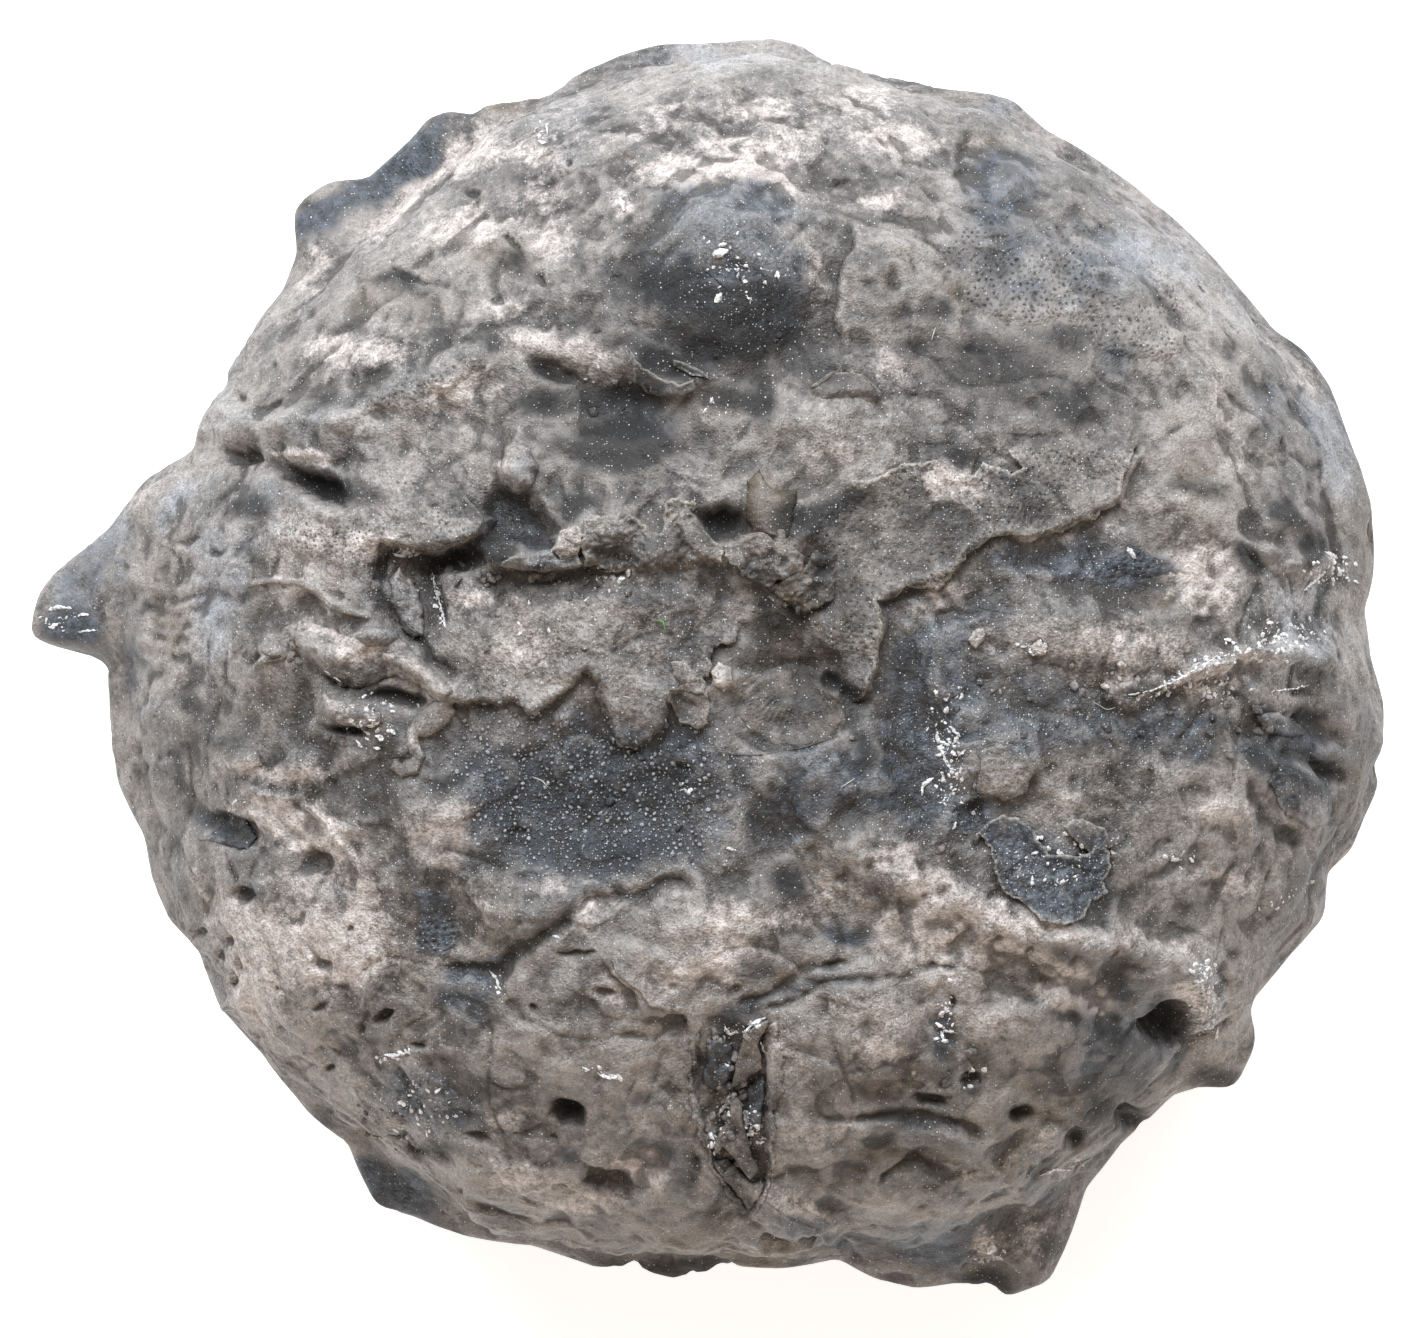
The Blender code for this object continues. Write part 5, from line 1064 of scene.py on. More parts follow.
def skin(name, runs, thickness=0.3, lift=0.0, lift_reach=0.7, fade=1.3, rough=0.13, step=SKIN_STEP,
         pores=0.0, pore_pitch=0.36, grain=0.05, rim=0.6, rounding=0.0, relief=None, stains=()):
    """A closed skin laid on the stone, highest where it is free and sunk where it is buried."""
    line, free = broken_outline(runs, step, rough)
    low = line.min(axis=0)
    high = line.max(axis=0)
    across = np.arange(low[0], high[0], step)
    up = np.arange(low[1], high[1], step * 0.866)
    x, y = np.meshgrid(across, up)
    x[1::2] += step / 2
    chance = np.random.default_rng(len(line))
    x = (x + chance.uniform(-0.2, 0.2, x.shape) * step).ravel()
    y = (y + chance.uniform(-0.2, 0.2, y.shape) * step).ravel()
    within = inside(x, y, line)
    x, y = x[within], y[within]
    to_line, _ = nearest_of(line, x, y)
    x, y = x[to_line > 0.6 * step], y[to_line > 0.6 * step]
    corners = [Vector(place) for place in line.tolist() + np.column_stack([x, y]).tolist()]
    places, _, faces, _, _, _ = delaunay_2d_cdt(corners, [], [list(range(len(line)))], 1, 1e-5, False)
    x, y = np.array([place[:] for place in places]).T
    faces = np.array(faces)
    faces = faces[inside(x[faces].mean(axis=1), y[faces].mean(axis=1), line)]
    count = len(x)

    free_far = np.full(count, 9.0)
    buried_far = np.full(count, 9.0)
    if free.any():
        free_far, _ = nearest_of(line[free], x, y)
    if not free.all():
        buried_far, _ = nearest_of(line[~free], x, y)
    cover = smooth_step(buried_far / fade)
    here_x, here_y = settled(x, y)
    ground = on_map(smooth_top, here_x, here_y)
    flat = np.column_stack([x, y, np.zeros(count)])
    rise = thickness * (1.0 - EDGE_SAG + EDGE_SAG * smooth_step(free_far / EDGE_BLUR))
    rise += lift * np.exp(-((free_far / lift_reach) ** 2))
    if rounding:
        rise *= np.sqrt(1.0 - (1.0 - (free_far / rounding).clip(0, 1)) ** 2) * 0.75 + 0.25
    rise += grain * (noise_at(flat + 2.0, 0.45) + 0.8 * noise_at(flat + 4.0, 0.2))
    pit = np.zeros(count)
    if pores:
        off = PORE_WANDER * noise_at(flat + 8.0, 0.22)
        pit = pits_at(x + off, y - off, pore_pitch, pores)
        pit *= smooth_step(noise_at(flat + 6.0, 2.5) * 1.6 + 0.9)
        rise -= PORE_DEPTH * smooth_step(pit)
    if relief:
        rise += relief(x, y)
    level = ground + cover * rise - BURIED_DEPTH * (1.0 - cover)
    cell_rows = np.round((here_y - grid_y[0]) / STEP).astype(int)
    cell_columns = np.round((here_x - grid_x[0]) / STEP).astype(int)
    np.maximum.at(upper, (cell_rows, cell_columns), level)

    edge_pairs = np.concatenate([faces[:, [0, 1]], faces[:, [1, 2]], faces[:, [2, 0]]])
    keys = edge_pairs[:, 0] * count + edge_pairs[:, 1]
    back = edge_pairs[:, 1] * count + edge_pairs[:, 0]
    rim_pairs = edge_pairs[~np.isin(keys, back)]
    outward = np.zeros((count, 2))
    for i, j in rim_pairs.tolist():
        out = np.array([y[j] - y[i], x[i] - x[j]])
        outward[i] += out
        outward[j] += out
    length = np.hypot(*outward.T)
    _, nearest = nearest_of(line, x, y)
    away = np.column_stack([x, y]) - nearest
    far = np.hypot(*away.T)
    inward = np.where((length > 0)[:, None], -outward / np.maximum(length, 1e-9)[:, None],
                      away / np.maximum(far, 1e-9)[:, None])
    tuck = UNDERCUT * (1.0 - far / UNDERCUT_REACH).clip(0, 1)[:, None] * inward
    low_x, low_y = settled(x + tuck[:, 0], y + tuck[:, 1])
    floor_level = on_map(smooth_top, low_x, low_y) - SKIN_DEPTH

    upper_points = np.column_stack([here_x, here_y, level])
    lower_points = np.column_stack([low_x, low_y, floor_level])
    points = np.concatenate([upper_points, lower_points])
    points[:, 2] = np.minimum(points[:, 2], cad_box[1][2] / MM - 1.5 * BOX_MARGIN)
    i, j = rim_pairs.T
    polygons = faces.tolist() + (faces[:, ::-1] + count).tolist()
    polygons += np.column_stack([i, i + count, j + count, j]).tolist()
    mesh = bpy.data.meshes.new(name)
    mesh.from_pydata(points.tolist(), [], polygons)
    mesh.update()
    marks = stains_at(points)
    # Painted shade and highlight from the creases and crests under the skin.
    marks["crease"] = on_map(creases, points[:, 0], points[:, 1]) * 0.6
    marks["pit"] = np.concatenate([pit * cover, np.zeros(count)])
    # Painted highlight along the skin's free edges.
    marks["rim"] = np.concatenate([rim * np.exp(-((free_far / EDGE_HIGHLIGHT_REACH) ** 2)) * cover, np.zeros(count)])
    deepen(marks, stains, np.concatenate([cover, cover]))
    if free.any() and not rounding:
        crust_edges.append(np.column_stack(settled(*line[free].T)))
    return finish_piece(name, mesh, marks)


skin("east_crust", [
    ("free", [
        (6.9, -1.9), (7.9, -1.5), (8.3, -0.5), (8.4, 0.5), (8.5, 1.2), (8.6, 2.0), (8.5, 2.7), (8.3, 3.1),
        (9.0, 3.2), (9.4, 3.5), (9.8, 3.9), (10.3, 3.95), (11.4, 3.9), (12.0, 4.2), (12.9, 5.2), (13.0, 5.5),
        (13.5, 5.7), (14.0, 6.3), (14.3, 6.5), (16.0, 6.6), (17.0, 6.75), (17.6, 6.6), (18.4, 6.9),
        (19.0, 7.0), (19.3, 7.6), (20.0, 8.0), (20.3, 8.6), (20.5, 9.3), (20.8, 9.8),
    ]),
    ("buried", [(21.5, 11.5), (18.0, 12.0), (15.4, 11.6)]),
    ("free", [
        (14.6, 11.0), (14.9, 10.2), (15.6, 9.6), (15.1, 9.3), (14.2, 9.7), (13.6, 9.9), (13.2, 9.2),
        (12.0, 9.2), (11.2, 9.9), (10.2, 9.7), (9.5, 9.7), (8.5, 9.2),
    ]),
    ("buried", [
        (6.0, 9.0), (4.5, 8.0), (4.0, 6.5), (5.4, 4.6), (5.8, 3.2), (5.4, 2.0), (5.0, 0.6), (5.8, -0.6),
    ]),
], thickness=0.34, lift=0.16, lift_reach=0.45, pores=0.085, rim=0.7,
     stains={"brown": 0.25, "dark_patch_and_shade": 0.12, "grain": 0.3})

skin("sandy_crust", [
    ("buried", [
        (-13.2, -1.4), (-13.0, 1.4), (-12.8, 4.0), (-11.0, 4.5), (-9.0, 4.4), (-6.0, 4.3), (-4.0, 4.4),
        (-2.0, 4.3), (0.0, 4.5), (1.8, 4.2), (2.6, 3.4),
    ]),
    ("free", [
        (2.1, 2.5), (1.6, 1.5), (0.5, 1.1), (0.2, 0.3), (0.0, -0.5), (-0.4, -1.0), (-1.0, -1.5), (-1.8, -1.5),
        (-2.0, -2.2), (-2.3, -3.0), (-2.9, -3.5), (-3.5, -4.0), (-4.1, -3.8), (-4.7, -3.2), (-5.0, -2.6),
        (-5.4, -1.9), (-5.6, -1.2), (-5.4, -0.7), (-6.2, -0.1), (-6.6, -0.9), (-7.0, -1.3), (-7.6, -2.0),
        (-8.3, -2.3), (-8.6, -2.1), (-8.8, -1.8), (-9.3, -1.6), (-9.8, -1.9), (-10.4, -2.0), (-11.2, -1.9),
        (-11.6, -2.1), (-12.4, -1.7),
    ]),
], thickness=0.36, lift=0.14, lift_reach=0.5, rough=0.18, rim=0.5, grain=0.08,
     stains={"cream": 0.05, "grain": 0.5})

skin("lower_tongue", [("free", [
    (-1.9, -1.0), (-2.0, -1.8), (-1.6, -2.6), (-1.2, -3.0), (-0.2, -3.2), (0.25, -2.8), (0.1, -1.9),
    (0.0, -0.8),
])], thickness=0.26, lift=0.1, lift_reach=0.4, rough=0.15, stains={"brown": 0.15})
skin("upper_tongue", [("free", [
    (-1.7, -0.1), (-1.6, -0.7), (-1.2, -1.2), (-0.6, -1.5), (-0.1, -1.4), (0.0, -0.8), (-0.7, -0.3),
    (-1.1, 0.1),
])], thickness=0.6, lift=0.06, rough=0.08, stains={"cream": 0.2})
skin("pink_scab", [("free", [(0.1, -0.1), (0.3, -0.8), (0.8, -1.1), (1.3, -0.7), (1.2, 0.1), (0.6, 0.3)])],
     thickness=0.35, rough=0.12, stains={"cream": 0.6})

skin("wall_sliver", [("free", [
    (-10.2, 4.9), (-9.7, 5.4), (-8.6, 5.4), (-7.8, 5.8), (-7.3, 5.4), (-6.4, 5.6), (-6.2, 4.9), (-7.6, 4.6),
    (-9.2, 4.6),
])], thickness=0.45, lift=0.2, lift_reach=0.3, grain=0.12, rim=0.5, stains={"slate": 0.4, "grain": 0.4})
skin("wall_lump", [("free", [
    (-7.6, 5.9), (-7.2, 6.7), (-6.4, 6.9), (-6.0, 6.2), (-6.4, 5.5), (-7.2, 5.4),
])], thickness=0.75, rough=0.18, grain=0.12, stains={"cream": 0.5, "grain": 0.5})
skin("wall_flap", [("free", [
    (-6.1, 4.8), (-6.2, 6.2), (-5.9, 7.0), (-5.1, 7.4), (-4.3, 7.3), (-3.5, 7.5), (-3.1, 6.9), (-2.8, 6.5),
    (-2.5, 6.3), (-2.2, 6.7), (-2.0, 7.6), (-1.6, 7.9), (-0.9, 7.8), (-0.2, 7.9), (-0.4, 7.2), (0.0, 6.7),
    (0.5, 6.3), (0.9, 5.7), (0.7, 5.2),
]), ("buried", [(0.4, 4.8), (-0.8, 4.4), (-2.4, 4.4), (-3.6, 4.2)]), ("free", [(-4.2, 4.5), (-5.0, 4.6)])],
     thickness=0.42, lift=0.3, lift_reach=0.4, fade=0.6, grain=0.26, rough=0.22, rim=0.65,
     stains={"grain": 0.4, "brown": 0.3, "dark_patch_and_shade": 0.1})
skin("right_flap", [("free", [
    (1.0, 6.0), (1.6, 6.4), (2.4, 6.4), (3.2, 6.1), (3.9, 6.2), (4.6, 5.6), (4.4, 4.9), (3.8, 4.4),
    (2.8, 3.8), (2.2, 4.2), (1.6, 4.5), (1.0, 5.1), (0.9, 5.6),
])], thickness=0.45, lift=0.2, lift_reach=0.4, grain=0.24, rough=0.2, rim=0.4,
     stains={"grain": 0.4, "brown": 0.3, "dark_patch_and_shade": 0.1})
skin("middle_flap", [
    ("free", [(5.6, 6.2), (4.6, 5.2), (3.6, 4.4), (3.2, 3.6), (4.0, 3.2), (4.8, 2.6), (5.4, 2.9)]),
    ("buried", [(6.6, 3.6), (7.2, 5.2), (6.8, 6.4)]),
], thickness=0.4, lift=0.1, fade=0.9, grain=0.2, rim=0.3, stains={"brown": 0.4, "dark_patch_and_shade": 0.15, "grain": 0.3})

skin("west_crust", [
    ("free", [
        (-16.9, 3.6), (-16.5, 4.5), (-16.0, 5.4), (-15.4, 6.0), (-14.8, 5.6), (-14.0, 5.6), (-13.4, 5.3),
        (-12.6, 5.7), (-12.0, 6.0), (-11.3, 6.6), (-11.0, 7.3), (-11.3, 7.9), (-11.8, 8.3),
    ]),
    ("buried", [
        (-12.6, 9.6), (-14.0, 10.8), (-17.0, 10.4), (-18.4, 9.0), (-20.6, 8.2), (-22.6, 7.4), (-22.8, 5.4),
        (-20.6, 4.8), (-18.4, 4.2),
    ]),
], thickness=0.36, lift=0.2, lift_reach=0.5, pores=0.085, fade=1.6, rim=0.5, stains={"grain": 0.2})

skin("pore_field", [("buried", [
    (10.4, 18.4), (11.2, 20.8), (12.6, 22.8), (15.0, 23.4), (18.4, 22.8), (21.6, 21.4), (24.0, 19.2),
    (25.2, 16.8), (23.4, 14.6), (20.4, 14.8), (18.0, 16.4), (15.4, 16.2), (12.4, 17.0),
])], thickness=0.16, pores=0.095, fade=1.0, step=0.08, rough=0.4, stains={"slate": 0.12})
skin("pore_ridge", [("buried", [
    (-18.6, 12.2), (-16.4, 11.9), (-14.4, 12.4), (-12.4, 13.2), (-10.6, 14.0), (-10.4, 15.4), (-12.0, 15.8),
    (-14.2, 15.2), (-16.6, 14.2), (-18.6, 13.4),
])], thickness=0.2, pores=0.09, fade=0.8, step=0.08, rough=0.3, stains={"slate": 0.3})
skin("slate_pores", [("buried", [
    (18.2, 4.4), (19.6, 5.6), (21.4, 5.8), (23.4, 5.6), (24.2, 4.6), (22.4, 3.9), (20.0, 3.8),
])], thickness=0.12, pores=0.1, fade=0.7, step=0.08, rough=0.3, stains={"slate": 0.4})
skin("west_pores", [("buried", [
    (-15.2, -11.0), (-13.2, -10.2), (-12.0, -11.6), (-11.8, -13.6), (-12.8, -15.2), (-14.4, -14.2),
])], thickness=0.12, pores=0.1, pore_pitch=0.33, fade=0.7, step=0.08, rough=0.3, stains={"slate": 0.4})

skin("south_east_crust", [("free", [
    (13.4, -8.2), (13.8, -7.6), (14.6, -7.3), (15.4, -7.5), (16.1, -7.9), (16.4, -8.6), (17.0, -9.2),
    (18.2, -9.2), (19.0, -8.8), (19.6, -9.0), (19.8, -9.8), (19.4, -10.6), (19.9, -11.2), (18.9, -11.7),
    (18.6, -12.4), (17.6, -12.8), (16.6, -12.6), (15.9, -11.9), (15.0, -11.4), (14.4, -10.4), (14.0, -9.4),
])], thickness=0.28, lift=0.16, lift_reach=0.4, pores=0.08, grain=0.08, rim=0.65,
     stains={"slate": 0.45, "grain": 0.5})
skin("square_crust", [("free", [
    (13.2, -6.1), (13.3, -4.4), (14.2, -3.8), (15.8, -3.8), (16.0, -5.0), (15.8, -6.3), (14.6, -6.7),
    (14.0, -6.2),
])], thickness=0.26, lift=0.08, grain=0.08, rim=0.4, stains={"grain": 0.5})
skin("small_crust", [("free", [
    (17.6, -8.0), (18.4, -7.6), (19.4, -8.0), (19.8, -8.8), (18.8, -9.3), (18.2, -8.7),
])], thickness=0.3, lift=0.1, grain=0.1, stains={"slate": 0.3, "grain": 0.6})
skin("east_scab", [("free", [(15.9, 0.9), (16.3, 1.3), (16.8, 0.9), (16.6, 0.5), (16.1, 0.5)])],
     thickness=0.3, rough=0.1, stains={"cream": 0.8})
skin("north_east_scab", [("free", [(12.9, 1.2), (13.1, 1.7), (13.7, 1.7), (13.8, 1.1), (13.3, 0.8)])],
     thickness=0.3, rough=0.1, stains={"cream": 0.7})

skin("north_flake", [("free", [
    (-3.9, 15.7), (-3.5, 15.0), (-3.2, 14.6), (-2.6, 14.2), (-2.1, 13.9), (-1.6, 13.7), (-0.8, 13.9),
    (-0.7, 13.4), (-1.3, 13.1), (-2.2, 13.1), (-3.0, 13.3), (-3.6, 13.9), (-3.9, 14.8),
])], thickness=0.4, lift=0.15, lift_reach=0.3, rim=0.6, stains={"slate": 0.6})
skin("north_chip", [("free", [
    (-1.9, 15.2), (-1.0, 14.8), (-0.2, 14.4), (0.0, 14.1), (-0.9, 14.2), (-1.8, 14.7),
])], thickness=0.3, rough=0.08, stains={"slate": 0.6})
skin("crescent", [
    ("free", [(4.8, 13.9), (6.0, 14.5), (7.1, 14.4), (7.9, 13.8), (8.6, 13.2)]),
    ("buried", [(8.2, 12.6), (7.2, 12.8), (6.2, 13.0), (5.2, 13.1)]),
], thickness=0.4, lift=0.1, fade=0.6, stains={"dark_patch_and_shade": 0.5})
skin("south_crust", [
    ("free", [
        (-4.9, -14.2), (-4.5, -15.0), (-3.9, -15.5), (-3.3, -15.9), (-2.8, -16.3), (-2.5, -16.8),
        (-1.8, -17.0), (-1.3, -17.0), (-0.9, -17.6), (-0.7, -18.4),
    ]),
    ("buried", [(0.3, -17.2), (0.2, -15.4), (-1.4, -13.4), (-3.4, -12.8), (-5.0, -13.2)]),
], thickness=0.26, lift=0.08, lift_reach=0.3, rim=0.55)


def stem_ribs(x, y):
    """The fine ribs that run out from the middle of the facet where the stem was fixed."""
    angle = np.arctan2(y + 0.4, x - 4.6)
    far = np.hypot(x - 4.6, y + 0.4)
    lower = smooth_step((-0.3 - np.sin(angle)) / 0.4)
    ring = smooth_step((far - 1.3) / 0.5) * smooth_step((3.0 - far) / 0.7)
    return 0.05 * np.cos(angle * 54.0) * lower * ring


skin("stem_facet", [("buried", [
    (1.3, -2.2), (2.0, -3.3), (3.2, -4.1), (4.6, -4.4), (6.2, -3.9), (7.2, -2.7), (7.2, -1.6), (6.2, -0.5),
    (4.4, 0.2), (2.8, -0.2), (1.6, -1.0),
])], thickness=0.16, fade=0.5, grain=0.02, rough=0.06, relief=stem_ribs,
     stains={"slate": -0.4, "brown": 0.25})
skin("olive_tooth", [("free", [
    (2.0, 9.1), (2.6, 9.6), (3.2, 8.7), (4.4, 8.7), (4.3, 7.6), (3.9, 6.4), (3.0, 6.3), (2.1, 6.4),
    (2.0, 7.6),
])], thickness=0.5, rounding=0.8, rim=0.0, stains={"brown": 1.0, "cream": -1.0, "veil_and_sheen": -1.0, "dark_patch_and_shade": 0.3})
skin("slate_knob", [("free", [
    (-10.0, 10.6), (-9.3, 10.9), (-8.4, 10.6), (-8.2, 9.4), (-8.5, 8.6), (-9.2, 8.3), (-9.8, 8.8),
    (-10.1, 9.8),
])], thickness=0.6, rounding=0.6, grain=0.08, rim=0.0, stains={"slate": -0.3, "veil_and_sheen": 0.3, "dark_patch_and_shade": -0.8})

# THE ROOTS
# Holdfasts of other sea lilies cling to the cup west of its middle: low rounded lobes and worn stony
# roots. They are one with the stone, and the light catches their rounded backs.


def ribbon(places, widths):
    """The outline of a band that runs through some places, with its half width at each."""
    line = np.array(places)
    along = np.gradient(line, axis=0)
    along /= np.hypot(*along.T)[:, None]
    side = np.column_stack([-along[:, 1], along[:, 0]]) * np.array(widths)[:, None]
    return [("free", (line + side).tolist() + (line - side)[::-1].tolist())]


skin("main_root", [("free", [
    (-20.2, 1.5), (-19.4, 2.0), (-18.2, 1.9), (-17.3, 1.4), (-16.8, 1.9), (-15.9, 1.9), (-15.2, 1.5),
    (-14.7, 0.8), (-14.0, 0.3), (-13.2, -0.2), (-12.5, -0.8), (-11.9, -1.6), (-12.2, -2.0), (-13.0, -1.9),
    (-13.6, -1.5), (-14.2, -1.0), (-15.2, -0.7), (-16.0, -0.9), (-17.0, -1.2), (-18.0, -0.9), (-18.8, -0.5),
    (-19.4, 0.1), (-20.0, 0.7),
])], thickness=0.6, rounding=0.9, grain=0.08, rim=0.0,
     stains={"cream": 0.2, "veil_and_sheen": 0.2, "brown": 0.1, "dark_patch_and_shade": -1, "crease": -0.7})
skin("grey_lobe", [("free", [
    (-17.2, 1.4), (-16.6, 1.9), (-15.7, 1.9), (-15.1, 1.3), (-15.6, 0.8), (-16.6, 0.7),
])], thickness=0.95, rounding=0.5, rim=0.0, stains={"veil_and_sheen": 0.4, "cream": -0.5, "crease": -0.6})
skin("tan_ridge", ribbon(
    [(-16.0, 0.2), (-15.0, 0.1), (-14.0, -0.3), (-13.2, -0.9), (-12.4, -1.5)], [0.3, 0.45, 0.45, 0.55, 0.4],
), thickness=0.95, rounding=0.4, grain=0.1, rough=0.1, rim=0.1,
     stains={"cream": 0.3, "brown": 0.2, "dark_patch_and_shade": -1, "crease": -0.8})
skin("tan_root", [("free", [
    (-19.2, -1.3), (-18.2, -1.5), (-17.0, -1.7), (-16.2, -2.2), (-16.1, -2.8), (-17.0, -3.0), (-18.0, -2.7),
    (-18.9, -2.1),
])], thickness=0.65, rounding=0.6, grain=0.1, rim=0.1,
     stains={"cream": 0.3, "brown": 0.15, "dark_patch_and_shade": -1, "crease": -0.7})
skin("curled_root", ribbon(
    [(-12.2, -2.0), (-13.0, -2.5), (-13.9, -2.9), (-14.5, -3.4), (-14.3, -4.0), (-13.9, -4.5), (-14.2, -5.0),
     (-14.9, -5.2), (-15.5, -4.9)],
    [0.4, 0.7, 0.7, 0.45, 0.36, 0.36, 0.4, 0.36, 0.25],
), thickness=0.6, rounding=0.6, grain=0.04, rough=0.05, rim=0.0,
     stains={"cream": 0.15, "brown": 0.3, "slate": -1, "dark_patch_and_shade": -1, "crease": -0.9})
skin("small_lobe", [("free", [
    (-24.0, -4.4), (-23.0, -3.9), (-22.0, -4.2), (-21.9, -5.0), (-22.8, -5.3), (-23.8, -5.1),
])], thickness=0.35, rounding=0.6, rim=0.1, stains={"cream": 0.2})
skin("slate_shaft", [("free", [
    (-15.6, 4.4), (-15.0, 4.8), (-14.4, 4.2), (-14.0, 2.8), (-14.1, 1.4), (-14.6, 1.2), (-15.1, 1.9),
    (-15.5, 3.0),
])], thickness=0.5, rounding=0.5, grain=0.06, rim=0.1,
     stains={"slate": -0.4, "veil_and_sheen": 0.4, "cream": 0.2, "brown": 0.2, "dark_patch_and_shade": -0.9, "crease": -0.8})
skin("chip_pit_plate", [("free", [
    (-25.3, -8.9), (-24.4, -8.3), (-23.5, -7.3), (-22.8, -7.6), (-22.2, -8.5), (-22.6, -9.1), (-23.9, -9.0),
])], thickness=0.35, rounding=0.5, rough=0.08, grain=0.12, rim=0.0,
     stains={"slate": 0.9, "dark_patch_and_shade": 0.2, "cream": -1.0})
skin("east_lump", [("free", [
    (27.1, -2.5), (28.2, -2.3), (29.4, -2.7), (29.6, -3.3), (28.6, -3.6), (27.4, -3.3),
])], thickness=0.7, rounding=0.5, grain=0.12, rim=0.3, stains={"veil_and_sheen": 0.4, "dark_patch_and_shade": -0.6, "grain": 0.5})
skin("east_lobe", [("free", [
    (28.3, -5.0), (29.8, -5.4), (31.2, -6.3), (31.1, -7.5), (29.8, -8.0), (28.3, -7.0), (27.7, -6.0),
])], thickness=0.5, rounding=0.9, grain=0.2, rim=0.15, stains={"slate": 0.3, "grain": 0.6})
skin("red_knob", [("free", [
    (-2.0, -21.8), (-1.6, -21.3), (-1.0, -21.5), (-0.8, -22.1), (-1.2, -22.7), (-1.9, -22.5),
])], thickness=0.5, rounding=0.5, rim=0.0, rough=0.05, stains={"brown": 1.0, "slate": -0.8})

# The torn cleft south of the middle: its standing rims and the plates that fell into it
skin("cleft_west_rim", ribbon(
    [
        (-0.8, -17.4), (-0.7, -18.8), (-0.65, -20.4), (-0.5, -22.0), (-0.1, -23.6), (0.5, -25.0),
        (1.2, -26.2), (2.0, -27.2),
    ],
    [0.3, 0.2, 0.1, 0.16, 0.22, 0.12, 0.16, 0.2],
), thickness=0.32, rounding=0.2, rough=0.22, rim=0.3, stains={"slate": -0.4, "dark_patch_and_shade": -0.6, "grain": 0.4})
skin("cleft_east_rim", ribbon(
    [(3.1, -17.6), (3.2, -19.0), (3.5, -20.5), (3.5, -22.4), (3.2, -24.4), (2.7, -26.0), (2.4, -27.0)],
    [0.3, 0.34, 0.4, 0.2, 0.14, 0.14, 0.2],
), thickness=0.3, rounding=0.3, rough=0.22, rim=0.1, stains={"slate": -0.4, "cream": 0.15, "grain": 0.3})
skin("cleft_slab", [("free", [
    (0.4, -24.6), (1.0, -24.2), (1.6, -24.6), (2.2, -25.6), (2.7, -25.2), (2.5, -26.4), (2.0, -27.0),
    (1.4, -26.2), (0.9, -25.6),
])], thickness=0.5, rounding=0.3, rough=0.14, grain=0.12, rim=0.2,
     stains={"slate": 0.1, "dark_patch_and_shade": -0.6, "grain": 0.6})
skin("cleft_wedge", [("free", [
    (3.0, -17.4), (2.5, -17.6), (1.9, -18.6), (1.4, -19.8), (1.1, -20.9), (1.9, -20.6), (2.8, -20.1),
    (2.6, -19.0),
])], thickness=0.8, lift=0.15, rough=0.06, rim=0.2,
     stains={"brown": 0.35, "slate": 0.1, "dark_patch_and_shade": -1, "crease": -0.4})
skin("cleft_block", [("free", [
    (-0.2, -18.9), (0.6, -18.3), (1.3, -18.9), (1.1, -20.4), (0.3, -21.2), (-0.3, -20.6),
])], thickness=0.6, rounding=0.3, rough=0.12, grain=0.14, rim=0.2,
     stains={"slate": 0.4, "dark_patch_and_shade": 0.2, "grain": 0.6})
skin("cleft_blade", [("free", [
    (1.2, -21.0), (1.6, -21.4), (2.2, -23.2), (2.5, -24.8), (2.1, -25.4), (1.5, -24.2), (0.9, -23.6),
    (0.5, -24.2), (0.3, -23.4), (0.9, -22.2),
])], thickness=0.75, lift=0.1, rough=0.06, rim=0.3,
     stains={"brown": 0.3, "slate": 0.1, "dark_patch_and_shade": -1, "crease": -0.4})
skin("cleft_plate", [("free", [(1.9, -20.9), (2.9, -20.4), (3.0, -22.4), (2.7, -23.0), (2.3, -22.4)])],
     thickness=0.5, rough=0.08, rim=0.2, stains={"slate": 0.6, "grain": 0.5})

# Painted shadow: a dark line is painted on the stone along the crusts' free edges, on top of its painted
# crease shade.
edge_places = np.concatenate(crust_edges)
edge_far, _ = nearest_of(edge_places, stone_places[:, 0], stone_places[:, 1])
creased = stone_stains["crease"] + 0.7 * aloft * np.exp(-((edge_far / EDGE_SHADOW_REACH) ** 2))
stone.data.attributes["crease"].data.foreach_set("value", creased.clip(-1, 1).astype(np.float32))

# THE BEADS AND CRUMBS
# One crust west of the middle is worn down to rows of stony beads. Crumbs of pale calcite and of the
# crusts themselves have settled in the hollows and stuck along the edges.
MOST_GRAINS = 60.0
FEW_LARGE = 2.6
UNEVENNESS = ((0.55, 0.55, 0.7), (1.35, 1.35, 1.2))
TURNED = (1.2, 1.2, 2 * math.pi)
GROUND_STEP = 0.2
GRAIN_SINK = 0.02
SPOT_STEEPNESS = 1.6


def node_group(title, inputs):
    """An empty group that turns one mesh into another, with these inputs besides the mesh."""
    tree = bpy.data.node_groups.new(title, "GeometryNodeTree")
    mesh_socket = {"name": "Geometry", "socket_type": "NodeSocketGeometry"}
    tree.interface.new_socket(in_out="INPUT", **mesh_socket)
    for name, kind in inputs:
        tree.interface.new_socket(name=name, in_out="INPUT", socket_type="NodeSocket" + kind)
    tree.interface.new_socket(in_out="OUTPUT", **mesh_socket)
    return Wiring(tree)


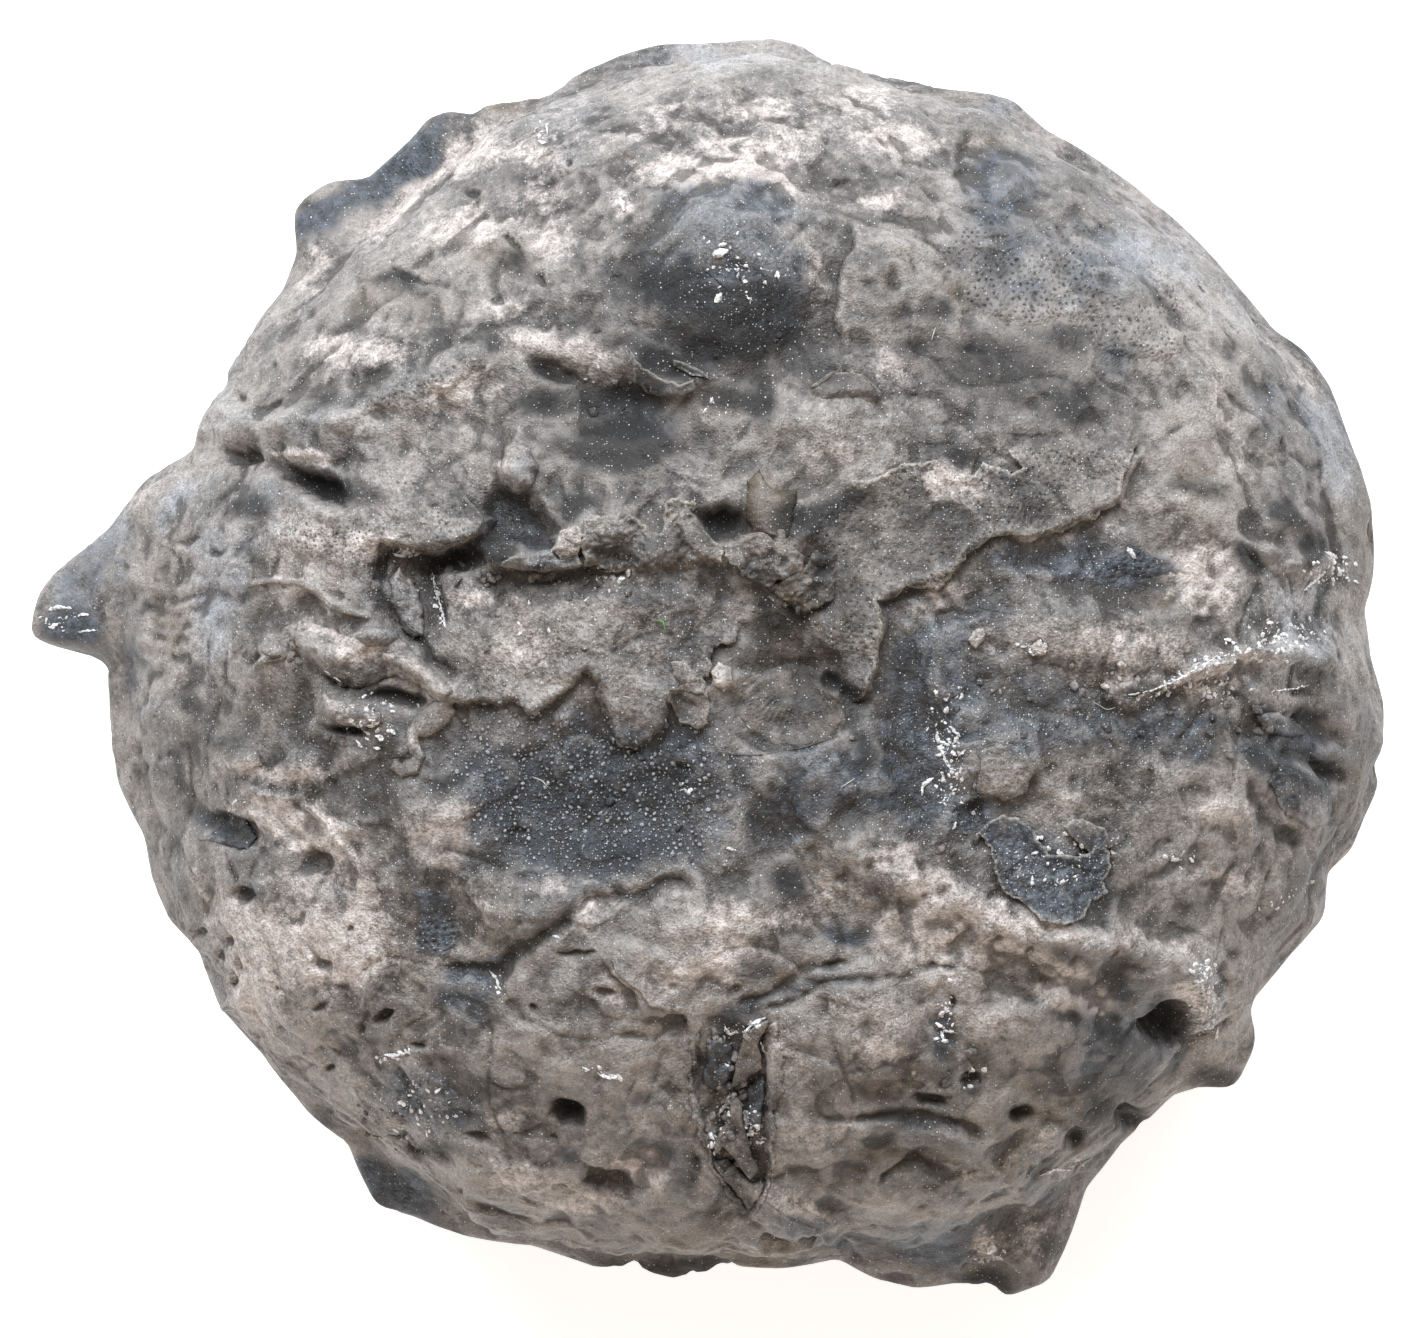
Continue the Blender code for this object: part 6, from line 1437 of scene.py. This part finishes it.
def roughened(w, shape, lumps_scale, amount):
    """Pushes each point of a shape a little way in a direction that changes from place to place."""
    lumps = w.add("ShaderNodeTexNoise", {"Scale": lumps_scale, "Detail": 2.0}).outputs["Color"]
    centred = w.add("ShaderNodeVectorMath", {0: lumps, 1: (0.5, 0.5, 0.5)}, operation="SUBTRACT").outputs[0]
    push = w.add("ShaderNodeVectorMath", {0: centred, "Scale": amount}, operation="SCALE").outputs[0]
    return w.add("GeometryNodeSetPosition", {"Geometry": shape, "Offset": push}).outputs[0]


def chance_value(w, seed, low=None, high=None):
    """A random number for each grain, or three of them between two limits."""
    kind = "FLOAT" if high is None else "FLOAT_VECTOR"
    chance = w.add("FunctionNodeRandomValue", {"Seed": seed}, data_type=kind)
    if low is not None:
        chance.inputs["Min"].default_value = low
    if high is not None:
        chance.inputs["Max"].default_value = high
    return next(socket for socket in chance.outputs if socket.enabled)


def grain_tree():
    """Scatters rough grains over a mesh, thickly where its numbers called there are high."""
    w = node_group("scattered grains", [
        ("Spacing", "Float"), ("Radius", "Float"), ("Smallest", "Float"), ("Largest", "Float"),
        ("Flatness", "Float"), ("Roughness", "Float"), ("Seed", "Int"), ("Facets", "Int"),
        ("Look", "Material"),
    ])
    given = w.add("NodeGroupInput").outputs
    there = w.add("GeometryNodeInputNamedAttribute", {"Name": "there"}).outputs["Attribute"]
    points = w.add("GeometryNodeDistributePointsOnFaces", {
        "Mesh": given["Geometry"], "Distance Min": given["Spacing"], "Density Max": MOST_GRAINS,
        "Density Factor": there, "Seed": given["Seed"],
    }, distribute_method="POISSON").outputs["Points"]
    ball = w.add("GeometryNodeMeshIcoSphere", {"Radius": given["Radius"], "Subdivisions": given["Facets"]})
    chance = chance_value(w, given["Seed"])
    few = w.add("ShaderNodeMath", {0: chance, 1: FEW_LARGE}, operation="POWER").outputs[0]
    limits = {"Value": few, "To Min": given["Smallest"], "To Max": given["Largest"]}
    size = w.add("ShaderNodeMapRange", limits).outputs[0]
    uneven = chance_value(w, given["Seed"], *UNEVENNESS)
    flat = w.add("ShaderNodeCombineXYZ", {"X": 1.0, "Y": 1.0, "Z": given["Flatness"]}).outputs[0]
    evened = w.add("ShaderNodeVectorMath", {0: uneven, 1: flat}, operation="MULTIPLY").outputs[0]
    shape = w.add("ShaderNodeVectorMath", {0: evened, "Scale": size}, operation="SCALE").outputs[0]
    turn = chance_value(w, given["Seed"], high=TURNED)
    placed = w.add("GeometryNodeInstanceOnPoints", {
        "Points": points, "Instance": ball.outputs["Mesh"], "Rotation": turn, "Scale": shape,
    })
    real = w.add("GeometryNodeRealizeInstances", {"Geometry": placed.outputs[0]}).outputs[0]
    rough = roughened(w, real, 4.0, given["Roughness"])
    look = w.add("GeometryNodeSetMaterial", {"Geometry": rough, "Material": given["Look"]})
    w.add("NodeGroupOutput", {0: look.outputs[0]})
    return w.tree


grains = grain_tree()


def grown(group, mesh, inputs):
    """What a node group makes of a mesh."""
    holder = bpy.data.objects.new(mesh.name, mesh)
    bpy.context.scene.collection.objects.link(holder)
    making = holder.modifiers.new(group.name, "NODES")
    making.node_group = group
    values = dict(inputs, Look=stone_look)
    for item in group.interface.items_tree:
        if item.name in values:
            making[item.identifier] = values[item.name]
    return finished_mesh(holder)


def scatter(name, spots, grain, stains=(), painted_top_highlight=()):
    """Grains over the spots, each (x, y, half length, half width, degrees turned, how thick they lie)."""
    places = np.array(spots)
    reach = 2.0 * places[:, 2:4].max(axis=1)
    low = (places[:, :2] - reach[:, None]).min(axis=0)
    high = (places[:, :2] + reach[:, None]).max(axis=0)
    x, y = np.meshgrid(np.arange(low[0], high[0], GROUND_STEP), np.arange(low[1], high[1], GROUND_STEP))
    rows, columns = x.shape
    x, y = x.ravel(), y.ravel()
    there = ovals(x, y, spots, SPOT_STEEPNESS).clip(0, 1)
    here_x, here_y = settled(x, y)
    points = np.column_stack([here_x, here_y, on_map(upper, here_x, here_y) - GRAIN_SINK])
    corner = (np.arange(rows - 1)[:, None] * columns + np.arange(columns - 1)).ravel()
    cells = np.column_stack([corner, corner + 1, corner + columns + 1, corner + columns])
    cells = cells[there[cells].max(axis=1) > 0.02]
    used, cells = np.unique(cells, return_inverse=True)
    ground = bpy.data.meshes.new("ground")
    ground.from_pydata(points[used].tolist(), [], cells.reshape(-1, 4).tolist())
    store(ground, {"there": there[used]})
    mesh = grown(grains, ground, grain)
    places = positions(mesh)
    marks = stains_at(places)
    deepen(marks, stains, np.ones(len(places)))
    above = places[:, 2] - on_map(upper, places[:, 0], places[:, 1])
    # Painted highlight: each grain's top is painted paler, as much as it stands above the ground.
    deepen(marks, painted_top_highlight, smooth_step(above / grain["Radius"]))
    return finish_piece(name, mesh, marks)


scatter("bead_rows", [
    (-4.6, -6.6, 5.4, 3.3, 2, 1.2), (-9.6, -4.6, 2.6, 2.4, 0, 1.2), (-9.6, -7.8, 2.0, 1.4, 0, 1.0),
    (-1.4, -8.2, 1.6, 1.4, 0, 0.8), (0.4, -5.2, 1.4, 1.4, 0, 0.7),
], {
    "Spacing": 0.25, "Radius": 0.105, "Smallest": 0.7, "Largest": 1.3, "Flatness": 1.0, "Roughness": 0.04,
    "Seed": 3, "Facets": 2,
}, stains={"slate": 0.3}, painted_top_highlight={"slate": -1.4, "dark_patch_and_shade": -0.8, "veil_and_sheen": 1.3})

scatter("pale_crumbs", [
    (0.9, 20.2, 1.3, 1.0, 0, 0.45), (2.4, 19.4, 0.9, 0.7, 0, 0.3), (11.9, -4.8, 0.7, 2.4, 8, 0.9),
    (12.6, -1.4, 0.8, 0.8, 0, 0.5), (23.4, -0.6, 2.6, 0.35, 22, 0.9), (28.4, 1.3, 2.0, 0.8, 10, 0.6),
    (31.0, 4.6, 1.4, 0.8, 30, 0.7), (25.0, -1.2, 1.4, 0.6, 0, 0.7), (24.8, -17.0, 0.8, 1.6, 0, 0.8),
    (24.4, -15.6, 0.6, 0.6, 0, 0.6), (1.6, -18.0, 1.2, 0.4, 10, 0.8), (2.4, -22.6, 0.5, 1.0, 20, 0.8),
    (0.7, -21.6, 0.4, 0.8, 0, 0.6), (0.3, -23.4, 0.3, 0.7, 0, 0.6), (11.8, -17.4, 0.5, 1.4, -10, 0.8),
    (-14.4, -22.2, 2.0, 1.4, 0, 0.3), (-15.6, -19.6, 1.0, 0.25, 10, 0.8), (-16.6, -2.6, 0.9, 1.3, 0, 0.5),
    (-15.0, 5.4, 0.7, 0.4, 0, 0.8), (-13.2, 3.0, 0.2, 1.4, 8, 0.7), (-10.2, -15.7, 0.5, 0.3, 0, 0.6),
    (-5.0, 4.1, 0.9, 0.4, 0, 0.6), (-1.2, -6.0, 0.4, 0.2, 0, 0.9), (16.2, 0.8, 0.7, 0.4, 0, 0.6),
    (14.2, -29.2, 0.8, 0.6, 0, 0.7), (18.4, -24.6, 0.5, 0.3, 0, 0.6), (-32.4, 2.2, 1.0, 0.5, 0, 0.4),
    (28.6, -11.6, 1.4, 0.3, 20, 0.5), (13.0, -20.4, 0.8, 0.5, 0, 0.4), (-4.6, -20.0, 0.8, 0.25, -20, 0.6),
    (0.4, 12.6, 0.9, 0.4, 0, 0.6), (17.6, -9.8, 2.0, 1.4, 0, 0.25), (23.4, -9.4, 0.8, 0.3, 0, 0.6),
    (-8.0, 26.5, 0.3, 0.5, 0, 0.8), (-7.6, 2.0, 3.0, 1.6, 0, 0.05), (-23.4, -7.0, 0.8, 0.3, 30, 0.4),
], {
    "Spacing": 0.12, "Radius": 0.1, "Smallest": 0.3, "Largest": 2.1, "Flatness": 0.6, "Roughness": 0.2,
    "Seed": 11, "Facets": 1,
}, stains={"cream": 1.5, "slate": -1.5, "dark_patch_and_shade": -1.5, "calcite": 0.45})

scatter("stone_crumbs", [
    (-12.0, 4.4, 2.0, 0.8, 0, 0.4), (-8.0, 3.8, 4.0, 0.7, 0, 0.5), (-6.9, -2.5, 0.5, 0.4, 0, 0.6),
    (2.2, -0.7, 0.5, 0.5, 0, 0.7), (6.9, -3.7, 0.5, 0.3, 0, 0.9), (4.0, 2.6, 1.6, 1.6, 0, 0.5),
    (12.6, -8.0, 1.0, 2.0, 0, 0.4), (22.0, -3.0, 4.0, 2.0, 0, 0.16), (-20.2, 0.8, 0.5, 1.4, 0, 0.6),
    (-17.4, -3.4, 1.6, 0.6, 0, 0.4), (1.2, -21.0, 1.2, 3.6, 0, 0.35), (12.0, -20.0, 1.4, 1.6, 0, 0.3),
    (-5.0, 13.2, 2.4, 1.2, 0, 0.3), (17.6, -2.0, 5.0, 2.4, 0, 0.12), (-14.4, -22.0, 2.6, 1.8, 0, 0.3),
    (-4.0, -6.0, 7.0, 3.6, 0, 0.04), (10.6, 6.6, 6.0, 2.4, 20, 0.05), (-6.0, 2.0, 6.0, 2.0, 0, 0.07),
    (-20.0, -14.6, 4.6, 3.0, 0, 0.06), (26.0, -2.8, 2.4, 1.2, 0, 0.3), (3.0, 16.4, 3.0, 1.6, 0, 0.1),
], {
    "Spacing": 0.26, "Radius": 0.14, "Smallest": 0.35, "Largest": 2.4, "Flatness": 0.7, "Roughness": 0.2,
    "Seed": 23, "Facets": 2,
}, stains={"cream": 0.15, "grain": 0.4})

# THE STREAKS AND FIBRES
# Slivers of white calcite stand in the cracks, fine root hairs cross the crusts, and a few fibres of
# modern lint lie on top, one of them green.
THREAD_STEP = 0.15
CORD_STEP = 0.08
CORD_SIDES = 7


def thread_tree():
    """Turns a mesh of edges into rough cords, as thick as its numbers called thick say."""
    w = node_group("cords", [("Roughness", "Float"), ("Look", "Material")])
    given = w.add("NodeGroupInput").outputs
    thick = w.add("GeometryNodeInputNamedAttribute", {"Name": "thick"}).outputs["Attribute"]
    cord = w.add("GeometryNodeMeshToCurve", {"Mesh": given["Geometry"]}).outputs[0]
    fine = w.add("GeometryNodeResampleCurve", {"Curve": cord, "Length": CORD_STEP}, mode="LENGTH").outputs[0]
    ring = w.add("GeometryNodeCurvePrimitiveCircle", {"Resolution": CORD_SIDES, "Radius": 1.0}).outputs[0]
    tube = w.add("GeometryNodeCurveToMesh", {
        "Curve": fine, "Profile Curve": ring, "Scale": thick, "Fill Caps": True,
    }).outputs[0]
    rough = roughened(w, tube, 5.0, given["Roughness"])
    real = w.add("GeometryNodeRealizeInstances", {"Geometry": rough}).outputs[0]
    look = w.add("GeometryNodeSetMaterial", {"Geometry": real, "Material": given["Look"]})
    w.add("NodeGroupOutput", {0: look.outputs[0]})
    return w.tree


cords = thread_tree()


def threads(name, lines, rough, raised=0.0, stains=()):
    """Cords laid on the fossil, each (half thickness, the places it runs through), thinning to its ends."""
    points = []
    edges = []
    thick = []
    for half, places in lines:
        line = np.array(places, dtype=float)
        runs = np.hypot(*np.diff(line, axis=0).T)
        at = np.concatenate([[0.0], np.cumsum(runs)])
        count = max(4, round(at[-1] / THREAD_STEP))
        way = np.linspace(0.0, at[-1], count)
        x, y = settled(np.interp(way, at, line[:, 0]), np.interp(way, at, line[:, 1]))
        first = len(points)
        share = way / at[-1]
        points += np.column_stack([x, y, on_map(upper, x, y) + raised + 0.3 * half]).tolist()
        thick += (half * (0.3 + 0.7 * np.sqrt(np.sin(math.pi * share).clip(0, 1)))).tolist()
        edges += [(first + i, first + i + 1) for i in range(count - 1)]
    host = bpy.data.meshes.new("lines")
    host.from_pydata(points, edges, [])
    store(host, {"thick": np.array(thick)})
    mesh = grown(cords, host, {"Roughness": rough})
    marks = stains_at(positions(mesh))
    deepen(marks, stains, np.ones(len(mesh.vertices)))
    return finish_piece(name, mesh, marks)


threads("calcite_streaks", [
    (0.13, [(1.9, -21.8), (2.1, -22.5), (2.5, -23.1)]), (0.1, [(0.5, -21.9), (0.9, -21.5), (1.0, -21.1)]),
    (0.08, [(1.0, -17.8), (1.2, -18.3), (1.6, -18.1)]), (0.1, [(2.0, -18.2), (2.4, -17.6), (2.8, -17.3)]),
    (0.05, [(2.7, -18.8), (2.9, -19.4)]), (0.12, [(0.0, -22.9), (0.3, -23.3)]),
    (0.05, [(0.7, -19.9), (1.0, -20.1)]), (0.11, [(-5.9, -19.7), (-5.6, -19.8)]),
    (0.1, [(-5.2, -19.9), (-4.7, -20.1), (-4.2, -20.0)]),
    (0.09, [(-16.1, -19.4), (-15.5, -19.55), (-14.9, -19.5)]),
    (0.07, [(-10.7, -15.2), (-10.3, -15.5), (-10.0, -16.0)]), (0.14, [(20.8, 5.6), (21.3, 5.1)]),
    (0.05, [(20.6, -1.2), (21.8, -1.1), (23.0, -0.8), (24.2, -0.2), (25.2, 0.3), (25.8, 0.5)]),
    (0.04, [(28.1, -1.4), (29.0, -1.2), (30.0, -0.9)]), (0.12, [(30.7, 5.6), (31.4, 5.3)]),
    (0.08, [(29.6, 3.4), (30.2, 4.0), (30.6, 4.4)]), (0.08, [(32.2, 4.1), (32.5, 4.0)]),
    (0.1, [(-8.3, 26.2), (-7.9, 26.1)]), (0.06, [(-7.8, 26.5), (-7.75, 27.0)]),
    (0.16, [(-4.3, 23.1), (-4.1, 22.5)]), (0.24, [(0.4, 20.2), (1.2, 20.4)]),
    (0.1, [(3.3, 19.3), (3.4, 18.9)]), (0.07, [(1.7, 18.4), (2.0, 18.2), (1.9, 18.0)]),
    (0.17, [(0.4, 17.9), (0.7, 18.4)]), (0.06, [(-0.1, 20.7), (0.2, 20.9)]),
    (0.06, [(-13.4, 4.6), (-13.3, 3.6), (-13.0, 2.4), (-12.9, 1.8)]),
    (0.1, [(-15.4, 5.4), (-14.9, 5.3), (-14.6, 5.6)]), (0.1, [(-17.0, -1.5), (-16.8, -1.4)]),
    (0.09, [(-16.5, -3.4), (-16.2, -3.5)]), (0.06, [(-14.3, -1.9), (-14.2, -2.1)]),
    (0.07, [(-17.4, -3.6), (-17.2, -4.0)]), (0.05, [(-18.9, -0.3), (-18.1, -0.7)]),
    (0.06, [(-7.6, -13.3), (-7.3, -13.35)]), (0.1, [(12.0, -3.0), (12.4, -3.6)]),
    (0.07, [(11.4, -3.4), (11.5, -4.4), (11.8, -5.0)]), (0.09, [(12.2, -4.4), (12.6, -4.2)]),
    (0.1, [(11.0, -5.4), (10.6, -5.8), (10.6, -6.4)]), (0.06, [(1.1, -9.0), (1.5, -9.2)]),
    (0.1, [(11.6, -18.2), (11.8, -18.6)]), (0.07, [(18.3, -24.6), (18.7, -24.5)]),
    (0.06, [(16.5, -25.3), (17.4, -25.0), (18.3, -25.0)]), (0.2, [(14.0, -29.3), (14.4, -28.9)]),
    (0.12, [(23.9, -9.4), (24.1, -9.6)]), (0.12, [(22.9, -9.6), (23.3, -9.5)]),
    (0.06, [(24.6, -16.0), (25.0, -16.8)]), (0.06, [(25.2, -16.4), (25.0, -17.4)]),
    (0.07, [(25.6, -18.0), (25.3, -18.6)]), (0.09, [(-32.9, 2.9), (-32.3, 3.0), (-31.6, 2.9)]),
    (0.06, [(-31.5, 2.5), (-30.8, 2.7)]), (0.07, [(-32.8, 2.1), (-32.2, 2.2)]),
    (0.06, [(-31.4, 1.7), (-30.6, 1.8)]),
], 0.3, stains={"cream": 1.6, "slate": -1.6, "dark_patch_and_shade": -1.6, "crease": -0.6, "calcite": 0.6})

threads("root_hairs", [
    (0.14, [
        (-22.9, 4.0), (-21.6, 4.4), (-20.3, 4.2), (-19.3, 3.7), (-18.5, 3.1), (-17.4, 2.8), (-16.6, 2.5),
    ]),
    (0.1, [(-19.0, 3.4), (-18.0, 2.9), (-17.0, 2.5)]),
    (0.12, [(-20.0, 1.8), (-20.2, 1.1), (-20.3, 0.5), (-20.8, 0.1), (-21.8, 0.0)]),
    (0.1, [(-21.8, 0.6), (-21.3, 0.3), (-20.9, 0.3)]),
    (0.05, [(0.5, -4.4), (2.6, -4.3), (4.6, -4.1), (6.2, -3.6)]),
    (0.06, [(-15.0, 5.9), (-13.6, 5.6), (-12.4, 6.0)]),
    (0.08, [(5.1, 13.9), (6.4, 14.5), (7.4, 14.2), (8.2, 13.4)]),
    (0.06, [(-0.2, 19.6), (0.6, 19.0), (1.0, 18.6)]), (0.05, [(1.4, 19.6), (1.7, 18.9)]),
    (0.05, [(3.0, -26.6), (4.4, -27.6), (5.6, -28.2)]), (0.05, [(3.4, -26.2), (4.8, -27.1), (6.2, -27.8)]),
], 0.12, stains={"brown": 0.5})


def fibre_material(name, colour):
    """Lint: a plain dull colour, a little uneven along the fibre."""
    w = Finish(name)
    uneven = w.rise(w.noise(0.3, 2.0, 0.5).outputs["Fac"], 0.3, 0.7, 0.7, 1.1, "LINEAR")
    shade = w.add("ShaderNodeCombineColor", {0: uneven, 1: uneven, 2: uneven}).outputs[0]
    w.give(w.shader.inputs["Base Color"], w.blend(1.0, colour, shade, "MULTIPLY"))
    w.shader.inputs["Roughness"].default_value = 0.7
    return w.material


for name, colour, lines in [
    ("green_fibre", (0.10, 0.34, 0.06, 1), [(0.035, [(-2.5, 2.15), (-2.15, 2.05), (-2.05, 1.6)])]),
    ("pale_fibres", (0.55, 0.53, 0.46, 1), [
        (0.025, [(1.0, 2.3), (1.1, 2.55), (1.15, 2.2)]), (0.03, [(-8.8, -5.4), (-8.3, -5.6), (-7.9, -6.0)]),
        (0.025, [(-4.3, -1.4), (-3.9, -1.5)]), (0.03, [(2.0, -2.7), (2.2, -2.9)]),
        (0.03, [(11.4, 16.6), (11.1, 16.0)]), (0.022, [(7.4, -5.6), (6.6, -5.9)]),
        (0.025, [(-9.6, 0.4), (-9.2, 0.1)]), (0.02, [(18.9, -1.8), (19.6, -2.2), (20.0, -2.0)]),
    ]),
]:
    lint = threads(name, lines, 0.02, raised=0.1)
    lint.data.materials.clear()
    lint.data.materials.append(fibre_material(name, colour))

# THE TABLE, THE LIGHT AND THE CAMERA
# The fossil lies on a plain pale table under a large soft light that stands beyond it, so that its far
# side is bright and its near side falls into shade. The camera looks straight down on it.
floor_mesh = bpy.data.meshes.new("table_top")
floor_shape = bmesh.new()
bmesh.ops.create_circle(floor_shape, cap_ends=True, segments=96, radius=2.5)
floor_shape.to_mesh(floor_mesh)
floor_shape.free()
paint = bpy.data.materials.new("pale_table")
paint.use_nodes = True
table_shader = paint.node_tree.nodes["Principled BSDF"]
table_shader.inputs["Base Color"].default_value = (0.93, 0.93, 0.935, 1)
table_shader.inputs["Roughness"].default_value = 0.8
table_shader.inputs["Specular IOR Level"].default_value = 0.1
table_shader.inputs["Emission Color"].default_value = (1.0, 1.0, 1.0, 1)
table_shader.inputs["Emission Strength"].default_value = 0.6
floor_mesh.materials.append(paint)
floor = bpy.data.objects.new("table_top", floor_mesh)
floor.location = (0.0, 0.0, -0.0002)
bpy.context.scene.collection.objects.link(floor)


def soft_light(name, place, aim, width, height, watts, colour):
    lamp = bpy.data.lights.new(name, "AREA")
    lamp.shape = "RECTANGLE"
    lamp.size = width
    lamp.size_y = height
    lamp.energy = watts
    lamp.color = colour
    holder = bpy.data.objects.new(name, lamp)
    holder.location = place
    holder.rotation_euler = (Vector(aim) - Vector(place)).to_track_quat("-Z", "Y").to_euler()
    bpy.context.scene.collection.objects.link(holder)


soft_light("window", (-0.06, 0.50, 0.50), (0.0, 0.0, 0.02), 0.9, 0.5, 11.9, (0.83, 0.92, 1.0))
soft_light("lamp", (0.0, -0.50, 0.28), (0.0, 0.0, 0.02), 0.7, 0.4, 0.6, (1.0, 0.72, 0.45))
world = bpy.data.worlds.new("room")
world.use_nodes = True
world.node_tree.nodes["Background"].inputs["Color"].default_value = (1.0, 0.94, 0.87, 1)
world.node_tree.nodes["Background"].inputs["Strength"].default_value = 0.47
bpy.context.scene.world = world
bpy.context.scene.view_settings.view_transform = "Standard"

LENS = 500.0
SENSOR = 36.0
VIEW_WIDTH = 70.95 * MM
VIEW_LEVEL = 15.0 * MM
camera_data = bpy.data.cameras.new("camera")
camera_data.lens = LENS
camera_data.sensor_width = SENSOR
camera_data.clip_start = 0.01
camera_data.clip_end = 20.0
camera = bpy.data.objects.new("camera", camera_data)
camera.location = (0.15 * MM, -0.175 * MM, VIEW_LEVEL + VIEW_WIDTH * LENS / SENSOR)
bpy.context.scene.collection.objects.link(camera)
bpy.context.scene.camera = camera
